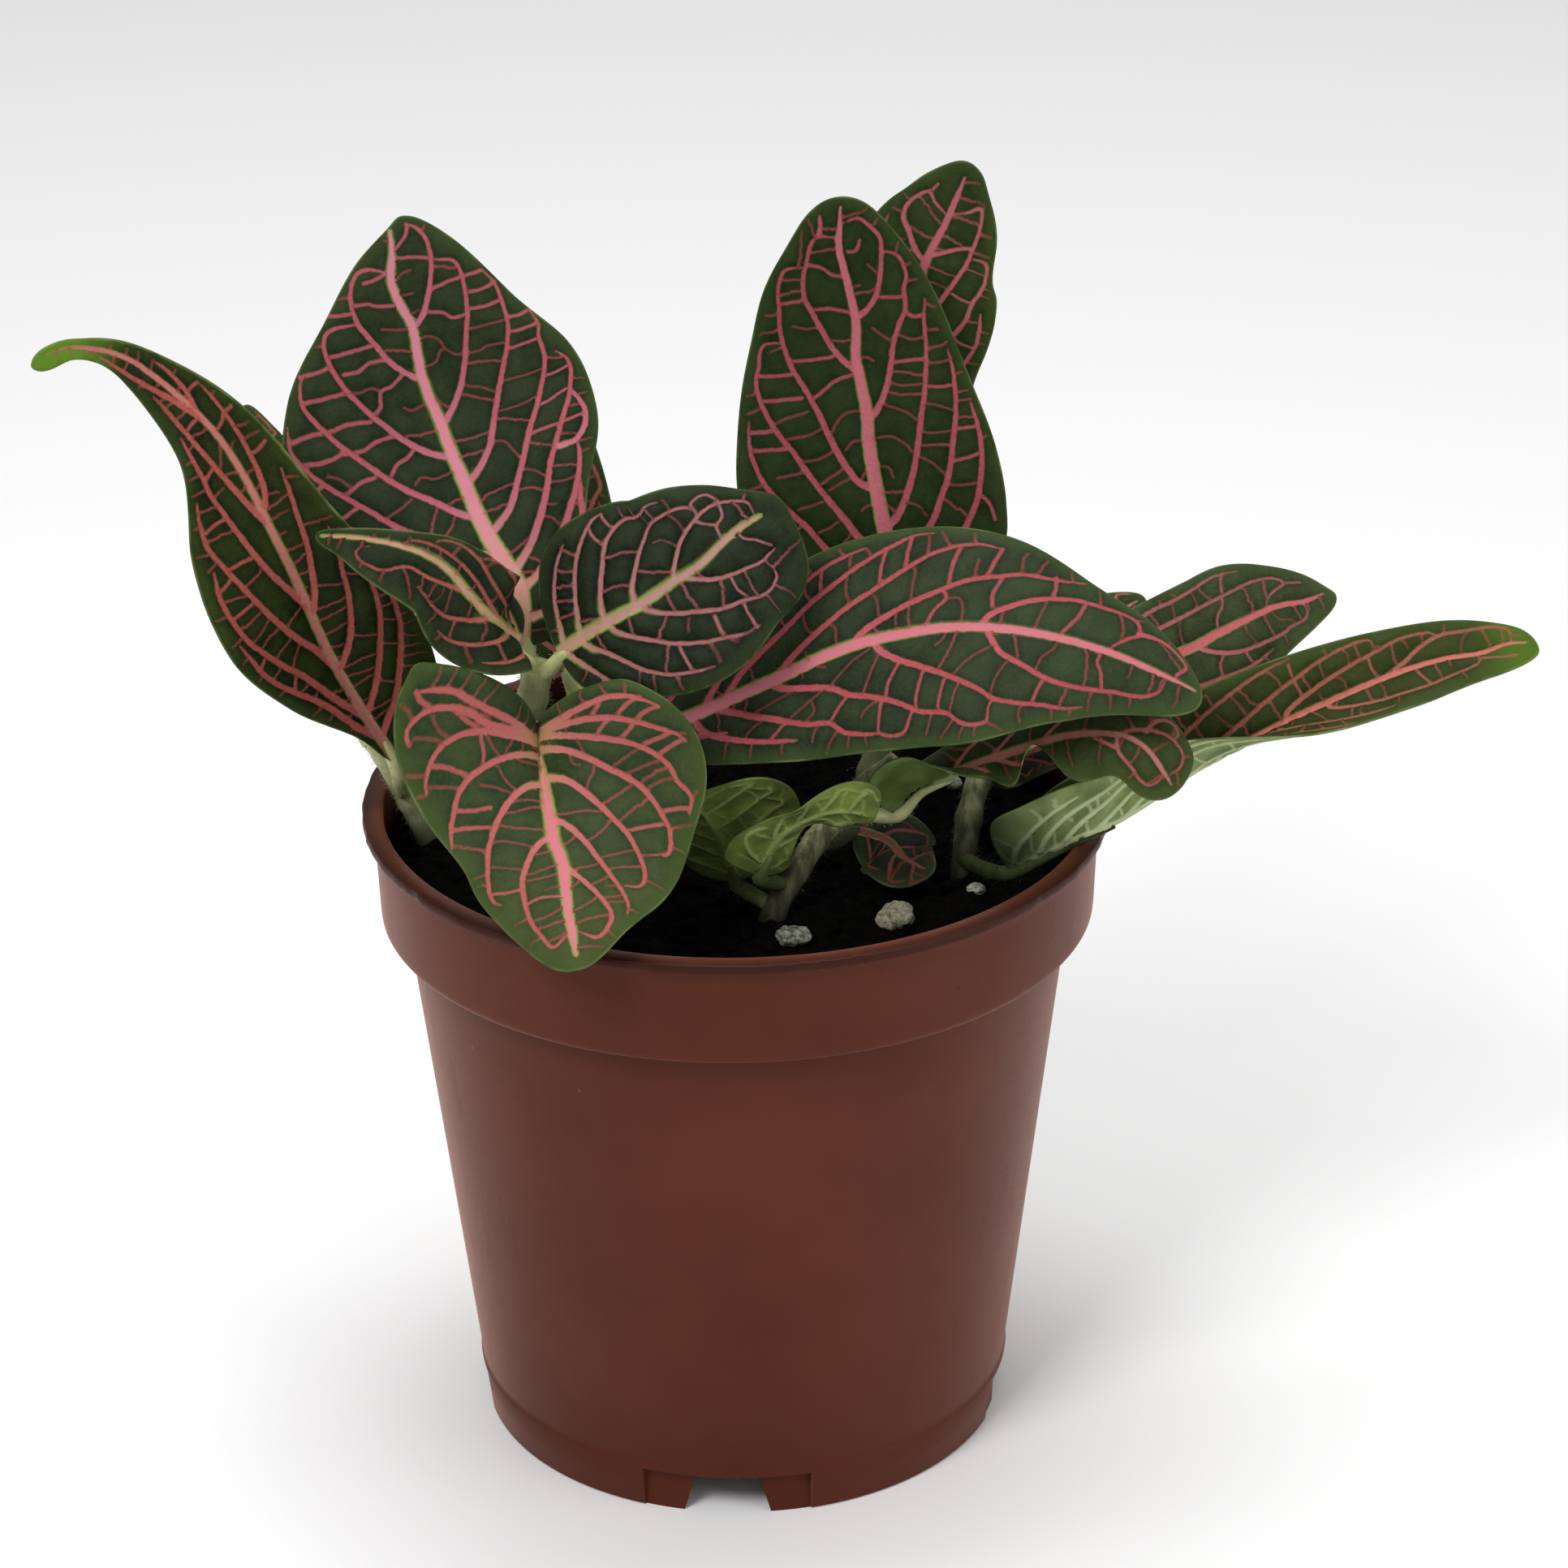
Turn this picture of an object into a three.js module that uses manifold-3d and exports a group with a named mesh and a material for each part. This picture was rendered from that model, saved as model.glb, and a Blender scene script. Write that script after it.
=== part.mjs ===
// Potted nerve plant: a small pink-veined foliage plant in a round plastic nursery pot.
// Units are millimetres. X runs to the right, Y away from the viewer, Z up.
// Places are measured from the pot's axis at the level of its foot.

import * as THREE from 'three';
import { mergeVertices } from 'three/addons/utils/BufferGeometryUtils.js';
import Module from 'manifold-3d';

// Pot
const POT_HEIGHT = 81;
const POT_SIDES = 40;
const WALL = 1.2;
const LIP_RADIUS = 45;
const LIP_HEIGHT = 1.1;
const BAND_RADIUS = 43.5;
const BAND_HEIGHT = 13.6;
const NECK_RADIUS = 40.1;
const FOOT_RADIUS = 32.2;
const SKIRT_HEIGHT = 6.2;
const SKIRT_STEP = 0.2;
const FLOOR_TOP = 7;
const NOTCH_COUNT = 4;
const NOTCH_TURN = -4;
const NOTCH_BOTTOM_WIDTH = 11;
const NOTCH_TOP_WIDTH = 7.8;
const NOTCH_HEIGHT = 5;
const POCKET_WIDTH = 20.5;
const POCKET_HEIGHT = 5.6;
const POCKET_DEPTH = 0.45;
const DRAIN_RADIUS = 3.5;
const DRAIN_CIRCLE = 20;

// Soil and the loose grains on it
const SOIL_LEVEL = 73;
const SOIL_SIDES = 36;
const SOIL_RINGS = [4, 10, 16, 22, 28, 33, 37.5];
const SOIL_ROUGHNESS = 0.6;
const GRAINS = [
  { name: 'grain_beige', place: [18.6, -18.9], radius: 2.2, squash: 0.75 },
  { name: 'grain_grey', place: [6.4, -23.6], radius: 1.9, squash: 0.6 },
  { name: 'grain_white_front', place: [28.3, -10.7], radius: 1.1, squash: 0.7 },
  { name: 'grain_white_back', place: [27, 18], radius: 1.3, squash: 0.7 },
];

// Gap between pieces that rest on or grow from each other
const GAP = 0.3;

// Stems, from the buried foot to the tip
const STEM_SIDES = 8;
const STEMS = {
  stem_main: {
    radius: 1.7,
    path: [[-27, -3, 63], [-27, -4, 73], [-25.5, -8, 86], [-24, -12, 97], [-22.5, -12, 104]],
  },
  stem_left: { radius: 1.4, path: [[-35, 5, 63], [-37.5, 5, 73], [-41, 3, 83], [-45, 1, 92]] },
  stem_middle: {
    radius: 1.5,
    path: [[2, -17, 63], [4, -17, 73], [8, -15, 80], [14, -13, 87], [19, -13, 91]],
  },
  stem_right: { radius: 1.5, path: [[26, -7, 63], [27, -6, 73], [28, -3, 80], [31, 2, 87], [34, 5, 91]] },
  stem_back: { radius: 1.7, path: [[14, 7, 63], [15, 8, 73], [18, 11, 84], [20.5, 13, 93]] },
  stem_rear: { radius: 1.4, path: [[-14, 10, 63], [-14, 10, 73], [-17, 9, 84], [-19, 9, 91]] },
};

// Leaves
const BLADE_THICKNESS = 0.7;
const PETIOLE_RADIUS = 0.95;
const PETIOLE_SIDES = 6;
const QUILT_HEIGHT = 0.35;
const KEEL_DEPTH = 0.5;
const VEIN_SWEEP = 0.9;
const COLUMNS = [-1, -0.7, -0.36, 0, 0.36, 0.7, 1];

// One entry a leaf. rib: points along the midrib, base to tip. face: which way the upper side looks,
// base to tip. half: half widths at even steps round from base to tip. fold: how far that half rises
// from the midrib, in degrees, base to tip. curl: how much further it bends out to the margin.
// wave: height, count and start of the waves along the margin. root: where its stalk meets the stem.
const LEAVES = {
  leaf_tall_left: {
    stem: 'stem_main', root: [-24, -12, 97], pairs: 7,
    rib: [[-24, -7, 104], [-24, -4, 111], [-30, 3, 119], [-35, 9, 130], [-38, 13, 150]],
    face: [[0.1, -0.85, 0.5], [0.1, -0.9, 0.35], [0.05, -0.95, 0.2]],
    left: { half: [5, 8, 11.5, 16.7, 20.2, 17, 11, 6.5, 2], fold: [10, 5, 5], curl: [-10, -15, -20] },
    right: { half: [3, 5.5, 9.7, 15.7, 18, 17, 11.5, 7, 3], fold: [15, 8, 5], curl: [-10, -20, -30] },
  },
  leaf_far_left: {
    stem: 'stem_left', root: [-40, 4, 80], pairs: 8,
    rib: [
      [-40, -8, 90], [-46, -13, 105], [-51, -16, 121], [-58, -14, 134],
      [-67, -10, 141], [-74, -8, 142], [-79, -9, 140],
    ],
    face: [[0.3, -0.8, 0.4], [0.2, -0.8, 0.6], [-0.1, -0.7, 0.7]],
    left: {
      half: [1.2, 2.8, 7.5, 11.5, 10, 5.7, 3.3, 1.8, 1.3],
      fold: [10, 0, -20], curl: [-10, -10, -30], wave: [1.2, 3.5, 0.1],
    },
    right: { half: [4.5, 9, 10.8, 10, 7, 4.7, 2.3, 1, 1.2], fold: [20, 25, 40], curl: [0, 20, 20] },
  },
  leaf_young_left: {
    stem: 'stem_main', root: [-22.5, -12, 102.5], pairs: 6,
    rib: [[-25, -15, 107], [-28, -19, 113], [-33, -21, 120], [-40, -21, 123], [-47, -19, 123]],
    face: [[-0.2, -0.5, 0.85], [-0.2, -0.5, 0.85], [-0.2, -0.3, 0.9]],
    left: { half: [3.2, 6, 7.1, 7.4, 6.6, 6, 4.4, 2.2, 1], fold: [10, 0, -10], curl: [-20, -20, -20] },
    right: { half: [4.5, 6.5, 6.2, 5.2, 4, 2.4, 1.5, 1.1, 0.8], fold: [40, 15, 30], curl: [0, 0, 20] },
  },
  leaf_young_right: {
    stem: 'stem_main', root: [-22.5, -12, 102.5], pairs: 6,
    rib: [[-20, -15, 106], [-13, -17, 112], [-6, -17, 116], [-1, -15, 120], [6, -11, 123]],
    face: [[0, -0.75, 0.65], [0, -0.8, 0.6], [0.1, -0.8, 0.6]],
    left: { half: [5.5, 9.9, 12.3, 12.7, 11.9, 10.5, 7.2, 4, 2], fold: [5, 0, 0], curl: [0, -10, -10] },
    right: { half: [4, 7, 9.5, 11.4, 12.2, 11.2, 10.8, 9.6, 6.5], fold: [5, 0, -5], curl: [0, -10, -20] },
  },
  leaf_front: {
    stem: 'stem_main', root: [-24, -12, 96.5], pairs: 7,
    rib: [[-23, -17, 98], [-22, -25, 94], [-20, -36, 90], [-19, -44, 87], [-18, -49, 83]],
    face: [[-0.05, -0.35, 0.93], [-0.05, -0.5, 0.85], [-0.05, -0.75, 0.65]],
    left: {
      half: [12.5, 17, 19, 18.8, 16, 13.2, 9.8, 5.7, 2.6],
      fold: [80, 0, -5], curl: [-70, -20, -15],
    },
    right: {
      half: [19.5, 21.5, 19.3, 15, 11.2, 9.8, 7.5, 5, 2.6],
      fold: [95, 10, -5], curl: [-75, -20, -20],
    },
  },
  leaf_tall_right: {
    stem: 'stem_back', root: [20.5, 13, 91.5], pairs: 7,
    rib: [[20, 13, 100], [18, 14, 111], [16, 18, 122], [15, 22, 133], [13, 24, 148]],
    face: [[-0.05, -0.9, 0.4], [-0.05, -0.92, 0.35], [0, -0.95, 0.25]],
    left: {
      half: [7, 12.5, 15.5, 16.5, 15, 13, 10.5, 6.6, 3.4],
      fold: [10, 5, 5], curl: [-10, -15, -20],
    },
    right: { half: [8, 13.5, 15, 15, 13.7, 11.5, 9, 6, 3.2], fold: [10, 5, 0], curl: [-10, -20, -30] },
  },
  leaf_broad_right: {
    stem: 'stem_main', root: [-25.2, -9, 88], pairs: 8,
    rib: [
      [-13, -8, 92], [-5, -10, 96], [5, -13, 102], [16, -16, 108],
      [28, -19, 111], [41, -22, 109], [53, -24, 103],
    ],
    face: [[-0.1, -0.5, 0.85], [0, -0.55, 0.8], [0.3, -0.5, 0.8]],
    left: { half: [5, 8.5, 11.5, 13, 13.8, 12.6, 8.9, 7.2, 4], fold: [15, 10, 0], curl: [-10, -15, -20] },
    right: {
      half: [3.5, 6, 9.2, 12.3, 14.2, 14.2, 9.8, 5.5, 2.6],
      fold: [10, 0, -10], curl: [-10, -20, -20],
    },
  },
  leaf_tall_back: {
    stem: 'stem_back', root: [19.4, 12.1, 88.5], pairs: 6,
    rib: [[22, 29, 113], [21, 31, 126], [23, 34, 136], [27, 36, 142], [29, 37, 148]],
    face: [[0.1, -0.9, 0.3], [0.1, -0.9, 0.3], [0.1, -0.95, 0.2]],
    left: { half: [4, 6.7, 7.8, 8.2, 8, 7.7, 6.7, 5, 2.2], fold: [5, 5], curl: [-10, -10] },
    right: { half: [3.8, 7, 8.6, 10.4, 11, 10.1, 7.4, 4.1, 2.2], fold: [5, 5], curl: [-10, -10] },
  },
  leaf_right_upper: {
    stem: 'stem_right', root: [34, 5, 90], pairs: 6,
    rib: [[45, 4, 92], [51, 6, 95], [58, 9, 97], [65, 12, 99], [73, 14, 100]],
    face: [[0, -0.6, 0.8], [0, -0.6, 0.8], [0.1, -0.6, 0.8]],
    left: { half: [3.1, 5.8, 7.6, 8, 8.3, 8.2, 6, 3.8, 1.4], fold: [10, 5, 0], curl: [-10, -10] },
    right: { half: [6, 8, 7.5, 5.5, 2.5], fold: [5, 0, 0], curl: [-20, -20] },
  },
  leaf_far_right: {
    stem: 'stem_right', root: [27, -6, 75], pairs: 8,
    rib: [
      [32, -15, 77.8], [36, -15.6, 80.1], [40, -15.3, 82.2], [44.5, -13.8, 83.4], [50, -11, 85.6],
      [56, -8, 88.2], [69, -6, 94], [83, -4, 99], [95, -3, 100],
    ],
    face: [[-0.2, -0.4, 0.9], [-0.1, -0.4, 0.9], [0, -0.4, 0.9]],
    left: { half: [3, 5.8, 7.6, 8.3, 8, 6.9, 5.3, 4.1, 2.7], fold: [50, 40, 20], curl: [0, 0] },
    right: {
      half: [7.5, 9, 8.3, 8, 8, 6.2, 5.6, 3.8, 1.8],
      fold: [92, 75, 8, 0], curl: [5, 15, 15, -10],
    },
  },
  leaf_right_under: {
    stem: 'stem_middle', root: [12.5, -13.6, 85.3], pairs: 6,
    rib: [
      [18.7, -15, 85.5], [21, -15.5, 88.5], [24.5, -16, 90.4], [30, -17, 93.2],
      [38, -20, 97.5], [45, -23, 98], [51, -25, 93],
    ],
    face: [[0, -0.4, 0.9], [0, -0.5, 0.85], [0.3, -0.8, 0.5]],
    left: { half: [2, 3.5, 5, 6.5, 7, 7, 6, 5, 3.5], fold: [0, 0], curl: [-10, -10] },
    right: {
      half: [2.5, 5, 8, 7, 4.5, 2, 3.8, 0.8, 4.8, 5, 4.8, 4.5, 4.2, 3.4, 2],
      fold: [95, 80, -5, -5, -10, -10], curl: [-20, -20], wave: [1.2, 3, 0.75],
    },
  },
  leaf_behind_far_left: {
    stem: 'stem_left', root: [-44.6, 1.2, 91], pairs: 5,
    rib: [[-46, 3, 90], [-50, 8, 101], [-54, 13, 112], [-56, 16, 119], [-58, 18, 125]],
    face: [[0.1, -0.8, 0.5], [0.1, -0.8, 0.5], [0, -0.8, 0.6]],
    left: { half: [3, 6, 7, 5, 2], fold: [10, 10], curl: [0, 0] },
    right: { half: [3, 6, 7, 5, 2], fold: [10, 10], curl: [0, 0] },
  },
  leaf_rear: {
    stem: 'stem_rear', root: [-19, 9, 89.5], pairs: 6,
    rib: [[-20, 10, 93], [-20, 15, 100], [-20, 20, 109], [-21, 25, 117], [-23, 28, 127]],
    face: [[0, -0.9, 0.4], [0, -0.9, 0.4], [0, -0.95, 0.3]],
    left: { half: [6, 10, 11, 8, 3], fold: [5, 5], curl: [-10, -10] },
    right: { half: [4.5, 6.8, 5.6, 4, 2], fold: [5, 5], curl: [-10, -10] },
  },
  leaf_low_left: {
    stem: 'stem_middle', root: [3.5, -17, 75], pairs: 4,
    rib: [[-0.1, -13.3, 76], [-0.6, -14.3, 78.4], [-1.7, -16.3, 83], [-3.5, -18, 87], [-5.5, -19.5, 90]],
    face: [[0, 0.8, 0.6], [0, 0.7, 0.7], [0, 0.5, 0.8]],
    left: { half: [4, 8, 10, 10, 7], fold: [15, 18, 20], curl: [0, 0] },
    right: { half: [4, 6, 6, 5, 2.5], fold: [10, 10, 10], curl: [0, 0] },
  },
  leaf_low_front: {
    stem: 'stem_middle', root: [5.3, -16.6, 77.2], pairs: 4,
    rib: [[2.6, -19.4, 79.8], [5.1, -21, 85.4], [9.6, -22, 88.7], [13.3, -22, 89.1], [16, -22, 88.2]],
    face: [[0, 0.9, 0.3], [0, 0.9, 0.3], [0, 0.9, 0.3]],
    left: {
      half: [2, 3, 2.5, 2, 1.5, 2, 2.2, 2.2, 1.5],
      fold: [10, 10], curl: [0, 0], wave: [0.8, 2, 0.2],
    },
    right: { half: [3, 5, 5, 3, 2.6, 3, 4, 4.5, 3], fold: [0, 0], curl: [0, 0], wave: [0.8, 2, 0.6] },
  },
  leaf_low_small: {
    stem: 'stem_middle', root: [9, -15, 81.5], pairs: 4,
    rib: [[14, -8, 80], [18, -9, 79], [20, -12, 78], [23, -14, 77]],
    face: [[0, -0.4, 0.9], [0, -0.5, 0.85], [0.3, -0.6, 0.7]],
    left: { half: [3, 5, 5, 4, 2], fold: [0, 0], curl: [-20, -20] },
    right: { half: [3, 5, 5, 4, 2], fold: [0, 0], curl: [-20, -20] },
  },
  leaf_low_right: {
    stem: 'stem_right', root: [28.6, -1.5, 82], pairs: 5,
    rib: [[30, 3, 81], [34, 5, 83], [40, 6, 85], [46, 7, 87]],
    face: [[0, -0.3, 0.95], [0, -0.3, 0.95], [0, -0.3, 0.95]],
    left: { half: [4, 6, 6, 4.5, 2.5], fold: [10, 10], curl: [-10, -10] },
    right: { half: [3, 4, 4, 3.5, 2], fold: [10, 10], curl: [-20, -20] },
  },
  leaf_right_back: {
    stem: 'stem_back', root: [18.5, 11.4, 85.5], pairs: 5,
    rib: [[35, 18, 89.5], [41, 22, 91.5], [46, 25, 92.5], [51, 27, 94.5]],
    face: [[0, -0.4, 0.9], [0, -0.4, 0.9], [0, -0.4, 0.9]],
    left: { half: [3, 5, 5, 4, 2], fold: [5, 5], curl: [-10, -10] },
    right: { half: [3, 5, 5, 4, 2], fold: [5, 5], curl: [-20, -20] },
  },
};

// Colours
const POT_MATERIAL = { color: 0x6b3226, roughness: 0.45, metalness: 0 };
const SOIL_MATERIAL = { color: 0x0d0b09, roughness: 1, metalness: 0 };
const GRAIN_MATERIAL = { color: 0x9a9078, roughness: 0.9, metalness: 0 };
const STEM_MATERIAL = { color: 0x93a374, roughness: 0.6, metalness: 0 };
const LEAF_MATERIAL = { color: 0x2f4a2a, roughness: 0.5, metalness: 0 };

const wasm = await Module();
wasm.setup();

// A closed three.js geometry as a solid that can be joined and cut
function toSolid(geometry) {
  const bare = geometry.clone();
  bare.deleteAttribute('normal');
  bare.deleteAttribute('uv');
  const merged = mergeVertices(bare, 1e-4);
  return new wasm.Manifold(new wasm.Mesh({
    numProp: 3,
    vertProperties: new Float32Array(merged.attributes.position.array),
    triVerts: new Uint32Array(merged.index.array),
  }));
}

function toGeometry(solid) {
  const mesh = solid.getMesh();
  const geometry = new THREE.BufferGeometry();
  geometry.setAttribute('position', new THREE.BufferAttribute(new Float32Array(mesh.vertProperties), 3));
  geometry.setIndex(new THREE.BufferAttribute(new Uint32Array(mesh.triVerts), 1));
  return geometry;
}

function makeMesh(name, geometry, look) {
  geometry.computeVertexNormals();
  const mesh = new THREE.Mesh(geometry, new THREE.MeshStandardMaterial(look));
  mesh.name = name;
  return mesh;
}

// A smooth curve through evenly spaced values, read at t from 0 to 1
function smoothAt(values, t) {
  const last = values.length - 1;
  const place = Math.min(Math.max(t, 0), 1) * last;
  const i = Math.min(Math.floor(place), last - 1);
  const f = place - i;
  const b = values[i];
  const c = values[i + 1];
  const a = i > 0 ? values[i - 1] : 2 * b - c;
  const d = i + 2 <= last ? values[i + 2] : 2 * c - b;
  const square = 2 * a - 5 * b + 4 * c - d;
  const cube = 3 * b - a - 3 * c + d;
  return 0.5 * (2 * b + (c - a) * f + square * f * f + cube * f * f * f);
}

function smoothVector(vectors, t) {
  const parts = [0, 1, 2].map((axis) => smoothAt(vectors.map((vector) => vector[axis]), t));
  return new THREE.Vector3(...parts);
}

const radians = THREE.MathUtils.degToRad;

// Half width of one side of a blade at u, from 0 at the base to 1 at the tip
function halfWidth(side, u) {
  const turn = Math.acos(1 - 2 * u) / Math.PI;
  return Math.max(smoothAt([0, ...side.half, 0], turn), 0);
}

// The blade's middle surface at u along the rib and v across, from -1 at the left margin to 1
function bladePoint(leaf, u, v) {
  const centre = leaf.curve.getPointAt(u);
  const along = leaf.curve.getTangentAt(u);
  const up = smoothVector(leaf.face, u);
  up.addScaledVector(along, -up.dot(along)).normalize();
  const across = new THREE.Vector3().crossVectors(along, up);
  const side = v < 0 ? leaf.left : leaf.right;
  const width = halfWidth(side, u);
  const start = radians(smoothAt(side.fold, u));
  const bend = radians(smoothAt(side.curl, u)) || 1e-4;
  const reach = Math.abs(v);
  const out = (width / bend) * (Math.sin(start + bend * reach) - Math.sin(start));
  let rise = (width / bend) * (Math.cos(start) - Math.cos(start + bend * reach));
  if (side.wave) {
    const [height, count, phase] = side.wave;
    const fade = Math.sqrt(Math.sin(Math.PI * u));
    rise += height * reach ** 2.5 * fade * Math.sin(2 * Math.PI * (count * u + phase));
  }
  return centre.addScaledVector(across, Math.sign(v) * out).addScaledVector(up, rise);
}

// Rows run along the curved side veins: a row that leaves the rib at u meets the margin nearer the tip
function rowPosition(u, v) {
  return u ** (1 / (1 + VEIN_SWEEP * Math.abs(v) ** 1.3));
}

function bladeNormal(leaf, u, v) {
  const step = 1e-3;
  const uLow = Math.max(u - step, 0);
  const uHigh = Math.min(u + step, 1);
  const vLow = Math.max(v - step, -1);
  const vHigh = Math.min(v + step, 1);
  const alongRib = bladePoint(leaf, uHigh, v).sub(bladePoint(leaf, uLow, v));
  const acrossRib = bladePoint(leaf, u, vHigh).sub(bladePoint(leaf, u, vLow));
  return acrossRib.cross(alongRib).normalize();
}

// A blade with quilted panels between its side veins and a keel under its midrib
function bladeGeometry(leaf) {
  const rows = [];
  const steps = 2 * leaf.pairs;
  for (let i = 1; i < steps; i += 1) rows.push(i / steps);
  const top = [];
  const bottom = [];
  const addPoint = (u, v, quilt, keel) => {
    const safe = Math.min(Math.max(u, 0.004), 0.996);
    const normal = bladeNormal(leaf, safe, v);
    const middle = bladePoint(leaf, u, v).addScaledVector(normal, quilt);
    top.push(middle.clone().addScaledVector(normal, BLADE_THICKNESS / 2));
    bottom.push(middle.clone().addScaledVector(normal, -BLADE_THICKNESS / 2 - keel));
  };
  addPoint(0, 0, 0, KEEL_DEPTH);
  rows.forEach((u, i) => {
    for (const v of COLUMNS) {
      const between = i % 2 === 0 && Math.abs(v) > 0 && Math.abs(v) < 1;
      const keel = v === 0 ? KEEL_DEPTH * (1 - u) : 0;
      addPoint(rowPosition(u, v), v, between ? QUILT_HEIGHT : 0, keel);
    }
  });
  addPoint(1, 0, 0, 0);

  const count = top.length;
  const width = COLUMNS.length;
  const at = (row, column) => 1 + row * width + column;
  const faces = [];
  for (let c = 0; c + 1 < width; c += 1) {
    faces.push([0, at(0, c + 1), at(0, c)]);
    for (let r = 0; r + 1 < rows.length; r += 1) {
      const [a, b, d, e] = [at(r, c), at(r, c + 1), at(r + 1, c), at(r + 1, c + 1)];
      if (c < width / 2 - 1) faces.push([a, b, d], [b, e, d]);
      else faces.push([a, b, e], [a, e, d]);
    }
    faces.push([at(rows.length - 1, c), at(rows.length - 1, c + 1), count - 1]);
  }
  const rim = [0];
  for (let r = 0; r < rows.length; r += 1) rim.push(at(r, width - 1));
  rim.push(count - 1);
  for (let r = rows.length - 1; r >= 0; r -= 1) rim.push(at(r, 0));

  const index = [];
  for (const [a, b, c] of faces) {
    index.push(a, b, c);
    index.push(a + count, c + count, b + count);
  }
  rim.forEach((a, i) => {
    const b = rim[(i + 1) % rim.length];
    index.push(a, a + count, b);
    index.push(b, a + count, b + count);
  });
  const geometry = new THREE.BufferGeometry();
  geometry.setFromPoints([...top, ...bottom]);
  geometry.setIndex(index);
  return geometry;
}

// A round bar along a smooth curve
function barGeometry(points, radius, sides, steps) {
  const shape = new THREE.Shape();
  for (let i = 0; i < sides; i += 1) {
    const turn = (2 * Math.PI * i) / sides;
    const corner = [radius * Math.cos(turn), radius * Math.sin(turn)];
    if (i === 0) shape.moveTo(...corner);
    else shape.lineTo(...corner);
  }
  shape.closePath();
  const path = new THREE.CatmullRomCurve3(points.map((point) => new THREE.Vector3(...point)));
  return new THREE.ExtrudeGeometry(shape, { steps, extrudePath: path, bevelEnabled: false });
}

function stemSolid(stem, extra) {
  const points = stem.path.map((point) => [...point]);
  points[0][2] -= extra;
  return toSolid(barGeometry(points, stem.radius + extra, STEM_SIDES, 12));
}

// A leaf: its blade with the stalk fused under the base, cut clear of the stem it grows from
function leafSolid(leaf) {
  leaf.curve = new THREE.CatmullRomCurve3(
    leaf.rib.map((point) => new THREE.Vector3(...point)), false, 'catmullrom', 0.5);
  leaf.curve.arcLengthDivisions = 400;
  const blade = toSolid(bladeGeometry(leaf));
  const root = new THREE.Vector3(...leaf.root);
  const base = bladePoint(leaf, 0, 0);
  const inner = bladePoint(leaf, 0.1, 0).addScaledVector(bladeNormal(leaf, 0.1, 0), -0.6);
  const bow = root.clone().lerp(base, 0.5);
  bow.z -= 0.06 * root.distanceTo(base);
  const path = [root, bow, base, inner].map((point) => point.toArray());
  const stalk = toSolid(barGeometry(path, PETIOLE_RADIUS, PETIOLE_SIDES, 8));
  return blade.add(stalk).subtract(stemSolid(STEMS[leaf.stem], GAP));
}

// Pot: a lathed shell with a raised floor, notches through its skirt and drain holes
function potProfile() {
  const bandBottom = POT_HEIGHT - BAND_HEIGHT;
  const lipBottom = POT_HEIGHT - LIP_HEIGHT;
  const taper = (z) => FOOT_RADIUS + ((NECK_RADIUS - FOOT_RADIUS) * z) / bandBottom;
  const outer = [
    [FOOT_RADIUS + SKIRT_STEP, 0],
    [taper(SKIRT_HEIGHT) + SKIRT_STEP, SKIRT_HEIGHT],
    [taper(SKIRT_HEIGHT + 0.4), SKIRT_HEIGHT + 0.4],
    [NECK_RADIUS, bandBottom],
    [BAND_RADIUS - 0.5, bandBottom + 0.5],
    [BAND_RADIUS, lipBottom - 0.5],
    [LIP_RADIUS, lipBottom],
    [LIP_RADIUS, POT_HEIGHT - 0.3],
    [LIP_RADIUS - 0.4, POT_HEIGHT],
  ];
  const inner = [
    [BAND_RADIUS - WALL, POT_HEIGHT],
    [BAND_RADIUS - WALL - 0.2, bandBottom + 1.2],
    [NECK_RADIUS - WALL, bandBottom - 0.6],
    [taper(FLOOR_TOP + 1) - WALL, FLOOR_TOP + 1],
    [taper(FLOOR_TOP) - WALL - 1, FLOOR_TOP],
    [0, FLOOR_TOP],
    [0, FLOOR_TOP - WALL],
    [FOOT_RADIUS - WALL, FLOOR_TOP - WALL],
    [FOOT_RADIUS - WALL, 0],
  ];
  return [...outer, ...inner];
}

function latheSolid(profile, sides) {
  const points = profile.map(([radius, z]) => new THREE.Vector2(radius, z));
  const geometry = new THREE.LatheGeometry(points, sides);
  geometry.rotateX(Math.PI / 2);
  return toSolid(geometry);
}

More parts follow.
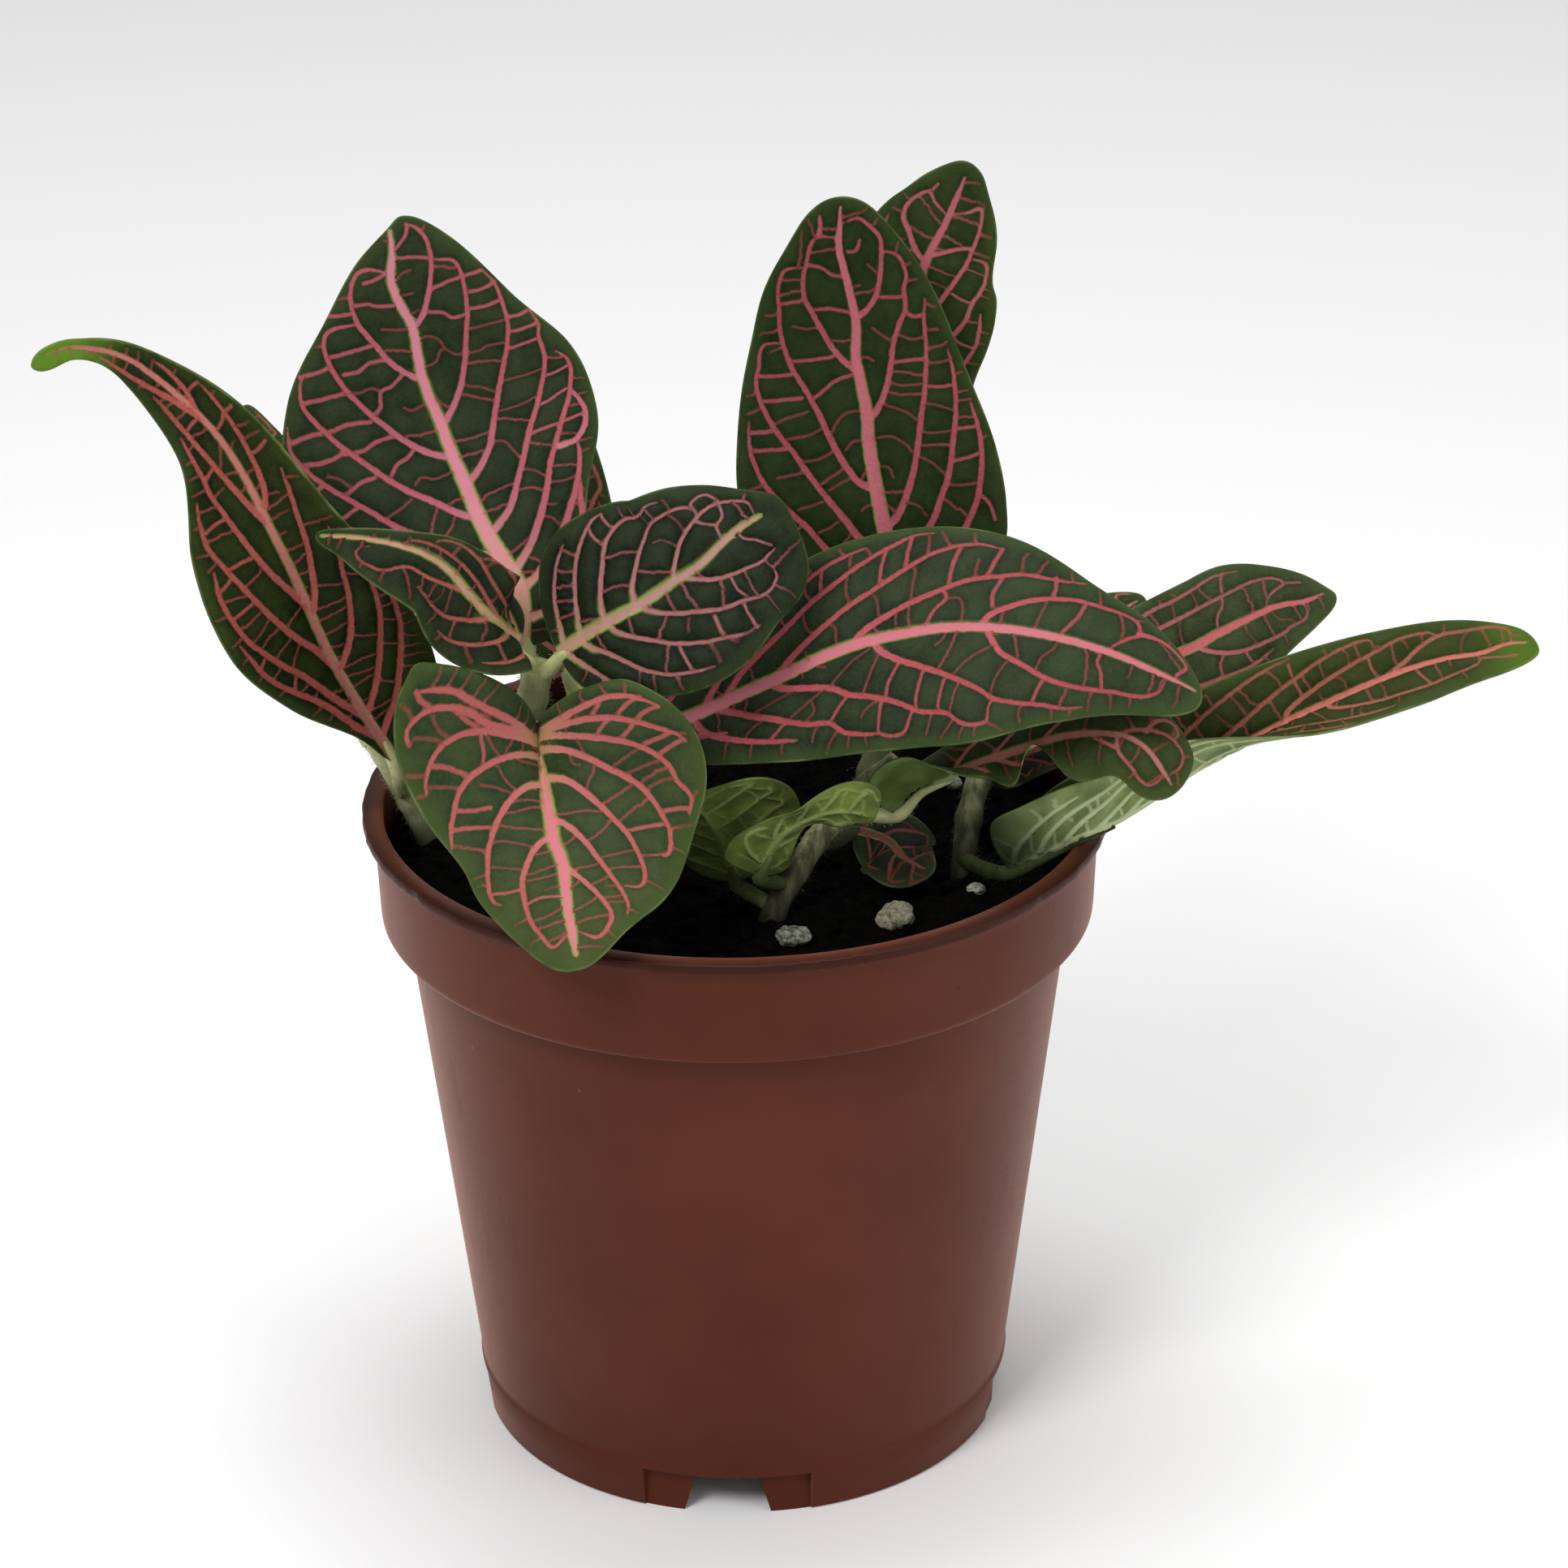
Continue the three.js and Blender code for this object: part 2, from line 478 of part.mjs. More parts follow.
function potSolid() {
  const profile = potProfile();
  let pot = latheSolid([...profile, profile[0]], POT_SIDES);
  const notch = new THREE.Shape();
  notch.moveTo(-NOTCH_BOTTOM_WIDTH / 2, -1);
  notch.lineTo(NOTCH_BOTTOM_WIDTH / 2, -1);
  notch.lineTo(NOTCH_TOP_WIDTH / 2, NOTCH_HEIGHT);
  notch.lineTo(-NOTCH_TOP_WIDTH / 2, NOTCH_HEIGHT);
  notch.closePath();
  const notchCut = new THREE.ExtrudeGeometry(notch, { depth: 8, bevelEnabled: false });
  notchCut.rotateX(Math.PI / 2).translate(0, -FOOT_RADIUS + 4, 0);

  const pocketSpan = POCKET_WIDTH / FOOT_RADIUS;
  const pocketRadius = FOOT_RADIUS + SKIRT_STEP - POCKET_DEPTH;
  const from = -Math.PI / 2 - pocketSpan / 2;
  const to = -Math.PI / 2 + pocketSpan / 2;
  const pocket = new THREE.Shape();
  pocket.absarc(0, 0, pocketRadius, from, to, false);
  pocket.absarc(0, 0, FOOT_RADIUS + 3, to, from, true);
  pocket.closePath();
  const pocketCut = new THREE.ExtrudeGeometry(pocket, {
    depth: POCKET_HEIGHT + 1, curveSegments: 5, bevelEnabled: false,
  });
  pocketCut.translate(0, 0, -1);

  const drain = new THREE.CylinderGeometry(DRAIN_RADIUS, DRAIN_RADIUS, 6, 12);
  drain.rotateX(Math.PI / 2).translate(0, 0, FLOOR_TOP);
  pot = pot.subtract(toSolid(drain));
  for (let i = 0; i < NOTCH_COUNT; i += 1) {
    const turn = radians(NOTCH_TURN + (360 * i) / NOTCH_COUNT);
    const place = radians(45 + (360 * i) / NOTCH_COUNT);
    const hole = drain.clone();
    hole.translate(DRAIN_CIRCLE * Math.cos(place), DRAIN_CIRCLE * Math.sin(place), 0);
    pot = pot.subtract(toSolid(notchCut.clone().rotateZ(turn)));
    pot = pot.subtract(toSolid(pocketCut.clone().rotateZ(turn)));
    pot = pot.subtract(toSolid(hole));
  }
  return pot;
}

// Soil: fills the pot, with an uneven top
function soilHeight(x, y) {
  const bumps = Math.sin(0.31 * x + 0.4) * Math.cos(0.27 * y) + 0.6 * Math.sin(0.55 * x - 0.48 * y + 1);
  return SOIL_LEVEL + SOIL_ROUGHNESS * bumps;
}

function soilSolid() {
  const inner = (z) => {
    const neck = POT_HEIGHT - BAND_HEIGHT;
    return FOOT_RADIUS + ((NECK_RADIUS - FOOT_RADIUS) * z) / neck - WALL - GAP;
  };
  const floor = FLOOR_TOP + GAP;
  const shoulder = POT_HEIGHT - BAND_HEIGHT - 0.7;
  const profile = [
    [0, floor],
    [inner(floor) - 1.2, floor],
    [inner(floor + 1.5) - 0.1, floor + 1.5],
    [inner(shoulder), shoulder],
    [BAND_RADIUS - WALL - 0.8, shoulder + 2.2],
    [BAND_RADIUS - WALL - 0.8, SOIL_LEVEL - 1.2],
    ...[...SOIL_RINGS].reverse().map((radius) => [radius, SOIL_LEVEL]),
    [0, SOIL_LEVEL],
  ];
  const points = profile.map(([radius, z]) => new THREE.Vector2(radius, z));
  const geometry = new THREE.LatheGeometry(points, SOIL_SIDES);
  geometry.rotateX(Math.PI / 2);
  const position = geometry.attributes.position;
  for (let i = 0; i < position.count; i += 1) {
    if (position.getZ(i) > SOIL_LEVEL - 0.01) {
      position.setZ(i, soilHeight(position.getX(i), position.getY(i)));
    }
  }
  let soil = toSolid(geometry);
  for (const stem of Object.values(STEMS)) soil = soil.subtract(stemSolid(stem, GAP));
  for (const grain of GRAINS) soil = soil.subtract(toSolid(grainGeometry(grain, GAP)));
  return soil;
}

// A loose grain, a third sunk in the soil
function grainGeometry(grain, extra) {
  const geometry = new THREE.IcosahedronGeometry(grain.radius + extra, 1);
  const position = geometry.attributes.position;
  for (let i = 0; i < position.count; i += 1) {
    const [x, y, z] = [position.getX(i), position.getY(i), position.getZ(i)];
    const uneven = 1 + 0.09 * Math.sin(2.1 * x + 1.3 * y) + 0.07 * Math.cos(1.7 * z - y);
    position.setXYZ(i, x * uneven, y * uneven, z * uneven * grain.squash);
  }
  const [x, y] = grain.place;
  geometry.translate(x, y, soilHeight(x, y) + 0.3 * grain.radius);
  return geometry;
}

const plant = new THREE.Group();
plant.add(makeMesh('pot', toGeometry(potSolid()), POT_MATERIAL));
plant.add(makeMesh('soil', toGeometry(soilSolid()), SOIL_MATERIAL));
for (const grain of GRAINS) {
  plant.add(makeMesh(grain.name, toGeometry(toSolid(grainGeometry(grain, 0))), GRAIN_MATERIAL));
}
for (const [name, stem] of Object.entries(STEMS)) {
  plant.add(makeMesh(name, toGeometry(stemSolid(stem, 0)), STEM_MATERIAL));
}
for (const [name, leaf] of Object.entries(LEAVES)) {
  plant.add(makeMesh(name, toGeometry(leafSolid(leaf)), LEAF_MATERIAL));
}

// The origin is at the middle of the whole plant's footprint, at the level of the pot's foot
const box = new THREE.Box3().setFromObject(plant);
plant.position.set(-(box.min.x + box.max.x) / 2, -(box.min.y + box.max.y) / 2, -box.min.z);

export default plant;
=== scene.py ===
"""Looks of the potted nerve plant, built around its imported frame.

Every size below is in millimetres unless its name says otherwise, and MM turns it to metres.
Plant places are measured from the pot's axis at the level of its foot, x right, y away, z up.
"""

import math

import bmesh
import bpy
import numpy as np
from mathutils import Matrix, Vector, noise
from mathutils.geometry import delaunay_2d_cdt


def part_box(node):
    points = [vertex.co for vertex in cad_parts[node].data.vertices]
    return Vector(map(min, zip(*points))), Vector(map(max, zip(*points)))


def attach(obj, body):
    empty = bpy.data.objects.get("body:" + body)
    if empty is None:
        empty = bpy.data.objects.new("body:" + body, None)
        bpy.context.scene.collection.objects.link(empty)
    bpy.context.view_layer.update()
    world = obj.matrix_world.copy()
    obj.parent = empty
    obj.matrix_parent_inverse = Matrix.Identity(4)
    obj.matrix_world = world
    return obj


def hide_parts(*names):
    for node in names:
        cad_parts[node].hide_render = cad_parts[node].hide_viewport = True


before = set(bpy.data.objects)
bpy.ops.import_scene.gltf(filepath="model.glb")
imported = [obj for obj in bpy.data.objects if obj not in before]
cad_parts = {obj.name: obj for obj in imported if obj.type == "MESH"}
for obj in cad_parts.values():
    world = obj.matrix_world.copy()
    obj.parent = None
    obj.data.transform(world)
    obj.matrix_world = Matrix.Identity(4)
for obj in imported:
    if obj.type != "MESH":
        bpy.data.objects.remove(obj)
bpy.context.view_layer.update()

MM = 0.001

# Pot
POT_HEIGHT = 81
POT_SIDES = 288
WALL = 1.2
LIP_RADIUS = 45
LIP_HEIGHT = 1.1
BAND_RADIUS = 43.5
BAND_HEIGHT = 13.6
NECK_RADIUS = 40.1
NECK_HEIGHT = POT_HEIGHT - BAND_HEIGHT
FOOT_RADIUS = 32.2
SKIRT_HEIGHT = 6.2
SKIRT_STEP = 0.2
FLOOR_TOP = 7
NOTCH_COUNT = 4
NOTCH_TURN = -4
NOTCH_BOTTOM_WIDTH = 11
NOTCH_TOP_WIDTH = 7.8
NOTCH_HEIGHT = 5
POCKET_WIDTH = 20.5
POCKET_HEIGHT = 5.6
POCKET_DEPTH = 0.45
DRAIN_RADIUS = 3.5
DRAIN_CIRCLE = 20
LIP_NICKS = 26

# Soil and the loose grains on it
SOIL_LEVEL = 73
SOIL_ROUGHNESS = 0.6
SOIL_STEP = 0.55
SOIL_SIDES = 300
SOIL_CRUMBS = 420
SOIL_EDGE_GAP = 0.8
SOIL_WALL_GAP = 0.3
GRAINS = {
    "grain_beige": {"place": (18.6, -18.9), "radius": 2.2, "squash": 0.75, "colour": "857d62"},
    "grain_grey": {"place": (6.4, -23.6), "radius": 1.9, "squash": 0.6, "colour": "3f4b3b"},
    "grain_white_front": {"place": (28.3, -10.7), "radius": 1.1, "squash": 0.7, "colour": "8f928a"},
    "grain_white_back": {"place": (27, 18), "radius": 1.3, "squash": 0.7, "colour": "9fa19c"},
}

# Stems, from the buried foot to the tip. Painted shade darkens each stem toward the soil, up to 88 mm or
# the height its entry gives.
STEMS = {
    "stem_main": {
        "radius": 1.7, "colour": "848c60",
        "path": [(-27, -3, 63), (-27, -4, 73), (-25.5, -8, 86), (-24, -12, 97), (-22.5, -12, 104)],
    },
    "stem_left": {
        "radius": 1.4, "colour": "c3c99a", "painted_shade_below": 79,
        "path": [(-35, 5, 63), (-37.5, 5, 73), (-41, 3, 83), (-45, 1, 92)],
    },
    "stem_middle": {
        "radius": 1.5, "colour": "545239",
        "path": [(2, -17, 63), (4, -17, 73), (8, -15, 80), (14, -13, 87), (19, -13, 91)],
    },
    "stem_right": {
        "radius": 1.5, "colour": "5d6446",
        "path": [(26, -7, 63), (27, -6, 73), (28, -3, 80), (31, 2, 87), (34, 5, 91)],
    },
    "stem_back": {
        "radius": 1.7, "colour": "8c9a6a",
        "path": [(14, 7, 63), (15, 8, 73), (18, 11, 84), (20.5, 13, 93)],
    },
    "stem_rear": {
        "radius": 1.4, "colour": "8c9a6a",
        "path": [(-14, 10, 63), (-14, 10, 73), (-17, 9, 84), (-19, 9, 91)],
    },
}

# Leaves. rib: points along the midrib, base to tip. face: which way the upper side looks.
# half: half widths at even steps round from base to tip. fold: how far that half rises from the midrib
# in degrees, base to tip. curl: how much further it bends out to the margin. wave: height, count and
# start of the waves along the margin. root: where its stalk meets the stem. ease: how far a sharp turn
# of the blade is spread along it, in steps of 1 in 400.
# The veins lie in the flattened blade: (across, along) from the base of the midrib, left is negative.
# Colours: panel and back are the dark and light between the veins, on the upper side and the underside.
# veins: far from the midrib, near it and on it. stalk: dark and light. tip: past bright_tip, a part of
# the length. green: how green the tip and the margin are. halo, cream: how green the midrib's border and
# how pale its base are. dull: how brown the veins are. back_veins: how pale those below are.
# painted_shade_base: over how much of its length the underside is darkened toward the base, as painted
# shade.
# Sizes: vein and midrib_width scale the veins, quilt the relief, and rungs spaces the fine cross veins.
# pairs: how many side veins a leaf that shows little has on each side.
PALE_LOW = {
    "green": 0.8, "vein": 0.55, "back": ("526130", "76833f"), "back_veins": 0.12,
    "stalk": ("3d4527", "565f38"),
}
DARK_LOW = {"vein": 0.5, "dull": 0.8, "panel": ("0d1309", "1c2413")}
LEAVES = {
    "leaf_tall_left": {
        "root": (-24, -12, 97), "ease": 20,
        "rib": [(-24, -7, 104), (-24, -4, 111), (-30, 3, 119), (-35, 9, 130), (-38, 13, 150)],
        "face": [(0.1, -0.85, 0.5), (0.1, -0.9, 0.35), (0.05, -0.95, 0.2)],
        "left": {"half": [5, 8, 11.5, 16.7, 20.2, 17, 11, 6.5, 2], "fold": [10, 5, 5],
                 "curl": [-10, -15, -20]},
        "right": {"half": [3, 5.5, 9.7, 15.7, 18, 17, 11.5, 7, 3], "fold": [15, 8, 5],
                  "curl": [-10, -20, -30]},
        "halo": 0.9, "cream": 0.55, "veins": ("9c474f", "b3697a", "c87c8a"),
        "panel": ("0d1b07", "323c26"),
        "midrib": [
            (-1, 0), (-1.3, 8), (-1.4, 14), (-0.8, 19), (-0.4, 25), (-0.3, 30), (-0.8, 35), (-0.8, 41),
            (-1.8, 44), (-2.4, 47), (-1.8, 50), (-1.6, 52.6),
        ],
        "main": [
            [(-1, 3), (-5, 5.5), (-9.5, 10), (-13, 15), (-15, 19.5), (-16.3, 22.5)],
            [(-1.2, 7), (-6, 11), (-11, 17), (-15, 22.7), (-17.3, 25), (-18.2, 27.5)],
            [(-1.3, 11.5), (-4, 14), (-6.5, 17), (-9.5, 20), (-11, 22), (-13, 24.7), (-15, 27),
             (-17, 29.5), (-18, 31.5), (-17.6, 33.5)],
            [(-1.1, 17), (-3, 19), (-5, 21.5), (-7, 23.7), (-8.5, 25.7), (-10.3, 28.2), (-12.3, 30.7),
             (-14, 33), (-15.2, 35), (-15, 37), (-14.3, 38)],
            [(-0.5, 25), (-3, 26.8), (-5, 29), (-6.5, 31), (-8, 33), (-10, 36), (-11.2, 39),
             (-11.3, 41), (-10.3, 42.2), (-7, 42.5)],
            [(-0.8, 35), (-2, 35.6), (-4, 37.5), (-5.5, 40), (-7, 42.5), (-7.4, 45), (-7, 47),
             (-6, 48.3), (-4.5, 48.5), (-2.4, 47.7)],
            [(-0.8, 41), (0.4, 42), (1.4, 44), (2.2, 46.5), (2.6, 49), (2.3, 51.2), (1.5, 52.5),
             (0.2, 53.3)],
            [(0.3, 29.4), (2, 31), (3.5, 33.3), (4.5, 36), (5.2, 39), (5.8, 42), (5.9, 45), (5.7, 47),
             (5, 48.2), (3.7, 48.5), (2.6, 48.7)],
            [(0, 21.6), (2, 22.7), (4, 24.5), (5.5, 27), (7, 30), (8.5, 33.5), (9.6, 36.5),
             (10.3, 39.5), (10.1, 42), (9.6, 44.5), (8.5, 46.3)],
            [(-0.5, 15), (1, 15.5), (3, 16.5), (5, 18.7), (7, 21.3), (9, 24.2), (11, 27), (12.5, 30),
             (13.6, 33), (13.8, 35), (13.6, 37), (13.9, 38.7), (13.2, 40.5)],
            [(-0.7, 9.5), (2, 11), (4, 12.5), (6, 14.2), (8, 16.5), (9.6, 19), (11.2, 21.2), (13, 23.7),
             (14.8, 26.3), (15.7, 28.5), (16.4, 31), (16.2, 33), (15.2, 34.4)],
            [(-0.6, 7), (1.5, 8), (4, 9.4), (7, 11.3), (10, 13.7), (12, 16), (13.2, 18.5), (13.4, 20.3)],
            [(-0.9, 3), (3, 4.5), (6.5, 7), (8.5, 10), (10.3, 13), (12, 16)],
            [(11.3, 20.4), (13.4, 20.2), (15, 21.5), (15.9, 23.3), (16, 25), (15.5, 27.7)],
        ],
        "cross": [
            [(-1.6, 50.3), (0, 51.8), (0.4, 53)],
            [(-14.9, 37.8), (-12.5, 38), (-11.1, 38.3)],
            [(-15.2, 35.3), (-12.5, 35.3), (-9.8, 35.4)],
            [(-17.9, 32.1), (-15, 32.3), (-13, 32.1), (-10.5, 32.3), (-8, 31.9)],
            [(-17.2, 30), (-14.5, 29.6), (-12, 29.8)],
            [(-12, 29.7), (-10, 29.4), (-8, 29.8), (-5.8, 29.7)],
            [(-18.4, 27.3), (-17.5, 27.3), (-16, 27.6)],
            [(-14, 26), (-12.8, 26.2), (-11.5, 26.5), (-9.8, 26.4)],
            [(-16, 24), (-14.8, 24), (-13.3, 24.3)],
            [(-8, 25.9), (-6.8, 26.8), (-5.5, 27), (-4.4, 27.6)],
            [(-11, 39.3), (-9, 39.5), (-6, 39.8)],
            [(-9.6, 37.3), (-8, 37.3), (-6.5, 38), (-4.6, 38)],
            [(-7.6, 32.4), (-6.4, 33.1), (-5.9, 34.7), (-4.5, 35), (-3, 36)],
            [(-10.5, 43.8), (-9, 43.7), (-7.3, 43.8)],
            [(-7.1, 44.6), (-5.5, 44.6), (-4.5, 44.2), (-2.2, 44)],
            [(-5.6, 47), (-4.2, 47.3), (-2.5, 47.9)],
            [(-1.4, 49.4), (0.5, 49.3), (2.5, 48.9)],
            [(1.5, 42.6), (3, 42.3), (4, 41.5), (5.6, 41.6)],
            [(5.9, 42.2), (8, 42.2), (10, 42.6)],
            [(2.1, 45.2), (3.5, 45.7), (5.5, 46.1), (8.3, 46.4)],
            [(6, 44.2), (8, 44.3), (9.6, 44.8)],
            [(10.2, 40.3), (11.7, 40.3), (13.2, 40.7)],
            [(10.3, 38.4), (12, 38.5), (13.8, 38.8)],
            [(9.9, 36.3), (11.5, 36.5), (13.6, 36.8)],
            [(13, 31), (14.7, 31.1), (16.4, 31.7)],
            [(11, 27), (12.5, 27.1), (14, 27.6), (15.4, 28)],
            [(9, 23.6), (10.5, 23.6), (12.5, 23.4), (15.9, 23.3)],
        ],
        "faint": [
            [(-12.8, 26.3), (-13.6, 27.6), (-14.8, 28.3)],
            [(-11.5, 22), (-10, 22), (-8.5, 22.2), (-7, 22.6)],
            [(-5.8, 24), (-4.8, 24.4), (-3.5, 23.6), (-1.2, 23.5)],
            [(-5.9, 34.8), (-7, 35.3), (-8.4, 35.1), (-9.6, 35.4)],
            [(-4.4, 41.5), (-3, 41.2), (-1, 41)],
            [(-8.9, 45.5), (-7.4, 45.7)],
            [(-2.2, 46.5), (-1, 47.6), (0, 47.8)],
            [(-1.8, 45), (-0.2, 45.1)],
            [(-3.8, 32.4), (-3, 31.8), (-0.9, 32.2)],
            [(-0.3, 36.3), (1.2, 36.6), (1.8, 37.7), (2.5, 38), (3.6, 37), (5, 36.9)],
            [(5, 36.9), (6.5, 36.9), (7.5, 37.3), (9.7, 37.2)],
            [(2.5, 38), (2, 39.2), (0.8, 39.8), (-0.4, 39.6)],
            [(5.7, 39.8), (7.5, 39.9), (10.2, 40.1)],
            [(3.6, 33.2), (4.5, 32.6), (5.6, 32.2), (6.5, 31.3), (7.3, 31)],
            [(8, 32), (9.5, 32.1), (11, 32), (13, 32.2)],
            [(6.5, 28.2), (8, 28.1), (9.5, 28), (11.6, 28.4)],
            [(4.6, 24.8), (5.8, 24.2), (6.2, 22.8), (6.6, 21.3)],
            [(6, 20), (7.3, 19), (8, 17.8), (8.2, 16.9)],
            [(8.2, 16.4), (9.5, 15.6), (10.8, 15.3), (11.8, 15.6)],
            [(4.9, 13.3), (6, 12.6), (6.3, 11.7), (7, 11.3)],
        ],
    },
    "leaf_far_left": {
        "root": (-40, 4, 80),
        "rib": [
            (-40, -8, 90), (-46, -13, 105), (-51, -16, 121), (-58, -14, 134), (-67, -10, 141),
            (-74, -8, 142), (-79, -9, 140),
        ],
        "face": [(0.3, -0.8, 0.4), (0.2, -0.8, 0.6), (-0.1, -0.7, 0.7)],
        "left": {"half": [1.2, 2.8, 7.5, 11.5, 10, 5.7, 3.3, 1.8, 1.3], "fold": [10, 0, -20],
                 "curl": [-10, -10, -30], "wave": (1.2, 3.5, 0.1)},
        "right": {"half": [4.5, 9, 10.8, 10, 7, 4.7, 2.3, 1, 1.2], "fold": [20, 25, 40],
                  "curl": [0, 20, 20]},
        "green": 0.2, "midrib_width": 0.62, "rungs": 1.7, "bright_tip": 0.88,
        "veins": ("863e36", "9a4b45", "a86c63"),
        "panel": ("050a02", "2a370e"),
        "midrib": [
            (0, 0), (-0.3, 5), (-0.4, 15), (-0.5, 25), (-0.6, 35), (-0.3, 45), (-0.4, 55), (-0.3, 62),
            (-0.3, 66), (0.1, 70), (0.4, 72),
        ],
        "main": [
            [(-0.6, 5), (-2, 8), (-3.3, 12), (-4.8, 15), (-6.2, 17), (-7.5, 19), (-8.7, 21.5),
             (-9.3, 24), (-9.8, 26)],
            [(-0.8, 9), (-2, 12), (-3.3, 15.5), (-4.5, 18.3), (-6, 20.7), (-7.5, 23.5), (-8.7, 26),
             (-9.3, 29), (-9.3, 32), (-8.5, 35)],
            [(-0.7, 17), (-1.7, 20), (-3.3, 23), (-4.8, 26.5), (-6, 30), (-6.8, 33), (-7.4, 35.5),
             (-7.8, 38), (-7.3, 41), (-6.6, 43)],
            [(-0.6, 25.5), (-1.5, 28), (-2.7, 31), (-3.5, 34), (-4, 37), (-4.4, 40), (-4.7, 43),
             (-4.5, 45), (-4.2, 48), (-3.6, 51)],
            [(-0.6, 37), (-1.3, 39), (-2, 42), (-2.5, 45), (-2.8, 48), (-2.8, 51), (-2.5, 54),
             (-2.2, 57)],
            [(-0.4, 51), (-1, 54), (-1.5, 57), (-1.8, 60), (-1.7, 63), (-1.1, 65.5)],
            [(0.3, 4.5), (2, 6.3), (4, 8.5), (5.5, 11), (7, 14), (8.5, 18), (9.2, 22), (9.2, 26)],
            [(0.2, 8.5), (2, 10.5), (3.8, 13.3), (5.3, 16.3), (6.5, 19.5), (7.2, 22), (7.6, 25),
             (7.6, 28)],
            [(0, 16), (1.5, 17.5), (3, 20), (4, 23), (4.7, 26), (5, 28.5), (5.5, 31), (5.8, 34)],
            [(0, 24.7), (1, 27), (1.8, 30), (2.5, 33), (3, 36), (3.6, 39), (4.2, 42)],
            [(-0.1, 38.7), (0.8, 40), (1.5, 42.5), (1.8, 45), (2.1, 48), (2.4, 51), (2.6, 53.5)],
            [(-0.2, 52.5), (0.7, 54.3), (1.2, 57), (1.3, 59)],
        ],
        "cross": [
            [(-9.2, 29), (-7.5, 29.3), (-5.7, 29.7)],
            [(-9.3, 32.5), (-8, 33), (-6.8, 33.7)],
            [(-7.2, 34.5), (-5.5, 34.6), (-3.8, 34.4)],
            [(-7.7, 39.3), (-6, 39.8), (-4.4, 39.8)],
            [(-4.5, 44.8), (-3.5, 45.3), (-2.5, 45.8)],
            [(-2.8, 51), (-1.7, 51.3), (-0.5, 51.3)],
            [(-7.5, 23.2), (-8.2, 22.6), (-8.8, 22)],
            [(-6, 17.3), (-5.3, 18.7), (-4.7, 18.9)],
            [(0.1, 49), (1.3, 49.3), (2.1, 49.8), (3.6, 49.9)],
            [(1.8, 44.8), (3, 44.8), (4.4, 45.2)],
            [(0.2, 54), (1.5, 54.2), (2.6, 54)],
        ],
        "faint": [
            [(-9, 35.3), (-7.4, 36)],
            [(-5.2, 27), (-6.8, 26), (-8.5, 25.3)],
            [(-2.4, 56), (-1.4, 55.7)],
            [(-2, 45.3), (-1, 47), (-0.4, 48)],
            [(0.9, 40), (2.3, 39.8)],
        ],
    },
    "leaf_young_left": {
        "root": (-22.5, -12, 102.5),
        "rib": [(-25, -15, 107), (-28, -19, 113), (-33, -21, 120), (-40, -21, 123), (-47, -19, 123)],
        "face": [(-0.2, -0.5, 0.85), (-0.2, -0.5, 0.85), (-0.2, -0.3, 0.9)],
        "left": {"half": [3.2, 6, 7.1, 7.4, 6.6, 6, 4.4, 2.2, 1], "fold": [10, 0, -10],
                 "curl": [-20, -20, -20]},
        "right": {"half": [4.5, 6.5, 6.2, 5.2, 4, 2.4, 1.5, 1.1, 0.8], "fold": [40, 15, 30],
                  "curl": [0, 0, 20]},
        "green": 0.1, "vein": 0.66, "midrib_width": 0.5, "quilt": 1.7, "halo": 1, "cream": 0.4,
        "veins": ("753935", "a2594d", "b08f78"),
        "panel": ("0a1806", "2d3322"),
        "midrib": [(1.2, 0), (0.6, 3.5), (0, 8), (-0.2, 12), (0.1, 16), (0.2, 20), (0, 26), (0, 31)],
        "main": [
            [(0.8, 0.8), (-1.5, 1.2), (-3.5, 3), (-5, 5), (-5.8, 6.8)],
            [(0.5, 3), (-2, 5.5), (-3.5, 7.2), (-4.8, 8.8), (-5.6, 10.3), (-5.8, 12)],
            [(0.1, 7.3), (-1.5, 9), (-3, 10.8), (-4.1, 12.7), (-4.4, 15), (-4.2, 17), (-3.8, 18.5)],
            [(-0.2, 12.5), (-1, 14), (-1.8, 16), (-2.2, 18), (-2, 20), (-2.5, 21.3), (-3.3, 22.7),
             (-3.2, 24.3), (-2.6, 25.8), (-1.6, 26.3), (-0.8, 25)],
            [(0.3, 5), (1, 8.5), (1.5, 12), (1.7, 16), (1.5, 20), (0.4, 22)],
            [(1.1, 1.8), (2.3, 5), (2.6, 8), (3, 11.5), (3.5, 14), (3.3, 16.5), (2.5, 18), (1.8, 18.3)],
            [(1.3, 0.8), (3.5, 3.2), (4.8, 6.5), (5.2, 9.5), (5, 12), (3.5, 14)],
        ],
        "cross": [
            [(-5.3, 5.5), (-4, 5.8), (-2.6, 6.2)],
            [(-5.6, 10.4), (-4.3, 11), (-3.3, 11.3)],
        ],
        "faint": [
            [(-4.4, 15.5), (-3.2, 15), (-1.6, 15.3)],
            [(3.3, 12.7), (4.2, 12.5), (5, 12)],
        ],
    },
    "leaf_young_right": {
        "root": (-22.5, -12, 102.5), "ease": 20,
        "rib": [(-20, -15, 106), (-13, -17, 112), (-6, -17, 116), (-1, -15, 120), (6, -11, 123)],
        "face": [(0, -0.75, 0.65), (0, -0.8, 0.6), (0.1, -0.8, 0.6)],
        "left": {"half": [5.5, 9.9, 12.3, 12.7, 11.9, 10.5, 7.2, 4, 2], "fold": [5, 0, 0],
                 "curl": [0, -10, -10]},
        "right": {"half": [4, 7, 9.5, 11.4, 12.2, 11.2, 10.8, 9.6, 6.5], "fold": [5, 0, -5],
                  "curl": [0, -10, -20]},
        "green": 0.1, "vein": 0.7, "midrib_width": 0.6, "quilt": 2.2, "halo": 1.3, "cream": 0.4,
        "shine": 0.09, "veins": ("925656", "9f6f6d", "a87c76"),
        "panel": ("060b04", "29351f"),
        "midrib": [
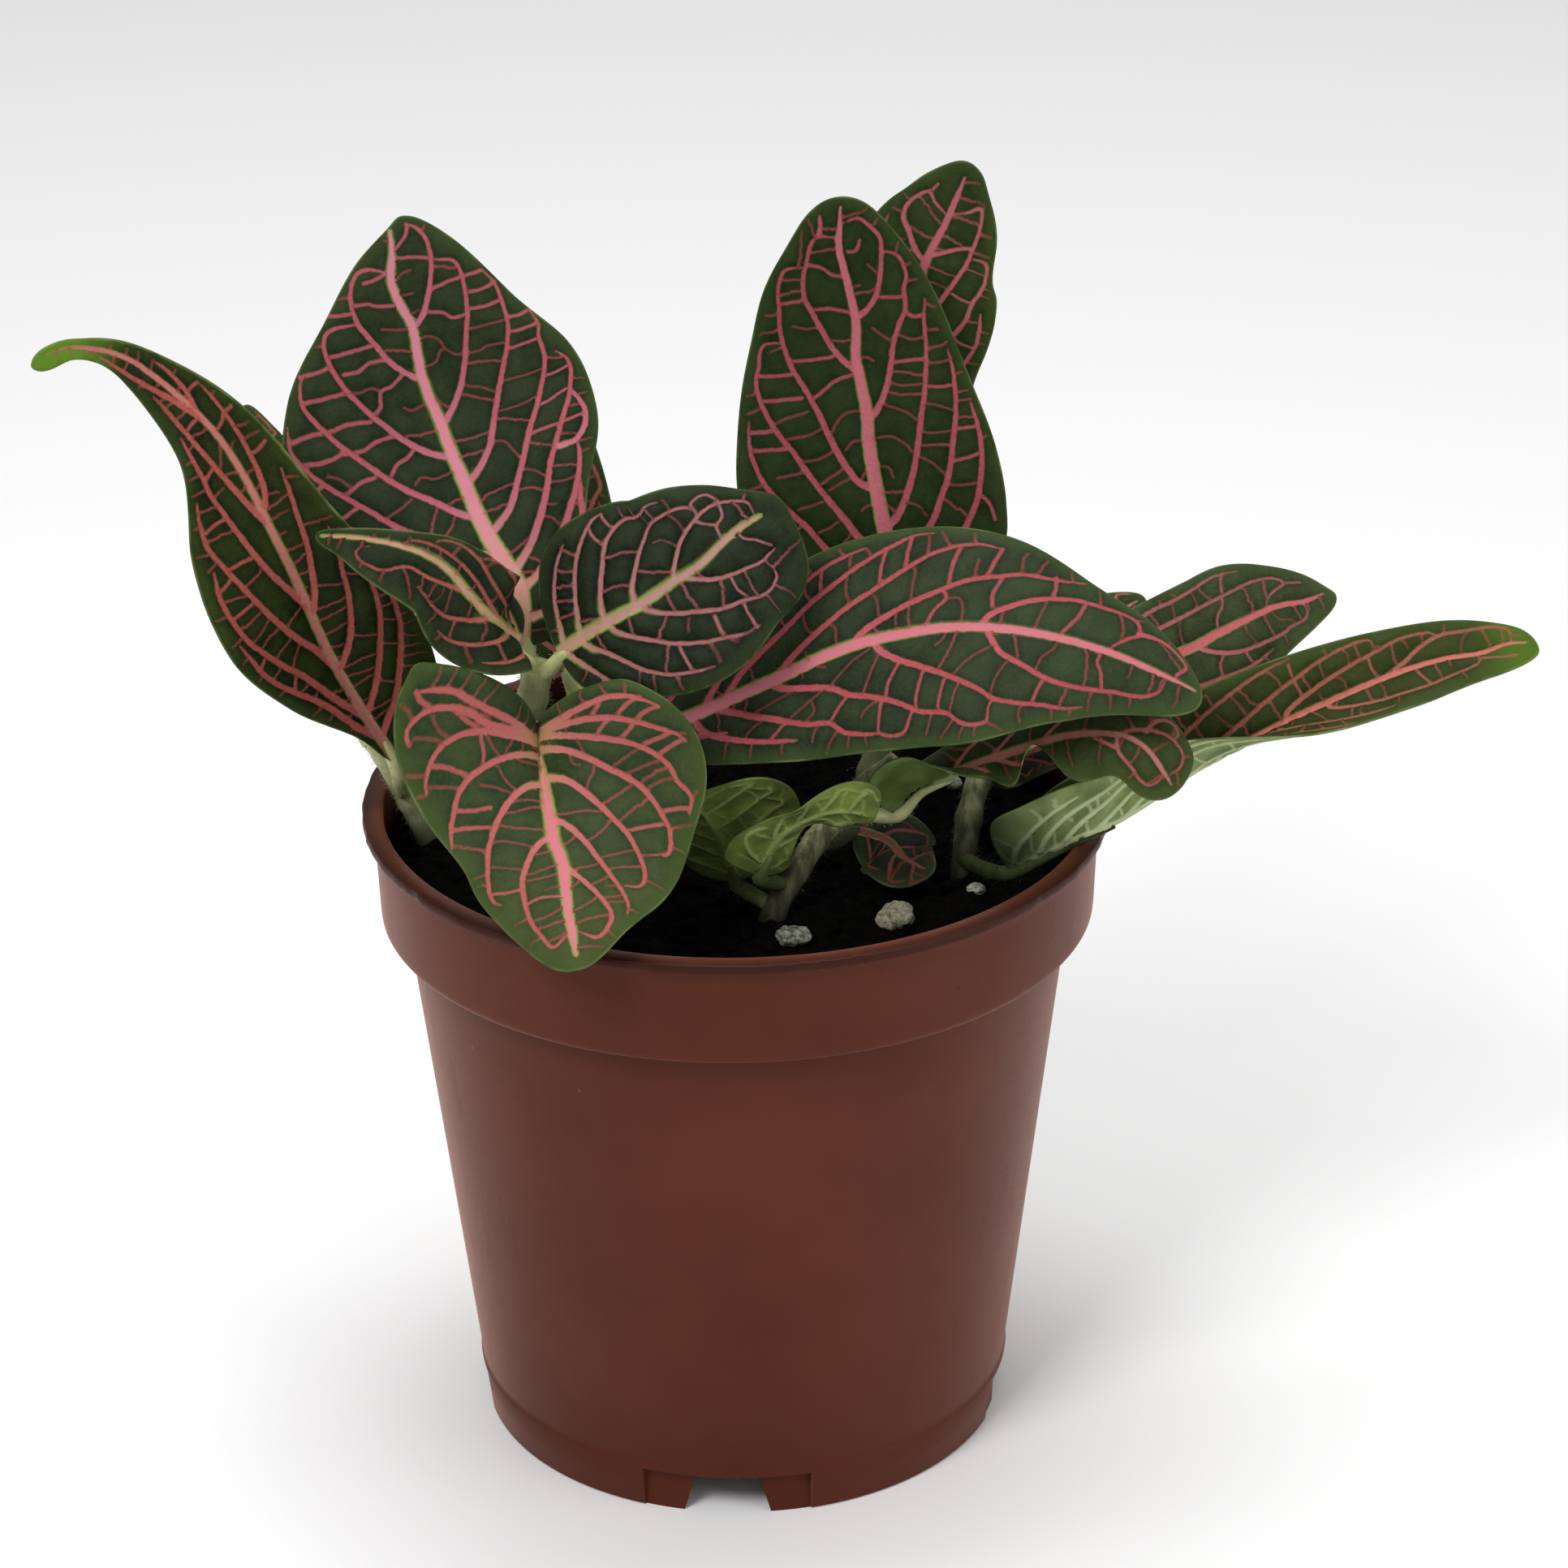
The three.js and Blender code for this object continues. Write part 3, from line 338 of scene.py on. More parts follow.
            (-0.3, 0), (-0.3, 4), (0, 8), (0.2, 12), (-0.2, 15), (-0.4, 17.5), (0.1, 21), (0, 24),
            (-0.3, 27), (-0.2, 29.6),
        ],
        "main": [
            [(-0.4, 1.2), (-3, 2.1), (-5.5, 3), (-7.5, 4.2), (-9.3, 5.7), (-10.6, 7.3)],
            [(-0.3, 4), (-2, 4.5), (-4.5, 5.6), (-7, 7), (-9, 8.5), (-10.7, 10.2), (-11.5, 11.3),
             (-11.6, 12.3)],
            [(-0.2, 7.7), (-2, 8), (-4, 9), (-6, 10.2), (-8, 11.3), (-9.3, 13), (-9.7, 15), (-9.3, 17),
             (-9.2, 19), (-9.3, 20.7), (-8.6, 22)],
            [(-0.1, 11.8), (-2, 12.2), (-4, 13.6), (-5.7, 15.2), (-7, 17.5), (-7.4, 19.5), (-7, 21.7),
             (-6.2, 23.3), (-5, 24), (-4.2, 23.8)],
            [(-0.4, 17), (-1.3, 17.5), (-2.5, 19), (-3.5, 21), (-4, 23), (-4.3, 25), (-4, 26.5),
             (-3.3, 28), (-2.3, 29.2), (-0.8, 29)],
            [(0.1, 1.2), (2, 2.2), (4, 3.5), (6, 4.7), (8, 6.5), (9, 8)],
            [(0, 3.7), (1.5, 4.5), (3, 6), (5, 7.6), (7, 9.2), (8.7, 11.5), (9.7, 14), (10.4, 16.2)],
            [(0.1, 8), (1.5, 8.3), (3, 9.7), (4.5, 11.8), (6, 14), (7.3, 16.3), (8.3, 18), (9.3, 19.3),
             (9.7, 20.7)],
            [(0.3, 12.2), (1.5, 13.2), (2.7, 15), (4, 17.3), (5.5, 19.3), (6.5, 21.3), (7.4, 23.3),
             (7.5, 25.3), (6.8, 27), (6, 27.4), (4.4, 27)],
            [(0, 18.3), (1, 19.2), (2.5, 20.7), (3.5, 22.5), (4, 24.5), (4.3, 26.5), (4, 28), (3.8, 29)],
        ],
        "cross": [
            [(-0.1, 24.2), (-1.3, 24.4), (-2, 24.8), (-2.4, 25.8), (-4, 26.4)],
            [(-2, 24.7), (-3, 23.8), (-4, 23.3)],
            [(0.1, 26.1), (1, 26.3), (2, 27.5), (3.3, 28.7)],
            [(3.7, 22), (5, 21.6), (6.5, 21.9)],
            [(6.8, 21), (8, 20.6), (9.7, 20.4)],
            [(5.5, 18.3), (7, 18), (8.2, 18)],
            [(6.7, 14.3), (8.3, 14.3), (9.9, 14.4)],
            [(-8.2, 11.1), (-9.5, 10.6), (-10.8, 10.5)],
            [(-9.3, 12.9), (-10.8, 12.3), (-11.6, 12.3)],
            [(-4.6, 24), (-5.8, 24.2), (-5.8, 25.8), (-4.3, 26.5)],
        ],
        "faint": [
            [(8.2, 18), (9.5, 18.5)],
            [(4.2, 16.3), (5.5, 15.7)],
            [(8, 16.8), (10.3, 16.7)],
            [(7, 9), (8.6, 8)],
            [(-6.8, 21.8), (-5, 22), (-4, 21.8)],
            [(-7, 22.3), (-8.3, 22.5)],
            [(-7.3, 19), (-9, 18.7)],
            [(-3.4, 20), (-5, 19), (-5.4, 17.5)],
        ],
    },
    "leaf_front": {
        "root": (-24, -12, 96.5),
        "rib": [(-23, -17, 98), (-22, -25, 94), (-20, -36, 90), (-19, -44, 87), (-18, -49, 83)],
        "face": [(-0.05, -0.35, 0.93), (-0.05, -0.5, 0.85), (-0.05, -0.75, 0.65)],
        "left": {"half": [12.5, 17, 19, 18.8, 16, 13.2, 9.8, 5.7, 2.6], "fold": [80, 0, -5],
                 "curl": [-70, -20, -15]},
        "right": {"half": [19.5, 21.5, 19.3, 15, 11.2, 9.8, 7.5, 5, 2.6], "fold": [95, 10, -5],
                  "curl": [-75, -20, -20]},
        "green": 0.75, "halo": 1.2, "cream": 0.9, "rungs": 1.6, "veins": ("9e4b48", "b96f70", "c26e76"),
        "panel": ("1e311c", "434c2a"),
        "midrib": [
            (0, 0), (0, 4), (-0.2, 8), (0, 12), (0, 15), (0.2, 17.5), (-0.3, 21), (-0.3, 24),
            (-0.2, 28), (-0.3, 32), (-0.3, 34.3),
        ],
        "main": [
            [(0.4, 1.8), (1.6, 2.7), (3.3, 3.3), (6.9, 3.6), (10.1, 3.8), (13.4, 3.6), (15.2, 3.3),
             (17.3, 3.4), (19.5, 3.8)],
            [(0.5, 2.4), (1.7, 3), (3.1, 3.4), (6.8, 4.5), (9.6, 5), (12.6, 4.6), (14.7, 4.6),
             (16.8, 5), (17.8, 5.7), (18.3, 6.5), (18, 7.3), (17.3, 7.8)],
            [(0.6, 2.9), (2.6, 3.9), (6.4, 5.1), (9.5, 5.7), (11.7, 6.4), (13.1, 7.2), (14, 8.1),
             (14.4, 9.3), (14.5, 10.5), (14.2, 11.5)],
            [(0.4, 4.7), (1.2, 5.1), (4.4, 6.6), (6.6, 7.9), (8.4, 9.2), (9.8, 10.4), (10.7, 11.8),
             (11.1, 13.3), (11.5, 14.9), (11.6, 16.4)],
            [(0.1, 8.8), (0.6, 9), (2.6, 10), (4.6, 12.1), (6, 14.2), (7, 16.2), (7.7, 18.1),
             (8.1, 20.3), (8.3, 22.9), (8, 24.7), (7.2, 25.6)],
            [(0.1, 16.9), (0.6, 17.2), (2.1, 18.2), (3.4, 20.2), (4.4, 23), (4.4, 26.4), (4, 29.1),
             (3, 31.4), (2, 32.8), (0, 31.6)],
            [(-0.4, 1.2), (-1, 1.6), (-2.2, 2.1), (-5.1, 2.8), (-7.3, 3), (-9.9, 3.1), (-12.2, 3.2),
             (-14.4, 3.8), (-15.9, 4.8), (-16.5, 5.3)],
            [(-0.5, 1.9), (-1.4, 2.1), (-3.1, 2.7), (-6.2, 3.8), (-9, 4.6), (-11.6, 5.6), (-13.4, 6.6),
             (-15.4, 7.8), (-17, 8.7), (-17.6, 9.5)],
            [(-0.5, 2.4), (-1.4, 2.6), (-2.9, 3.4), (-6, 5.3), (-8.5, 6.8), (-10.7, 8), (-12.5, 9.2),
             (-13.8, 10.4), (-14.8, 11.7), (-15.1, 13), (-16.1, 14.1), (-16.3, 14.9), (-15.7, 16.2)],
            [(-0.6, 3.9), (-1.9, 4.6), (-4.6, 6.5), (-6.5, 8.5), (-8, 10.3), (-9.5, 11.7),
             (-10.9, 13.1), (-12, 14.9), (-12.6, 16.3), (-13.1, 17.7), (-12.9, 19.5), (-12.3, 20.6),
             (-10.1, 20.8)],
            [(-0.5, 8.2), (-1.2, 8.4), (-3.1, 9.8), (-4.4, 11.7), (-5.7, 13.9), (-7, 16.1),
             (-8.2, 18.1), (-8.9, 20.1), (-9.4, 22.1), (-9.3, 23.9), (-8.5, 25), (-6.9, 25)],
            [(-0.2, 14.2), (-0.7, 14.7), (-2, 16.2), (-3.2, 18.4), (-4.4, 21.1), (-5.6, 23.7),
             (-6.6, 26.1), (-7, 28.3), (-6.7, 29.6)],
            [(-0.4, 21.5), (-1, 22.5), (-2.4, 24.4), (-3.8, 26.5), (-4.8, 28.7), (-4.9, 30.1),
             (-4.3, 31.3), (-3, 32.5), (-1.1, 31.6)],
        ],
        "cross": [
            [(8.4, 9.2), (8.7, 7.9), (9.8, 6.4)],
            [(14.7, 4.6), (12.3, 5.4), (10.1, 5.7)],
            [(19.7, 3.8), (18.3, 4.6), (16.9, 4.9)],
            [(14.4, 9.3), (12.4, 9.5), (10.1, 10)],
            [(11.1, 13.1), (9.1, 13.3), (6.9, 13.1)],
            [(11.5, 14.8), (9.2, 15), (7.2, 15.2)],
            [(7.9, 23.7), (6.3, 24.2), (4.7, 24.2)],
            [(4.4, 26.7), (2.6, 26.2), (0.2, 26.6)],
            [(-11.6, 5.6), (-13.5, 4.7), (-15.5, 4.1)],
            [(-13.4, 6.6), (-14.9, 5.9), (-16.7, 5.6)],
            [(-9, 4.6), (-10.4, 3.9), (-11.4, 3.2)],
            [(-8.5, 6.8), (-9.9, 5.9), (-11, 5.5)],
            [(-10.7, 8), (-12.2, 7.3), (-13.3, 6.6)],
            [(-12.5, 9.2), (-14.5, 8.9), (-16.4, 8.5)],
            [(-14, 10.5), (-15.8, 9.8), (-17.5, 9.4)],
            [(-12.5, 15.9), (-14.5, 15.7), (-15.9, 15.7)],
            [(-8.3, 17.8), (-10.4, 17.5), (-12.8, 17.2)],
        ],
        "faint": [
            [(8.2, 10.9), (6.5, 11), (4.3, 11.5)],
            [(10.6, 11.3), (11.8, 11.1), (14.1, 11)],
            [(7.1, 16.9), (5.1, 17.3), (2.4, 18.5)],
            [(7.9, 19.8), (6.1, 20.6), (4, 21.5)],
            [(6.6, 7.8), (8.2, 6.9), (9.5, 5.8)],
            [(12.7, 4.6), (10.6, 4.4), (8.6, 3.9)],
            [(13.1, 7.2), (14.8, 6.6), (16.9, 5.2)],
            [(17.4, 7.6), (16.7, 7.3), (14.8, 7.4), (13.6, 7.6)],
            [(14.4, 10.1), (15.8, 10), (16.9, 9.8)],
            [(14.2, 11.5), (15.3, 11.5)],
            [(-9.5, 11.7), (-11.6, 11.4), (-14.4, 11)],
            [(-11.6, 13.5), (-13.3, 13), (-15.2, 12.8)],
            [(-6.5, 8.5), (-6.4, 6.9), (-6.4, 5.6)],
            [(-4.4, 21.1), (-6.9, 20.6), (-8.9, 20.2)],
            [(-9.6, 20.9), (-11.1, 20.8), (-12.4, 20.4)],
            [(-17, 8.7), (-17.9, 8.8)],
            [(-16.3, 14.9), (-17.1, 14.1)],
            [(-4.8, 6.7), (-4.7, 8.5), (-5.4, 9)],
            [(-8.4, 10.6), (-10.2, 10.1), (-12.4, 9.4)],
            [(-6.8, 27.6), (-5.5, 27.8), (-4, 27.7)],
        ],
    },
    "leaf_tall_right": {
        "root": (20.5, 13, 91.5),
        "rib": [(20, 13, 100), (18, 14, 111), (16, 18, 122), (15, 22, 133), (13, 24, 148)],
        "face": [(-0.05, -0.9, 0.4), (-0.05, -0.92, 0.35), (0, -0.95, 0.25)],
        "left": {"half": [7, 12.5, 15.5, 16.5, 15, 13, 10.5, 6.6, 3.4], "fold": [10, 5, 5],
                 "curl": [-10, -15, -20]},
        "right": {"half": [8, 13.5, 15, 15, 13.7, 11.5, 9, 6, 3.2], "fold": [10, 5, 0],
                  "curl": [-10, -20, -30]},
        "green": 0.15, "veins": ("8c3b43", "9d4e58", "ab5c66"),
        "panel": ("0b1d05", "2b361a"),
        "midrib": [
            (0, 0), (0, 9), (0, 14), (0.1, 20), (0.4, 24), (0, 28), (-0.3, 31), (0.1, 35), (-0.3, 40),
            (-0.7, 44), (-0.3, 46.3), (0.2, 49),
        ],
        "main": [
            [(-0.2, 3), (-3.5, 5), (-7, 8.5), (-9, 11.7), (-11, 14.4), (-12.7, 17), (-13.7, 19.5),
             (-14.1, 22), (-13.8, 24.5)],
            [(-0.2, 6), (-3, 9.2), (-4.5, 12), (-6, 14.7), (-7.7, 18), (-9, 20.7), (-10.5, 23),
             (-12, 26), (-12.5, 28.5), (-12, 30.5), (-11.8, 32), (-11, 33.3), (-9, 33.3)],
            [(-0.3, 14.8), (-2, 16), (-3.3, 18.5), (-4.2, 21), (-5, 23.5), (-6, 26), (-7, 28), (-8, 30),
             (-8.7, 32.5), (-9, 35), (-8.8, 37.3), (-8.7, 39), (-8.3, 41), (-7.3, 42.3), (-5, 42.4)],
            [(-0.4, 29), (-1.5, 30), (-3, 32), (-4, 34.3), (-5, 37), (-5.6, 38.5), (-5.4, 41),
             (-4.7, 43), (-4, 44.8), (-3, 45.8), (-0.9, 45.4)],
            [(-2.8, 46), (-2.5, 47), (-2.4, 48.3)],
            [(0.3, 3), (4.5, 4.5), (8.3, 7), (10.3, 9.3), (11.8, 11.8), (12.8, 14.7), (13.3, 17.5),
             (13.3, 20.5), (12.9, 23.5)],
            [(0.2, 5.5), (3.5, 7.3), (6, 10), (7.5, 12.5), (8.7, 14.5), (9.6, 17), (10.3, 19.5),
             (11, 22.5), (11.2, 25), (11.2, 28), (10.8, 30.5)],
            [(0.4, 10), (2, 11.3), (3.5, 13.5), (5, 16.5), (6, 19.5), (6.8, 22.5), (7.5, 25.5),
             (7.9, 28.5), (8.2, 31.5), (8.2, 34), (8.7, 36.5)],
            [(0.7, 23), (2.3, 25), (3.3, 27.5), (3.8, 29.5), (4.3, 32), (5.3, 34.2), (6.2, 35.8),
             (6.3, 38), (6.8, 39.5), (6.4, 41.5), (5.3, 42.5), (4.4, 42.8)],
            [(0.1, 35.3), (1.7, 36.3), (3, 38), (3.8, 40.5), (4.2, 42.7), (4.3, 44.5), (3.3, 46),
             (2, 47.3), (0.3, 47)],
        ],
        "cross": [
            [(-0.6, 40.6), (-2, 41), (-3, 42), (-4.5, 42.6)],
            [(-0.1, 36), (-2, 36.7), (-3, 37), (-4.7, 37)],
            [(-5.8, 38.3), (-7, 38.3), (-8.7, 38.2)],
            [(-3, 31), (-5, 30.8), (-7.7, 30.8)],
            [(-0.7, 28.7), (-3, 28), (-4.5, 27), (-6, 26)],
            [(-7.9, 29.2), (-10, 29.2), (-12.2, 29.3)],
            [(-7.2, 26.4), (-9.5, 26.4), (-11.9, 26.4)],
            [(-9.8, 21.2), (-12, 21.4), (-14.1, 21.6)],
            [(-11, 23.3), (-12.5, 23.3), (-14, 23.5)],
            [(6, 35.3), (7, 34.7), (8.3, 34.7)],
            [(7.8, 26.4), (9.5, 26.2), (11.2, 26.3)],
            [(9.6, 16.3), (11, 16.3), (13, 16.6)],
            [(12, 12), (13, 10.6), (13.3, 8.6)],
            [(3, 37.5), (4.5, 37.3), (6.3, 37.1)],
            [(0.3, 43.5), (1.3, 43.5), (1.8, 44.6)],
            [(3.9, 29.7), (6, 29.8), (8, 29.8)],
            [(10.5, 20.2), (12, 20.1), (13.4, 20)],
        ],
        "faint": [
            [(-4.5, 34.8), (-6, 34.8), (-7.3, 35.3)],
            [(-9, 37), (-10.5, 37)],
            [(-12, 25.7), (-13.8, 25.3)],
            [(-0.2, 24.3), (-2, 24.2), (-3.3, 23.3), (-4.2, 22)],
            [(-5.3, 22.8), (-7, 22.3), (-9.9, 22.2)],
            [(-10.5, 24), (-9.3, 24.4), (-7, 24.7)],
            [(-0.1, 20.6), (-1.7, 20.8), (-2.7, 20)],
            [(-4.4, 20), (-6, 19.5), (-8.3, 19.5)],
            [(-7.9, 18.3), (-9.5, 18.2), (-11.5, 18.2)],
            [(-2.7, 16.6), (-4, 16.3), (-5.5, 15.7)],
            [(-6.7, 14.5), (-8, 14.3), (-9.5, 14.2)],
            [(-0.4, 12.8), (-1.5, 13), (-2.3, 12.6)],
            [(-5.3, 11.8), (-6.5, 11.3), (-7.8, 11)],
            [(-10.5, 13.5), (-12, 14)],
            [(3.4, 40.3), (2.3, 41.7)],
            [(0.2, 39.2), (1.2, 39.3)],
            [(6.5, 38.8), (8, 38.8)],
            [(2, 34), (3, 33), (4.3, 32)],
            [(4.7, 33), (6.5, 32.2), (8.2, 32.3)],
            [(8.3, 33), (9.8, 33)],
            [(8.3, 31), (10, 31.2), (10.7, 31.5)],
            [(0.3, 30.7), (1.2, 30.5), (1.8, 30)],
            [(8, 29.3), (9.8, 29.3), (11.1, 29.7)],
            [(3.5, 27.3), (5, 26.8), (7.7, 26.8)],
            [(2.6, 24.7), (4, 24), (5.2, 23.3), (6.3, 22)],
            [(7.2, 24.3), (8.7, 23.8), (10.8, 22.7)],
            [(11.2, 24), (13, 24)],
            [(1, 20.8), (3, 20.6), (4.5, 19.3), (5, 18.3)],
            [(6.4, 20.6), (8, 20.2), (10.3, 20)],
            [(1, 17.3), (2, 17), (2.3, 15.7)],
            [(5.5, 17.7), (7, 16.7), (8.3, 15)],
            [(3, 12.6), (4.5, 12), (5.3, 10.7)],
            [(8.5, 13.7), (10, 13.3), (12.3, 13.2)],
        ],
    },
    "leaf_broad_right": {
        "root": (-25.2, -9, 88),
        "rib": [
            (-13, -8, 92), (-5, -10, 96), (5, -13, 102), (16, -16, 108), (28, -19, 111), (41, -22, 109),
            (53, -24, 103),
        ],
        "face": [(-0.1, -0.5, 0.85), (0, -0.55, 0.8), (0.3, -0.5, 0.8)],
        "left": {"half": [5, 8.5, 11.5, 13, 13.8, 12.6, 8.9, 7.2, 4], "fold": [15, 10, 0],
                 "curl": [-10, -15, -20]},
        "right": {"half": [3.5, 6, 9.2, 12.3, 14.2, 14.2, 9.8, 5.5, 2.6], "fold": [10, 0, -10],
                  "curl": [-10, -20, -20]},
        "green": 0.6, "halo": 0.4, "veins": ("943f44", "ad535c", "bf717a"),
        "panel": ("141b10", "354229"),
        "midrib": [
            (0, 0), (0.2, 9.2), (0.2, 20.2), (0, 29.2), (0.3, 39.2), (0.4, 47.2), (0.1, 55.2),
            (-0.2, 61.2), (-0.6, 66.2), (-1, 70.2), (-1.2, 72.8),
        ],
        "main": [
            [(0.2, 4), (2.5, 8), (3.8, 11), (4.6, 14)],
            [(-0.1, 3), (-3.5, 7.5), (-6.5, 13), (-8, 17)],
            [(0.5, 9.5), (3, 10.7), (5, 13.2), (6.6, 16.2), (7.9, 19.2), (9, 22.7)],
            [(0.6, 12.5), (2.5, 15.5), (3.7, 17.2), (5, 19.7), (6.3, 21.9), (7.6, 24.2), (8.5, 27),
             (10.2, 28.6), (11.3, 31.2), (11.8, 33.7)],
            [(0.7, 20.7), (2, 22.2), (3, 24.7), (4.3, 27.9), (6, 30.2), (7, 32.7), (8, 35.2), (9, 37.2),
             (10.2, 39.4), (10.7, 42.2), (11, 43.7), (11.9, 45.2), (12.3, 47.2), (12, 49.2),
             (11.5, 49.8), (10, 49.7), (9, 50.2)],
            [(1, 34.5), (2, 35.2), (3.5, 37.2), (5, 40.2), (6.3, 43.2), (7.3, 45.7), (8.2, 48.2),
             (9, 50.2), (9, 52.7), (8.7, 55.2), (8.4, 56.7), (8, 59.2), (7.2, 61.2)],
            [(0.7, 47.9), (2, 48.7), (3.5, 50.2), (4.5, 53.2), (5.3, 55.9), (5.3, 59.2), (4.8, 61.7),
             (4, 64.2), (3, 67.2), (1.5, 68.9), (-0.6, 69.2)],
            [(0, 10.7), (-4, 15.2), (-7.5, 20.7), (-9.7, 26.2), (-11, 29.7), (-11.6, 32.2), (-12, 34.2)],
            [(0, 13.7), (-2.3, 16.7), (-4.2, 20.7), (-5.6, 24.2), (-7, 27.2), (-8, 29.7), (-9, 31.9),
             (-10.5, 34.7), (-11.5, 37.2), (-12.5, 39.5), (-12.5, 41.2)],
            [(-0.2, 21.2), (-1.7, 23.9), (-3.1, 27.2), (-4.4, 30.5), (-5.6, 33.5), (-6.8, 36.2),
             (-8, 38.5), (-9.5, 41.2), (-10.4, 43.5), (-10.8, 45.9), (-10.4, 47.8)],
            [(0, 31.5), (-1.3, 33.2), (-2.5, 36.2), (-3.5, 39.2), (-4.5, 42.2), (-5.7, 45.2),
             (-6.5, 48.2), (-7.3, 50.7), (-7.5, 53.2), (-8, 55.7), (-8.7, 57.2)],
            [(0, 47.2), (-1.3, 48), (-2.5, 49.7), (-4, 52.2), (-5, 54.7), (-5.7, 57.2), (-6, 60.2),
             (-6.3, 62.7), (-6, 63.9), (-4.5, 64.5), (-3.2, 63.5), (-1.6, 62.4), (-0.3, 61.8)],
            [(-4.5, 64.4), (-5.3, 66.7), (-5.3, 68.7), (-4.5, 70.5), (-3.5, 70.9), (-2, 70.2), (-1, 70)],
        ],
        "cross": [
            [(0.1, 61.2), (1.5, 61.1), (2.5, 61.9), (4, 62.6)],
            [(5.3, 55.8), (7, 55.4), (8.5, 55.2)],
            [(6.5, 43.2), (8.3, 42.6), (10, 42.2), (10.8, 42.5)],
            [(8.3, 34.6), (10, 34.1), (11.7, 33.6)],
            [(6.3, 29.9), (7.3, 28.5), (8.5, 27.2)],
            [(-0.1, 56), (-1.5, 56.7), (-3.5, 57.5), (-5.8, 57.9)],
            [(-5.2, 54.2), (-6.5, 54.2), (-7.9, 53.9)],
            [(-2.3, 48.1), (-4, 47.9), (-6.3, 48.6)],
            [(0, 40.5), (-2, 41.7), (-3.3, 43), (-4.6, 42.5)],
            [(-5.6, 43.2), (-8, 43.5), (-10.3, 44.1)],
            [(-6.3, 47), (-8, 47.4), (-10.4, 48)],
            [(-8.3, 38.5), (-10, 38.8), (-12.3, 39.2)],
            [(-7, 35.6), (-9, 35.9), (-10.9, 36.4)],
            [(-7.7, 28.9), (-9.5, 29.2), (-11, 29.5)],
            [(10, 38.5), (11.3, 37.8), (12.4, 37), (12.4, 35.2), (11.8, 33.7)],
            [(3.7, 37.5), (5, 36.5), (6.3, 35.7), (8, 35.2)],
            [(5.2, 40.5), (6.5, 39.9), (8.5, 39.2), (10, 39)],
            [(6.6, 21.5), (7.5, 20), (7.9, 19.2)],
        ],
        "faint": [
            [(0.4, 56.2), (1.7, 55.9), (3, 54.9), (4.9, 54.5)],
            [(9, 54), (10.3, 53.9), (11, 54.4)],
            [(4.2, 51.2), (5.5, 50.4), (7, 49.9), (8.6, 49.7)],
            [(2.6, 49.2), (3.8, 47.2), (5.2, 45.5), (6.6, 44.2)],
            [(0.7, 43.2), (1.8, 42.9), (2.6, 41.9)],
            [(10.8, 41.2), (12, 40.7), (13, 40.2)],
            [(8, 34.2), (8.5, 32.5), (9.3, 31.5)],
            [(1.3, 33.7), (2.3, 31.2), (3.5, 29.2), (4.3, 27.9)],
            [(1, 26.7), (1.6, 27.9)],
            [(4.3, 27.2), (5, 25.2), (5.8, 23.2), (6.3, 21.9)],
            [(5, 25.4), (6.5, 25.5), (7.2, 24.2)],
            [(8, 26.2), (9, 24.9), (10, 24.4)],
            [(5, 19.2), (5.5, 17.5), (6.4, 16.2)],
            [(2.8, 23.9), (3.2, 21.2), (3.7, 17.7)],
            [(-0.1, 53.2), (-1.8, 53.4), (-3.3, 53.6), (-4.4, 53.8)],
            [(-0.3, 44.8), (-2, 44.9), (-3.2, 44.4), (-3.3, 43)],
            [(-6, 45.7), (-8.5, 46)],
            [(-4.1, 39.1), (-6, 39.4), (-7.6, 39.6), (-8.4, 38.6)],
            [(-9.5, 40.8), (-11, 41), (-12.4, 40.9)],
            [(-0.1, 37.2), (-2, 37.2), (-2.8, 37.5)],
            [(-2.3, 35.2), (-4.3, 35.2), (-5.9, 34.5)],
            [(-5.2, 32), (-7, 31.8), (-8.8, 32.2)],
            [(-9.2, 32.5), (-10.5, 32.5), (-11.8, 32.9)],
            [(0, 29.5), (-1.5, 29.8), (-3, 29.9), (-3.8, 28.7)],
            [(-3.2, 27), (-4.5, 26.4), (-6.5, 26.5)],
            [(-0.2, 25.6), (-1.4, 25.7)],
            [(-7.5, 50.4), (-9.3, 50.2), (-10.3, 50.5)],
            [(-7.6, 52), (-9.3, 52.4), (-10, 52.6)],
        ],
    },
    "leaf_tall_back": {
        "root": (19.4, 12.1, 88.5), "ease": 20,
        "rib": [(22, 29, 113), (21, 31, 126), (23, 34, 136), (27, 36, 142), (29, 37, 148)],
        "face": [(0.1, -0.9, 0.3), (0.1, -0.9, 0.3), (0.1, -0.95, 0.2)],
        "left": {"half": [4, 6.7, 7.8, 8.2, 8, 7.7, 6.7, 5, 2.2], "fold": [5, 5], "curl": [-10, -10]},
        "right": {"half": [3.8, 7, 8.6, 10.4, 11, 10.1, 7.4, 4.1, 2.2], "fold": [5, 5],
                  "curl": [-10, -10]},
        "green": 0.25, "vein": 0.9, "veins": ("994c51", "a95861", "a1515c"),
        "panel": ("0e2506", "343c1d"),
        "midrib": [(0.5, 0), (0.7, 18), (0.8, 25), (0.3, 29), (0, 32), (0.3, 36)],
        "main": [
            [(0.8, 25.3), (2.2, 26.8), (3.5, 28.3), (4.6, 29)],
            [(0.7, 14), (2.8, 17.5), (4, 20.5), (4.9, 23.3), (5.3, 26.5), (4.7, 29.3), (4, 31.7),
             (3.3, 33), (1.8, 32), (0.1, 31.2)],
            [(0.7, 9), (3.5, 12), (6, 15.5), (7.3, 18), (7.7, 20.7), (8.3, 23), (8.4, 26), (7.3, 28.4),
             (5.2, 28)],
            [(0.6, 4), (4.5, 7), (7.5, 11), (8.9, 14), (9.2, 17), (9, 19.5)],
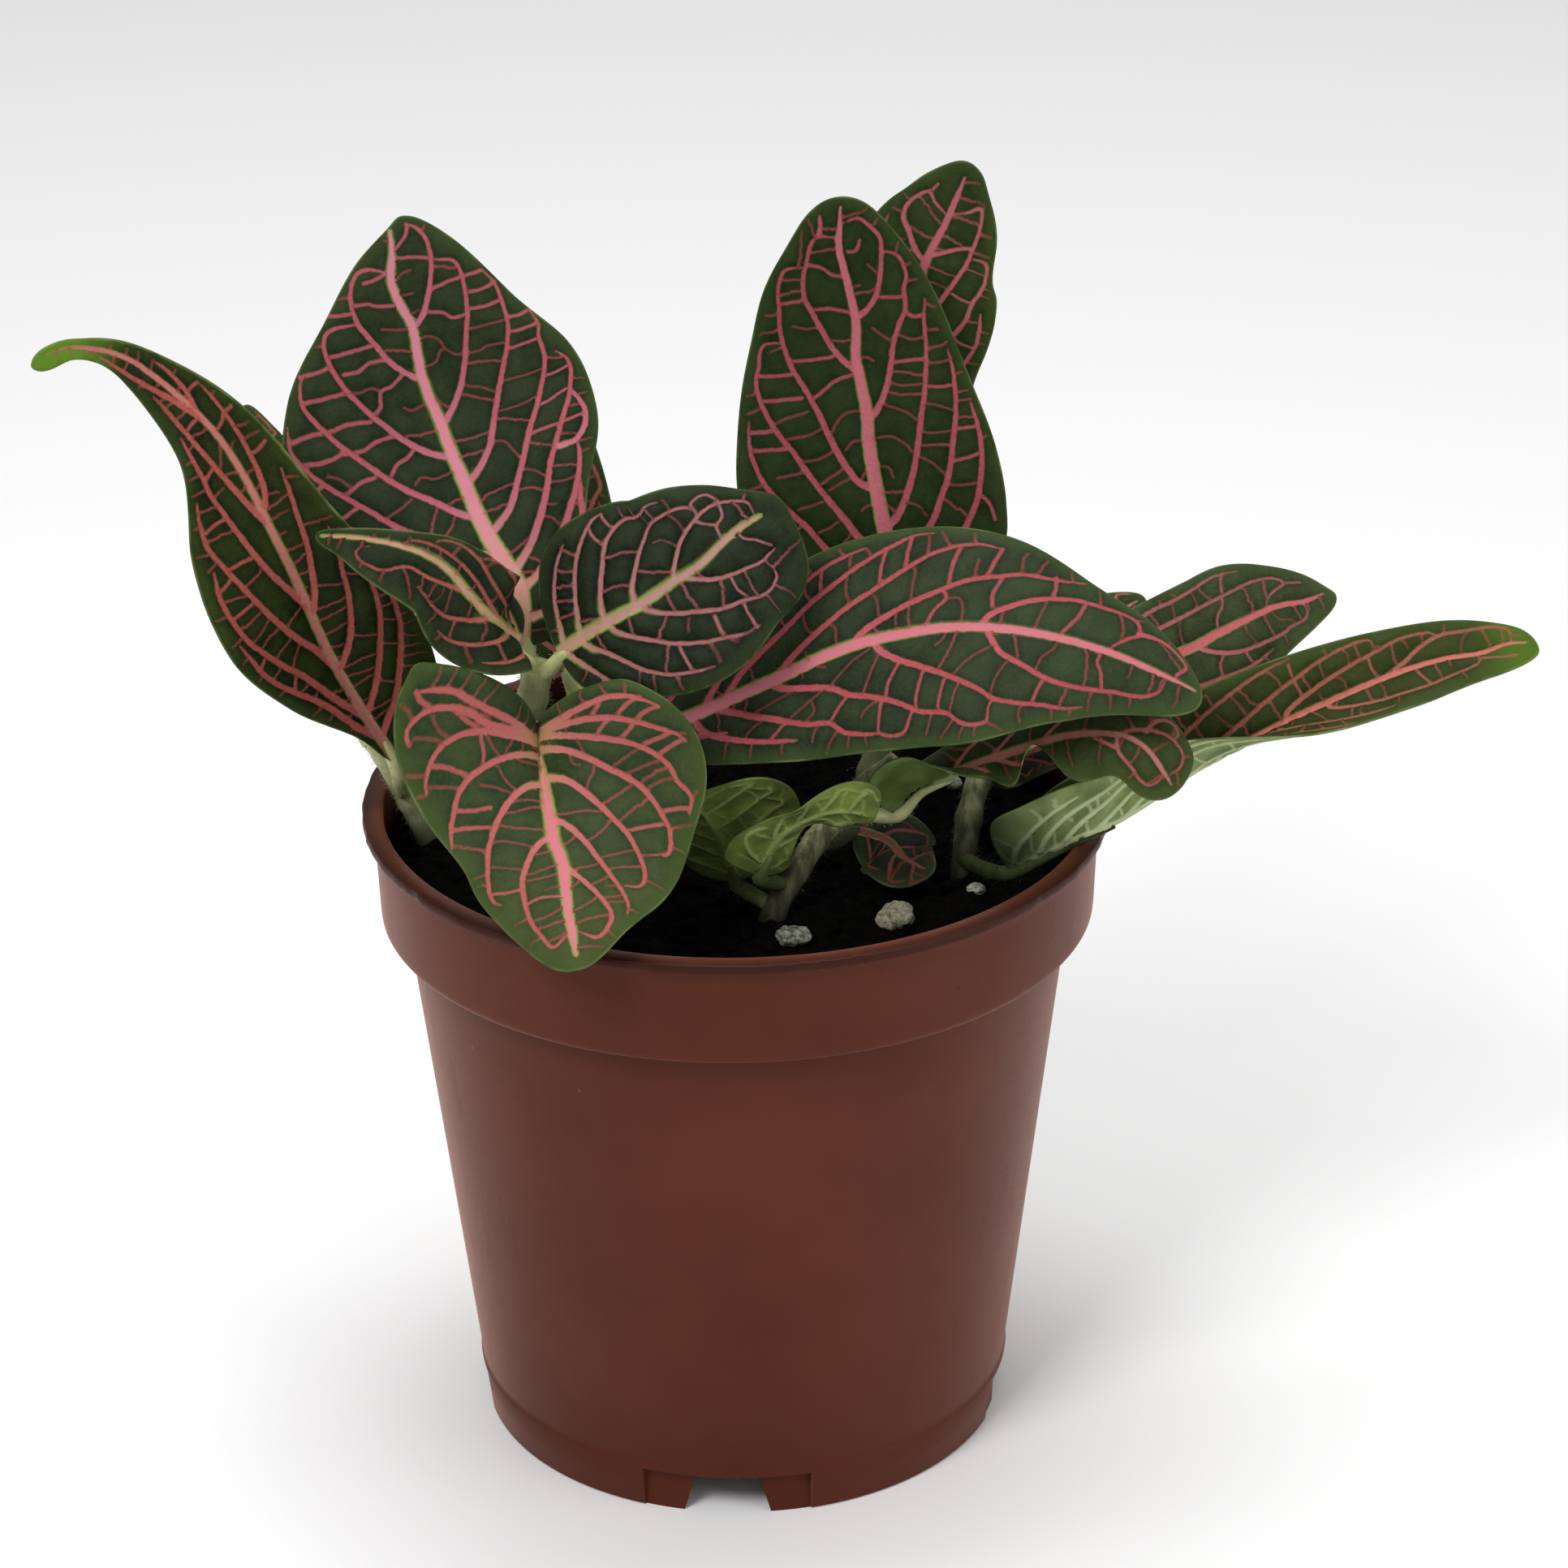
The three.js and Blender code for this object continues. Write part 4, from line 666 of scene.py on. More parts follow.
            [(0.6, 24.5), (-1, 25.3), (-3, 26.8), (-4.7, 28), (-4.9, 30.3), (-4, 32.3), (-3.3, 32.7),
             (-2, 31.5), (0, 30.7)],
            [(0.6, 17), (-2.5, 19.5), (-5, 23), (-6.1, 27)],
            [(0.6, 10), (-3, 13), (-5.7, 17), (-6.6, 21)],
            [(0.6, 4), (-3, 6.5), (-5.5, 10), (-6.6, 14)],
        ],
        "cross": [
            [(5, 21.5), (6.3, 21), (7.6, 20.8)],
            [(6, 15.5), (7, 14.5), (8.8, 13.7)],
            [(-3.3, 32.7), (-2.7, 34.2)],
        ],
        "faint": [[(1.3, 22), (2.5, 22.3), (4.4, 22)]],
    },
    "leaf_right_upper": {
        "root": (34, 5, 90),
        "rib": [(45, 4, 92), (51, 6, 95), (58, 9, 97), (65, 12, 99), (73, 14, 100)],
        "face": [(0, -0.6, 0.8), (0, -0.6, 0.8), (0.1, -0.6, 0.8)],
        "left": {"half": [3.1, 5.8, 7.6, 8, 8.3, 8.2, 6, 3.8, 1.4], "fold": [10, 5, 0],
                 "curl": [-10, -10]},
        "right": {"half": [6, 8, 7.5, 5.5, 2.5], "fold": [5, 0, 0], "curl": [-20, -20]},
        "green": 0.25, "vein": 0.75, "veins": ("7e4742", "a45a5f", "ae5156"),
        "panel": ("1a1c0d", "3e4c2c"),
        "midrib": [(0, 0), (0.2, 11), (-0.1, 15), (-0.1, 20), (-0.2, 24), (0, 27), (-0.5, 29.6)],
        "main": [
            [(0, 2.5), (-2, 5), (-3.6, 8.5), (-3.9, 12), (-4.2, 16), (-4.2, 19), (-4.4, 22),
             (-4.1, 24.3), (-3, 25.4), (-2.3, 24), (-1.5, 22.8), (-0.3, 22.3)],
            [(0, 1), (-3, 3), (-5.5, 6.5), (-6.3, 9.5), (-6.4, 12.5), (-6.8, 16), (-7.1, 19),
             (-6.5, 21.5)],
            [(0.3, 12), (1.5, 13), (2.7, 15), (3.3, 17), (3.5, 20), (3.3, 22.8), (2.7, 24.5),
             (2.3, 26.3), (1.2, 27), (0.1, 26.6)],
            [(0.2, 4), (3, 6.5), (4.9, 9.5), (5.2, 12.5), (5.4, 15.5), (5.2, 18), (4.6, 20.5)],
            [(0.2, 1), (3.5, 2.2), (6, 5), (6.9, 8.5), (6.9, 12)],
        ],
        "cross": [
            [(-0.2, 15.3), (-2, 16.3), (-3, 17.7), (-4.2, 18.3)],
            [(-4.3, 18.5), (-6, 19.3), (-7, 20)],
            [(2.9, 14.2), (3.8, 13.3), (5.1, 13)],
            [(3.4, 17), (4.3, 16.9), (5.3, 17)],
            [(-2.9, 25.5), (-2.6, 27.3)],
        ],
        "faint": [
            [(-0.3, 10.6), (-2, 11), (-3.8, 12)],
            [(-4.1, 11.5), (-6.2, 12.3)],
            [(-4.2, 14.8), (-6.5, 15.3)],
            [(0.1, 18.7), (1.5, 18.5), (3.4, 18.7)],
            [(0.1, 22.5), (1.5, 23), (2, 24.5), (2.7, 25)],
        ],
    },
    "leaf_far_right": {
        "root": (27, -6, 75),
        "rib": [
            (32, -15, 77.8), (36, -15.6, 80.1), (40, -15.3, 82.2), (44.5, -13.8, 83.4), (50, -11, 85.6),
            (56, -8, 88.2), (69, -6, 94), (83, -4, 99), (95, -3, 100),
        ],
        "face": [(-0.2, -0.4, 0.9), (-0.1, -0.4, 0.9), (0, -0.4, 0.9)],
        "left": {"half": [3, 5.8, 7.6, 8.3, 8, 6.9, 5.3, 4.1, 2.7], "fold": [50, 40, 20],
                 "curl": [0, 0]},
        "right": {"half": [7.5, 9, 8.3, 8, 8, 6.2, 5.6, 3.8, 1.8], "fold": [92, 75, 8, 0],
                  "curl": [5, 15, 15, -10]},
        "green": 0.55, "vein": 0.8, "bright_tip": 0.92, "tip": "46601c",
        "veins": ("844a3b", "a0604f", "c46b65"),
        "panel": ("1c2507", "38421e"),
        # Painted shade: the underside darkens toward the base and the stalk is dark, for the shadow
        # there.
        "back": ("5d6d40", "83935f"), "painted_shade_base": 0.14, "stalk": ("262b18", "3a4226"),
        "midrib": [
            (0, 0), (0, 30), (-0.2, 38), (-0.3, 45), (-0.2, 52), (0, 58), (0.1, 62), (-0.9, 65.5),
            (-1, 68),
        ],
        "main": [
            [(0, 22), (-1.2, 28), (-2.4, 33), (-3.5, 37), (-4.4, 40.7), (-5.2, 44.5), (-5.5, 48),
             (-5.2, 50.7), (-3.7, 50.8)],
            [(-0.2, 38), (-1.3, 38.7), (-2.2, 41.5), (-2.9, 45), (-3.3, 48), (-3.6, 51), (-4, 54),
             (-3.7, 57), (-2.9, 58)],
            [(-0.4, 51), (-1.2, 53.5), (-2.2, 55.5), (-3, 58.3), (-3, 61), (-3.2, 64), (-2.7, 66),
             (-1, 66.2)],
            [(0, 14), (-2.5, 20), (-4.5, 27), (-6, 33), (-6.8, 38), (-6.9, 41.5)],
            [(0, 6), (-3, 11), (-5.5, 17), (-7, 24), (-7.3, 31)],
            [(0, 43.3), (1.2, 43.7), (2.3, 46), (3, 49), (3.2, 52), (3.3, 55), (2.8, 58), (2, 61),
             (1.2, 62), (0.2, 61.8)],
            [(0.2, 33), (2, 37), (3.8, 42), (4.6, 46), (4.8, 50)],
            [(0.2, 24), (2.5, 29), (4.8, 35), (5.8, 41), (5.8, 45)],
            [(0.2, 15), (3, 20), (6, 27), (7.5, 35)],
            [(0.2, 7), (4, 12), (7, 19), (8.3, 27)],
            [(0.1, 0.8), (2.5, 2.2), (5, 5.5), (6.9, 10)],
            [(0.1, 3.8), (3, 6.5), (5.6, 11), (7.4, 17)],
            [(0.1, 11), (3.3, 15.5), (6.4, 22), (7.8, 30)],
        ],
        "cross": [
            [(0, 54.3), (1.5, 54.7), (3, 55.3)],
            [(0.9, 62), (1, 64.5), (0.8, 66.5)],
            [(-0.4, 50), (-2, 49.7), (-3.5, 49.9)],
            [(-6.3, 41), (-4.5, 40.8), (-2.3, 41)],
        ],
        "faint": [
            [(-0.4, 45.7), (-1.8, 46.2), (-2.8, 45.3)],
            [(-5.4, 47.3), (-4.6, 47.8), (-3.4, 47.5)],
            [(-5, 44.3), (-2.9, 44.2)],
            [(-0.1, 60), (-1.5, 60.3), (-3, 61.2)],
            [(0.1, 49.8), (1.5, 50), (3, 49.7)],
            [(2.7, 47), (3.8, 46.2), (4.5, 46.3)],
            [(3.2, 51.3), (4.5, 50.8)],
        ],
    },
    "leaf_right_under": {
        "root": (12.5, -13.6, 85.3),
        "rib": [
            (18.7, -15, 85.5), (21, -15.5, 88.5), (24.5, -16, 90.4), (30, -17, 93.2), (38, -20, 97.5),
            (45, -23, 98), (51, -25, 93),
        ],
        "face": [(0, -0.4, 0.9), (0, -0.5, 0.85), (0.3, -0.8, 0.5)],
        "left": {"half": [2, 3.5, 5, 6.5, 7, 7, 6, 5, 3.5], "fold": [0, 0], "curl": [-10, -10]},
        "right": {"half": [2.5, 5, 8, 7, 4.5, 2, 3.8, 0.8, 4.8, 5, 4.8, 4.5, 4.2, 3.4, 2],
                  "fold": [95, 80, -5, -5, -10, -10], "curl": [-20, -20],
                  "wave": (1.2, 3, 0.75)},
        "green": 0.7, "vein": 0.7, "back": ("475829", "6c7d48"),
        "midrib": [
            (0, 6.5), (0, 14.5), (0.3, 21.5), (0, 28.5), (-0.3, 30.5), (-0.3, 33.5), (0.2, 36.5),
            (0.6, 38.5),
        ],
        "main": [
            [(-0.3, 30), (-1.5, 31.5), (-2.8, 33.3), (-3.4, 35.2), (-2.9, 37.2), (-1.5, 37.8),
             (0.2, 37.5)],
            [(-2, 32.5), (-4, 32.8), (-4.9, 33.8), (-4.9, 34.7), (-4.3, 35.3), (-3.4, 35.2)],
            [(-0.1, 30), (1.2, 30.5), (2, 31.5), (2.5, 33.5), (2.8, 35.5), (2.3, 36.8), (0.5, 37.2)],
            [(1.3, 30.3), (1, 28.5), (0.6, 27.2)],
            [(0.2, 14.2), (1.3, 16), (2.2, 18), (2.2, 20), (1.5, 21.5)],
            [(0.2, 9.8), (1, 12), (1.7, 13.5)],
            [(0.3, 20.5), (-3, 24.5), (-4.5, 28.5), (-4.2, 31.5)],
            [(0, 13.5), (-3, 17.5), (-5.2, 22.5), (-5.8, 27.5)],
            [(0, 8.5), (-3, 11.5), (-4.7, 15.5), (-5.7, 19.5)],
        ],
    },
    "leaf_behind_far_left": {
        "root": (-44.6, 1.2, 91), "pairs": 5,
        "rib": [(-46, 3, 90), (-50, 8, 101), (-54, 13, 112), (-56, 16, 119), (-58, 18, 125)],
        "face": [(0.1, -0.8, 0.5), (0.1, -0.8, 0.5), (0, -0.8, 0.6)],
        "left": {"half": [3, 6, 7, 5, 2], "fold": [10, 10], "curl": [0, 0]},
        "right": {"half": [3, 6, 7, 5, 2], "fold": [10, 10], "curl": [0, 0]},
        "green": 0.5, "vein": 0.6,
    },
    "leaf_rear": {
        "root": (-19, 9, 89.5), "pairs": 6,
        "rib": [(-20, 10, 93), (-20, 15, 100), (-20, 20, 109), (-21, 25, 117), (-23, 28, 127)],
        "face": [(0, -0.9, 0.4), (0, -0.9, 0.4), (0, -0.95, 0.3)],
        "left": {"half": [6, 10, 11, 8, 3], "fold": [5, 5], "curl": [-10, -10]},
        "right": {"half": [4.5, 6.8, 5.6, 4, 2], "fold": [5, 5], "curl": [-10, -10]},
        "green": 0.3, "vein": 0.8,
    },
    "leaf_low_left": {
        "root": (3.5, -17, 75), "pairs": 5,
        "rib": [
            (-0.1, -13.3, 76), (-0.6, -14.3, 78.4), (-1.7, -16.3, 83), (-3.5, -18, 87),
            (-5.5, -19.5, 90),
        ],
        "face": [(0, 0.8, 0.6), (0, 0.7, 0.7), (0, 0.5, 0.8)],
        "left": {"half": [4, 8, 10, 10, 7], "fold": [15, 18, 20], "curl": [0, 0]},
        "right": {"half": [4, 6, 6, 5, 2.5], "fold": [10, 10, 10], "curl": [0, 0]},
        **PALE_LOW,
    },
    "leaf_low_front": {
        "root": (5.3, -16.6, 77.2), "pairs": 5,
        "rib": [
            (2.6, -19.4, 79.8), (5.1, -21, 85.4), (9.6, -22, 88.7), (13.3, -22, 89.1), (16, -22, 88.2),
        ],
        "face": [(0, 0.9, 0.3), (0, 0.9, 0.3), (0, 0.9, 0.3)],
        "left": {"half": [2, 3, 2.5, 2, 1.5, 2, 2.2, 2.2, 1.5], "fold": [10, 10],
                 "curl": [0, 0], "wave": (0.8, 2, 0.2)},
        "right": {"half": [3, 5, 5, 3, 2.6, 3, 4, 4.5, 3], "fold": [0, 0],
                  "curl": [0, 0], "wave": (0.8, 2, 0.6)},
        **PALE_LOW,
    },
    "leaf_low_small": {
        "root": (9, -15, 81.5), "pairs": 4,
        "rib": [(14, -8, 80), (18, -9, 79), (20, -12, 78), (23, -14, 77)],
        "face": [(0, -0.4, 0.9), (0, -0.5, 0.85), (0.3, -0.6, 0.7)],
        "left": {"half": [3, 5, 5, 4, 2], "fold": [0, 0], "curl": [-20, -20]},
        "right": {"half": [3, 5, 5, 4, 2], "fold": [0, 0], "curl": [-20, -20]},
        # Painted shade: its stalk's dark colours stand for the shadow it lies in.
        **DARK_LOW, "green": 0.1, "stalk": ("2b3120", "3b4229"),
    },
    "leaf_low_right": {
        "root": (28.6, -1.5, 82), "pairs": 5,
        "rib": [(30, 3, 81), (34, 5, 83), (40, 6, 85), (46, 7, 87)],
        "face": [(0, -0.3, 0.95), (0, -0.3, 0.95), (0, -0.3, 0.95)],
        "left": {"half": [4, 6, 6, 4.5, 2.5], "fold": [10, 10], "curl": [-10, -10]},
        "right": {"half": [3, 4, 4, 3.5, 2], "fold": [10, 10], "curl": [-20, -20]},
        **DARK_LOW, "green": 0, "stalk": ("3d4527", "565f38"),
    },
    "leaf_right_back": {
        "root": (18.5, 11.4, 85.5), "pairs": 5,
        "rib": [(35, 18, 89.5), (41, 22, 91.5), (46, 25, 92.5), (51, 27, 94.5)],
        "face": [(0, -0.4, 0.9), (0, -0.4, 0.9), (0, -0.4, 0.9)],
        "left": {"half": [3, 5, 5, 4, 2], "fold": [5, 5], "curl": [-10, -10]},
        "right": {"half": [3, 5, 5, 4, 2], "fold": [5, 5], "curl": [-20, -20]},
        "green": 0.3, "vein": 0.6,
    },
}

# Blades: half their thickness, the swell of the panels above and the ribs below, which stand as high
# as a part of the vein's width. Within MARGIN_FADE of the margin the blade thins out.
BLADE_HALF = 0.24
EDGE_HALF = 0.12
MARGIN_FADE = 1.5
RELIEF = 0.3
SWELL_REACH = 0.8
RIB_HEIGHT = 0.3
FINE_RIB_HEIGHT = 0.12

# Veins: those above STRONG are the midrib and the side veins. Rungs are the fine cross veins, which
# end where they touch another vein or come near the margin.
STRONG = 0.9
VEIN_SWEEP = 0.9
MIDRIB_WIDTH = 1.85
MAIN_WIDTH = 0.9
CROSS_WIDTH = 0.4
FAINT_WIDTH = 0.28
RUNG_WIDTH = 0.31
RUNG_SPACING = 2.1
RUNG_REACH = 6.5
RUNG_TOUCH = 0.22
RUNG_MARGIN = 0.45
RUNG_WOBBLE = 0.045
VEIN_STEP = 0.42
FIELD_REACH = 3.0

# Mesh points of a blade, along its veins and between them
MARGIN_STEP = 0.42
FILL_STEP = 0.62
FILL_ROOM = 0.38
POINT_GAP = 0.13
VEIN_BORDERS = (0.17,)
MIDRIB_BORDERS = (0.17, 0.42)

# Stalks, stems and their hairs, with so many hairs to a millimetre
STALK_RADIUS = 0.95
STALK_SIDES = 14
STEM_SIDES = 28
HAIR_RADIUS = 0.035
STALK_HAIRS = {"density": 14, "length": 0.75}
STEM_HAIRS = {"density": 26, "length": 0.9}

# Camera, with its angles in degrees
CAMERA_DISTANCE = 584.59
CAMERA_ELEVATION = 25.304
CAMERA_PAN = 0.565
CAMERA_TILT = -0.124
CAMERA_ROLL = 0.805
IMAGE_WIDTH_PX = 1932
FOCAL_LENGTH_PX = 6000

# Lights and floor, in metres and watts
LIGHTS = {
    "key": {"place": (-0.35, -0.55, 0.75), "size": 0.3, "watts": 4.4},
    "fill": {"place": (0.7, -0.4, 0.35), "size": 0.6, "watts": 2.0},
    "top": {"place": (0, 0.15, 0.9), "size": 0.45, "watts": 3.4},
}
LIGHT_TARGET = (0, 0, 0.09)
FLOOR_REACH = 3

pot_low, pot_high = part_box("pot")
POT_AXIS = np.array([(pot_low.x + pot_high.x) / 2, (pot_low.y + pot_high.y) / 2, 0])


# Shapes

def smooth_at(values, t):
    """A smooth curve through evenly spaced values or points, read at t from 0 to 1."""
    values = np.asarray(values, float)
    t = np.asarray(t, float)
    last = len(values) - 1
    place = np.clip(t, 0, 1) * last
    i = np.minimum(np.floor(place).astype(int), last - 1)
    f = place - i
    padded = np.concatenate([[2 * values[0] - values[1]], values, [2 * values[-1] - values[-2]]])
    if values.ndim == 2:
        f = f[..., None]
    a, b, c, d = padded[i], padded[i + 1], padded[i + 2], padded[i + 3]
    square = 2 * a - 5 * b + 4 * c - d
    cube = 3 * b - a - 3 * c + d
    return 0.5 * (2 * b + (c - a) * f + square * f ** 2 + cube * f ** 3)


def run_length(points):
    """How far along a line each of its points lies."""
    return np.concatenate([[0], np.cumsum(np.linalg.norm(np.diff(points, axis=0), axis=1))])


def read_along(points, lengths, where):
    """The line at other lengths along it than those of its points."""
    return np.stack([np.interp(where, lengths, points[:, k]) for k in range(points.shape[1])], -1)


def smooth_line(points, step):
    """Points every step along a smooth curve through the given ones."""
    fine = smooth_at(points, np.linspace(0, 1, 16 * len(points)))
    lengths = run_length(fine)
    count = max(int(lengths[-1] / step), 2)
    return read_along(fine, lengths, np.linspace(0, lengths[-1], count + 1))


def unit(vectors):
    return vectors / np.maximum(np.linalg.norm(vectors, axis=-1, keepdims=True), 1e-9)


def half_width(side, u):
    """How wide one side of a blade is, at parts of its length from 0 to 1."""
    turn = np.arccos(1 - 2 * np.clip(u, 0, 1)) / np.pi
    return np.maximum(smooth_at([0, *side["half"], 0], turn), 0)


def eased(rows, spread):
    """Each row averaged over its neighbours, spread rows away on either side."""
    reach = 3 * spread
    weights = np.exp(-0.5 * (np.arange(-reach, reach + 1) / spread) ** 2)
    padded = np.concatenate([np.repeat(rows[:1], reach, 0), rows, np.repeat(rows[-1:], reach, 0)])
    columns = [np.convolve(column, weights / weights.sum(), "valid") for column in padded.T]
    return np.stack(columns, -1)


class Blade:
    """The middle surface of a leaf's blade, flattened as (across, along) in millimetres."""

    def __init__(self, leaf):
        self.leaf = leaf
        fine = smooth_at(leaf["rib"], np.linspace(0, 1, 801))
        lengths = run_length(fine)
        self.length = lengths[-1]
        self.steps = np.linspace(0, 1, 401)
        self.centre = read_along(fine, lengths, self.steps * self.length)
        self.tangent = unit(np.gradient(self.centre, axis=0))
        face = smooth_at(leaf["face"], self.steps)
        dots = (face * self.tangent).sum(1, keepdims=True)
        self.up = unit(face - dots * self.tangent)
        self.across = np.cross(self.tangent, self.up)
        if "ease" in leaf:
            self.across = unit(eased(self.across, leaf["ease"]))
            up = eased(self.up, leaf["ease"])
            self.up = unit(up - (up * self.across).sum(1, keepdims=True) * self.across)

    def width(self, across, along):
        """The blade's half width on the side where each place lies."""
        u = along / self.length
        left = half_width(self.leaf["left"], u)
        right = half_width(self.leaf["right"], u)
        return np.where(across < 0, left, right)

    def place(self, across, along):
        """Where each flattened place lies in space, and the blade's upward direction there."""
        u = along / self.length
        width = np.maximum(self.width(across, along), 0.02)
        reach = np.minimum(np.abs(across) / width, 1)
        centre = read_along(self.centre, self.steps, u)
        up = unit(read_along(self.up, self.steps, u))
        side_way = unit(read_along(self.across, self.steps, u))
        out = np.zeros(len(u))
        rise = np.zeros(len(u))
        slope = np.zeros(len(u))
        for name, here in (("left", across < 0), ("right", across >= 0)):
            side = self.leaf[name]
            start = np.radians(smooth_at(side["fold"], u))
            bend = np.radians(smooth_at(side["curl"], u))
            bend = np.where(np.abs(bend) < 1e-4, 1e-4, bend)
            turn = start + bend * reach
            side_out = width / bend * (np.sin(turn) - np.sin(start))
            side_rise = width / bend * (np.cos(start) - np.cos(turn))
            if "wave" in side:
                height, count, phase = side["wave"]
                fade = np.sqrt(np.maximum(np.sin(np.pi * u), 0))
                side_rise += height * reach ** 2.5 * fade * np.sin(2 * np.pi * (count * u + phase))
            out = np.where(here, side_out, out)
            rise = np.where(here, side_rise, rise)
            slope = np.where(here, turn, slope)
        sign = np.where(across < 0, -1, 1)
        slope = slope * np.clip(np.abs(across) / 0.8, 0, 1)
        normal = up * np.cos(slope)[:, None] - side_way * (sign * np.sin(slope))[:, None]
        return centre + side_way * (sign * out)[:, None] + up * rise[:, None], unit(normal)

    def outline(self, step):
        """The margin as a closed loop of flattened places, up the right side and down the left."""
        turn = np.linspace(0, np.pi, 400)
        along = (1 - np.cos(turn)) / 2 * self.length
        sides = []
        for name, sign in (("right", 1), ("left", -1)):
            edge = np.stack([sign * half_width(self.leaf[name], along / self.length), along], -1)
            lengths = run_length(edge)
            count = int(lengths[-1] / step)
            sides.append(read_along(edge, lengths, np.linspace(0, lengths[-1], count + 1)))
        return np.concatenate([sides[0][:-1], sides[1][::-1][:-1]])


# Veins

def ruled_veins(leaf, blade):
    """Side veins by rule, for a leaf that shows little: they sweep up and loop into the next one."""
    veins = []
    count = leaf["pairs"]
    for name, sign in (("left", -1), ("right", 1)):
        for i in range(count):
            start = (i + 0.3 + (0.25 if sign > 0 else 0)) / (count + 0.5)
            reach = np.linspace(0, 0.84, 6)
            u = start ** (1 / (1 + VEIN_SWEEP * reach ** 1.3))
            across = sign * reach * half_width(leaf[name], u)
            line = list(zip(across, u * blade.length))
            u_end = min(u[-1] + 0.09, 0.97)
            line.append((sign * 0.72 * half_width(leaf[name], u_end), u_end * blade.length))
            veins.append([(float(a), float(b)) for a, b in line])
    return veins


def ray_to(start, way, bend, far):
    """Places along a slightly bent line that leaves start in a given direction."""
    steps = np.arange(0, far, 0.16)
    side = np.array([-way[1], way[0]])
    return start + way * steps[:, None] + side * (bend * steps * (far - steps) / far)[:, None]


def rung_path(start, run, sign, random):
    """An unsteady line that leaves a larger vein on one side, about square to it."""
    turn = sign * (np.pi / 2 + random.uniform(-0.25, 0.15))
    way = np.array([run[0] * np.cos(turn) - run[1] * np.sin(turn),
                    run[0] * np.sin(turn) + run[1] * np.cos(turn)])
    line = ray_to(start, way, random.uniform(-0.3, 0.3), RUNG_REACH)
    line[2:] += np.cumsum(random.normal(0, RUNG_WOBBLE, line[2:].shape), axis=0)
    return line


def rungs(blade, lines, every, random):
    """Fine cross veins between the larger ones, and spokes from the outer ones to the margin."""
    large = [points for points, _, strength, _ in lines if strength[0] > STRONG]
    trunks = np.concatenate(large)
    small = [points for points, _, strength, _ in lines if strength[0] <= STRONG]
    taken = np.concatenate(small or [trunks[:1]])
    found = []
    for points in large:
        lengths = run_length(points)
        for sign in (-1, 1):
            spot = random.uniform(0.6, 1) * every
            while spot < lengths[-1] - 0.4:
                start = read_along(points, lengths, spot)
                run = unit(read_along(points, lengths, spot + 0.3) - start)
                spot += every * random.uniform(0.8, 1.25)
                line = rung_path(start, run, sign, random)
                others = trunks[np.linalg.norm(trunks - start, axis=1) > 1.1]
                gap = np.linalg.norm(others[None] - line[:, None], axis=2).min(1)
                room = blade.width(line[:, 0], line[:, 1]) - np.abs(line[:, 0])
                stop = np.nonzero((gap < RUNG_TOUCH) | (room < RUNG_MARGIN))[0]
                if not len(stop) or stop[0] < 6:
                    continue
                end = stop[0]
                near = np.linalg.norm(taken[None] - line[:end, None], axis=2).min(1)
                if near.min() < 0.42 * every:
                    continue
                hit = gap[end] < RUNG_TOUCH
                if not hit:
                    end = int(end * random.uniform(0.75, 1))
                elif random.random() < 0.1:
                    end = int(end * random.uniform(0.5, 0.8))
                    hit = False
                if end > 4:
                    found.append((line[:end + 1], hit))
                    taken = np.concatenate([taken, line[:end + 1]])
    return found


def vein_net(leaf, blade, random):
    """Every vein as (points, widths, strength, paleness) in the flattened blade."""
    scale = leaf.get("vein", 1)
    lines = []
    midrib = leaf.get("midrib") or [(0, 0), (0.2, blade.length / 2), (0, blade.length - 1)]
    points = smooth_line(midrib, VEIN_STEP)
    part = points[:, 1] / blade.length
    to_end = np.linspace(1, 0, len(points))
    width = MIDRIB_WIDTH * leaf.get("midrib_width", scale) * (1.08 - 0.72 * part ** 0.8)
    width *= np.clip(0.35 + to_end / 0.12, 0, 1)
    lines.append((points, width, np.ones(len(points)), 1 - 0.2 * part))
    for line in leaf.get("main") or ruled_veins(leaf, blade):
        points = smooth_line(line, VEIN_STEP)
        part = np.linspace(0, 1, len(points))
        from_rib = run_length(points)
        from_tip = 1 - 0.35 * np.clip(points[:, 1] / blade.length, 0, 1)
        width = MAIN_WIDTH * scale * (1.04 - 0.44 * part) * from_tip
        width *= np.clip(0.45 + (1 - part) / 0.2, 0, 1)
        pale = 0.6 * np.exp(-from_rib / 7) * (1 - 0.5 * points[:, 1] / blade.length)
        lines.append((points, width, np.ones(len(points)), pale))
    kinds = (("cross", CROSS_WIDTH, 0.85), ("faint", FAINT_WIDTH, 0.5))
    for kind, wide, strength in kinds:
        for line in leaf.get(kind, []):
            points = smooth_line(line, VEIN_STEP)
            lines.append((points, np.full(len(points), wide * scale), np.full(len(points), strength),
                          np.full(len(points), 0.05)))
    for points, whole in rungs(blade, lines, leaf.get("rungs", RUNG_SPACING), random):
        part = np.linspace(0, 1, len(points))
        fade = 0.04 if whole else 0.3
        lines.append((points, RUNG_WIDTH * (1 - 0.2 * part), 0.62 - fade * part, np.zeros(len(points))))
    rough = []
    for i, (points, width, strength, pale) in enumerate(lines):
        shift = random.normal(0, 0.02, points.shape)
        shift[0] = 0
        ragged = width * (1 + random.normal(0, 0.06 if i else 0.025, len(width)))
        rough.append((points + shift, ragged, strength, pale))
    return rough


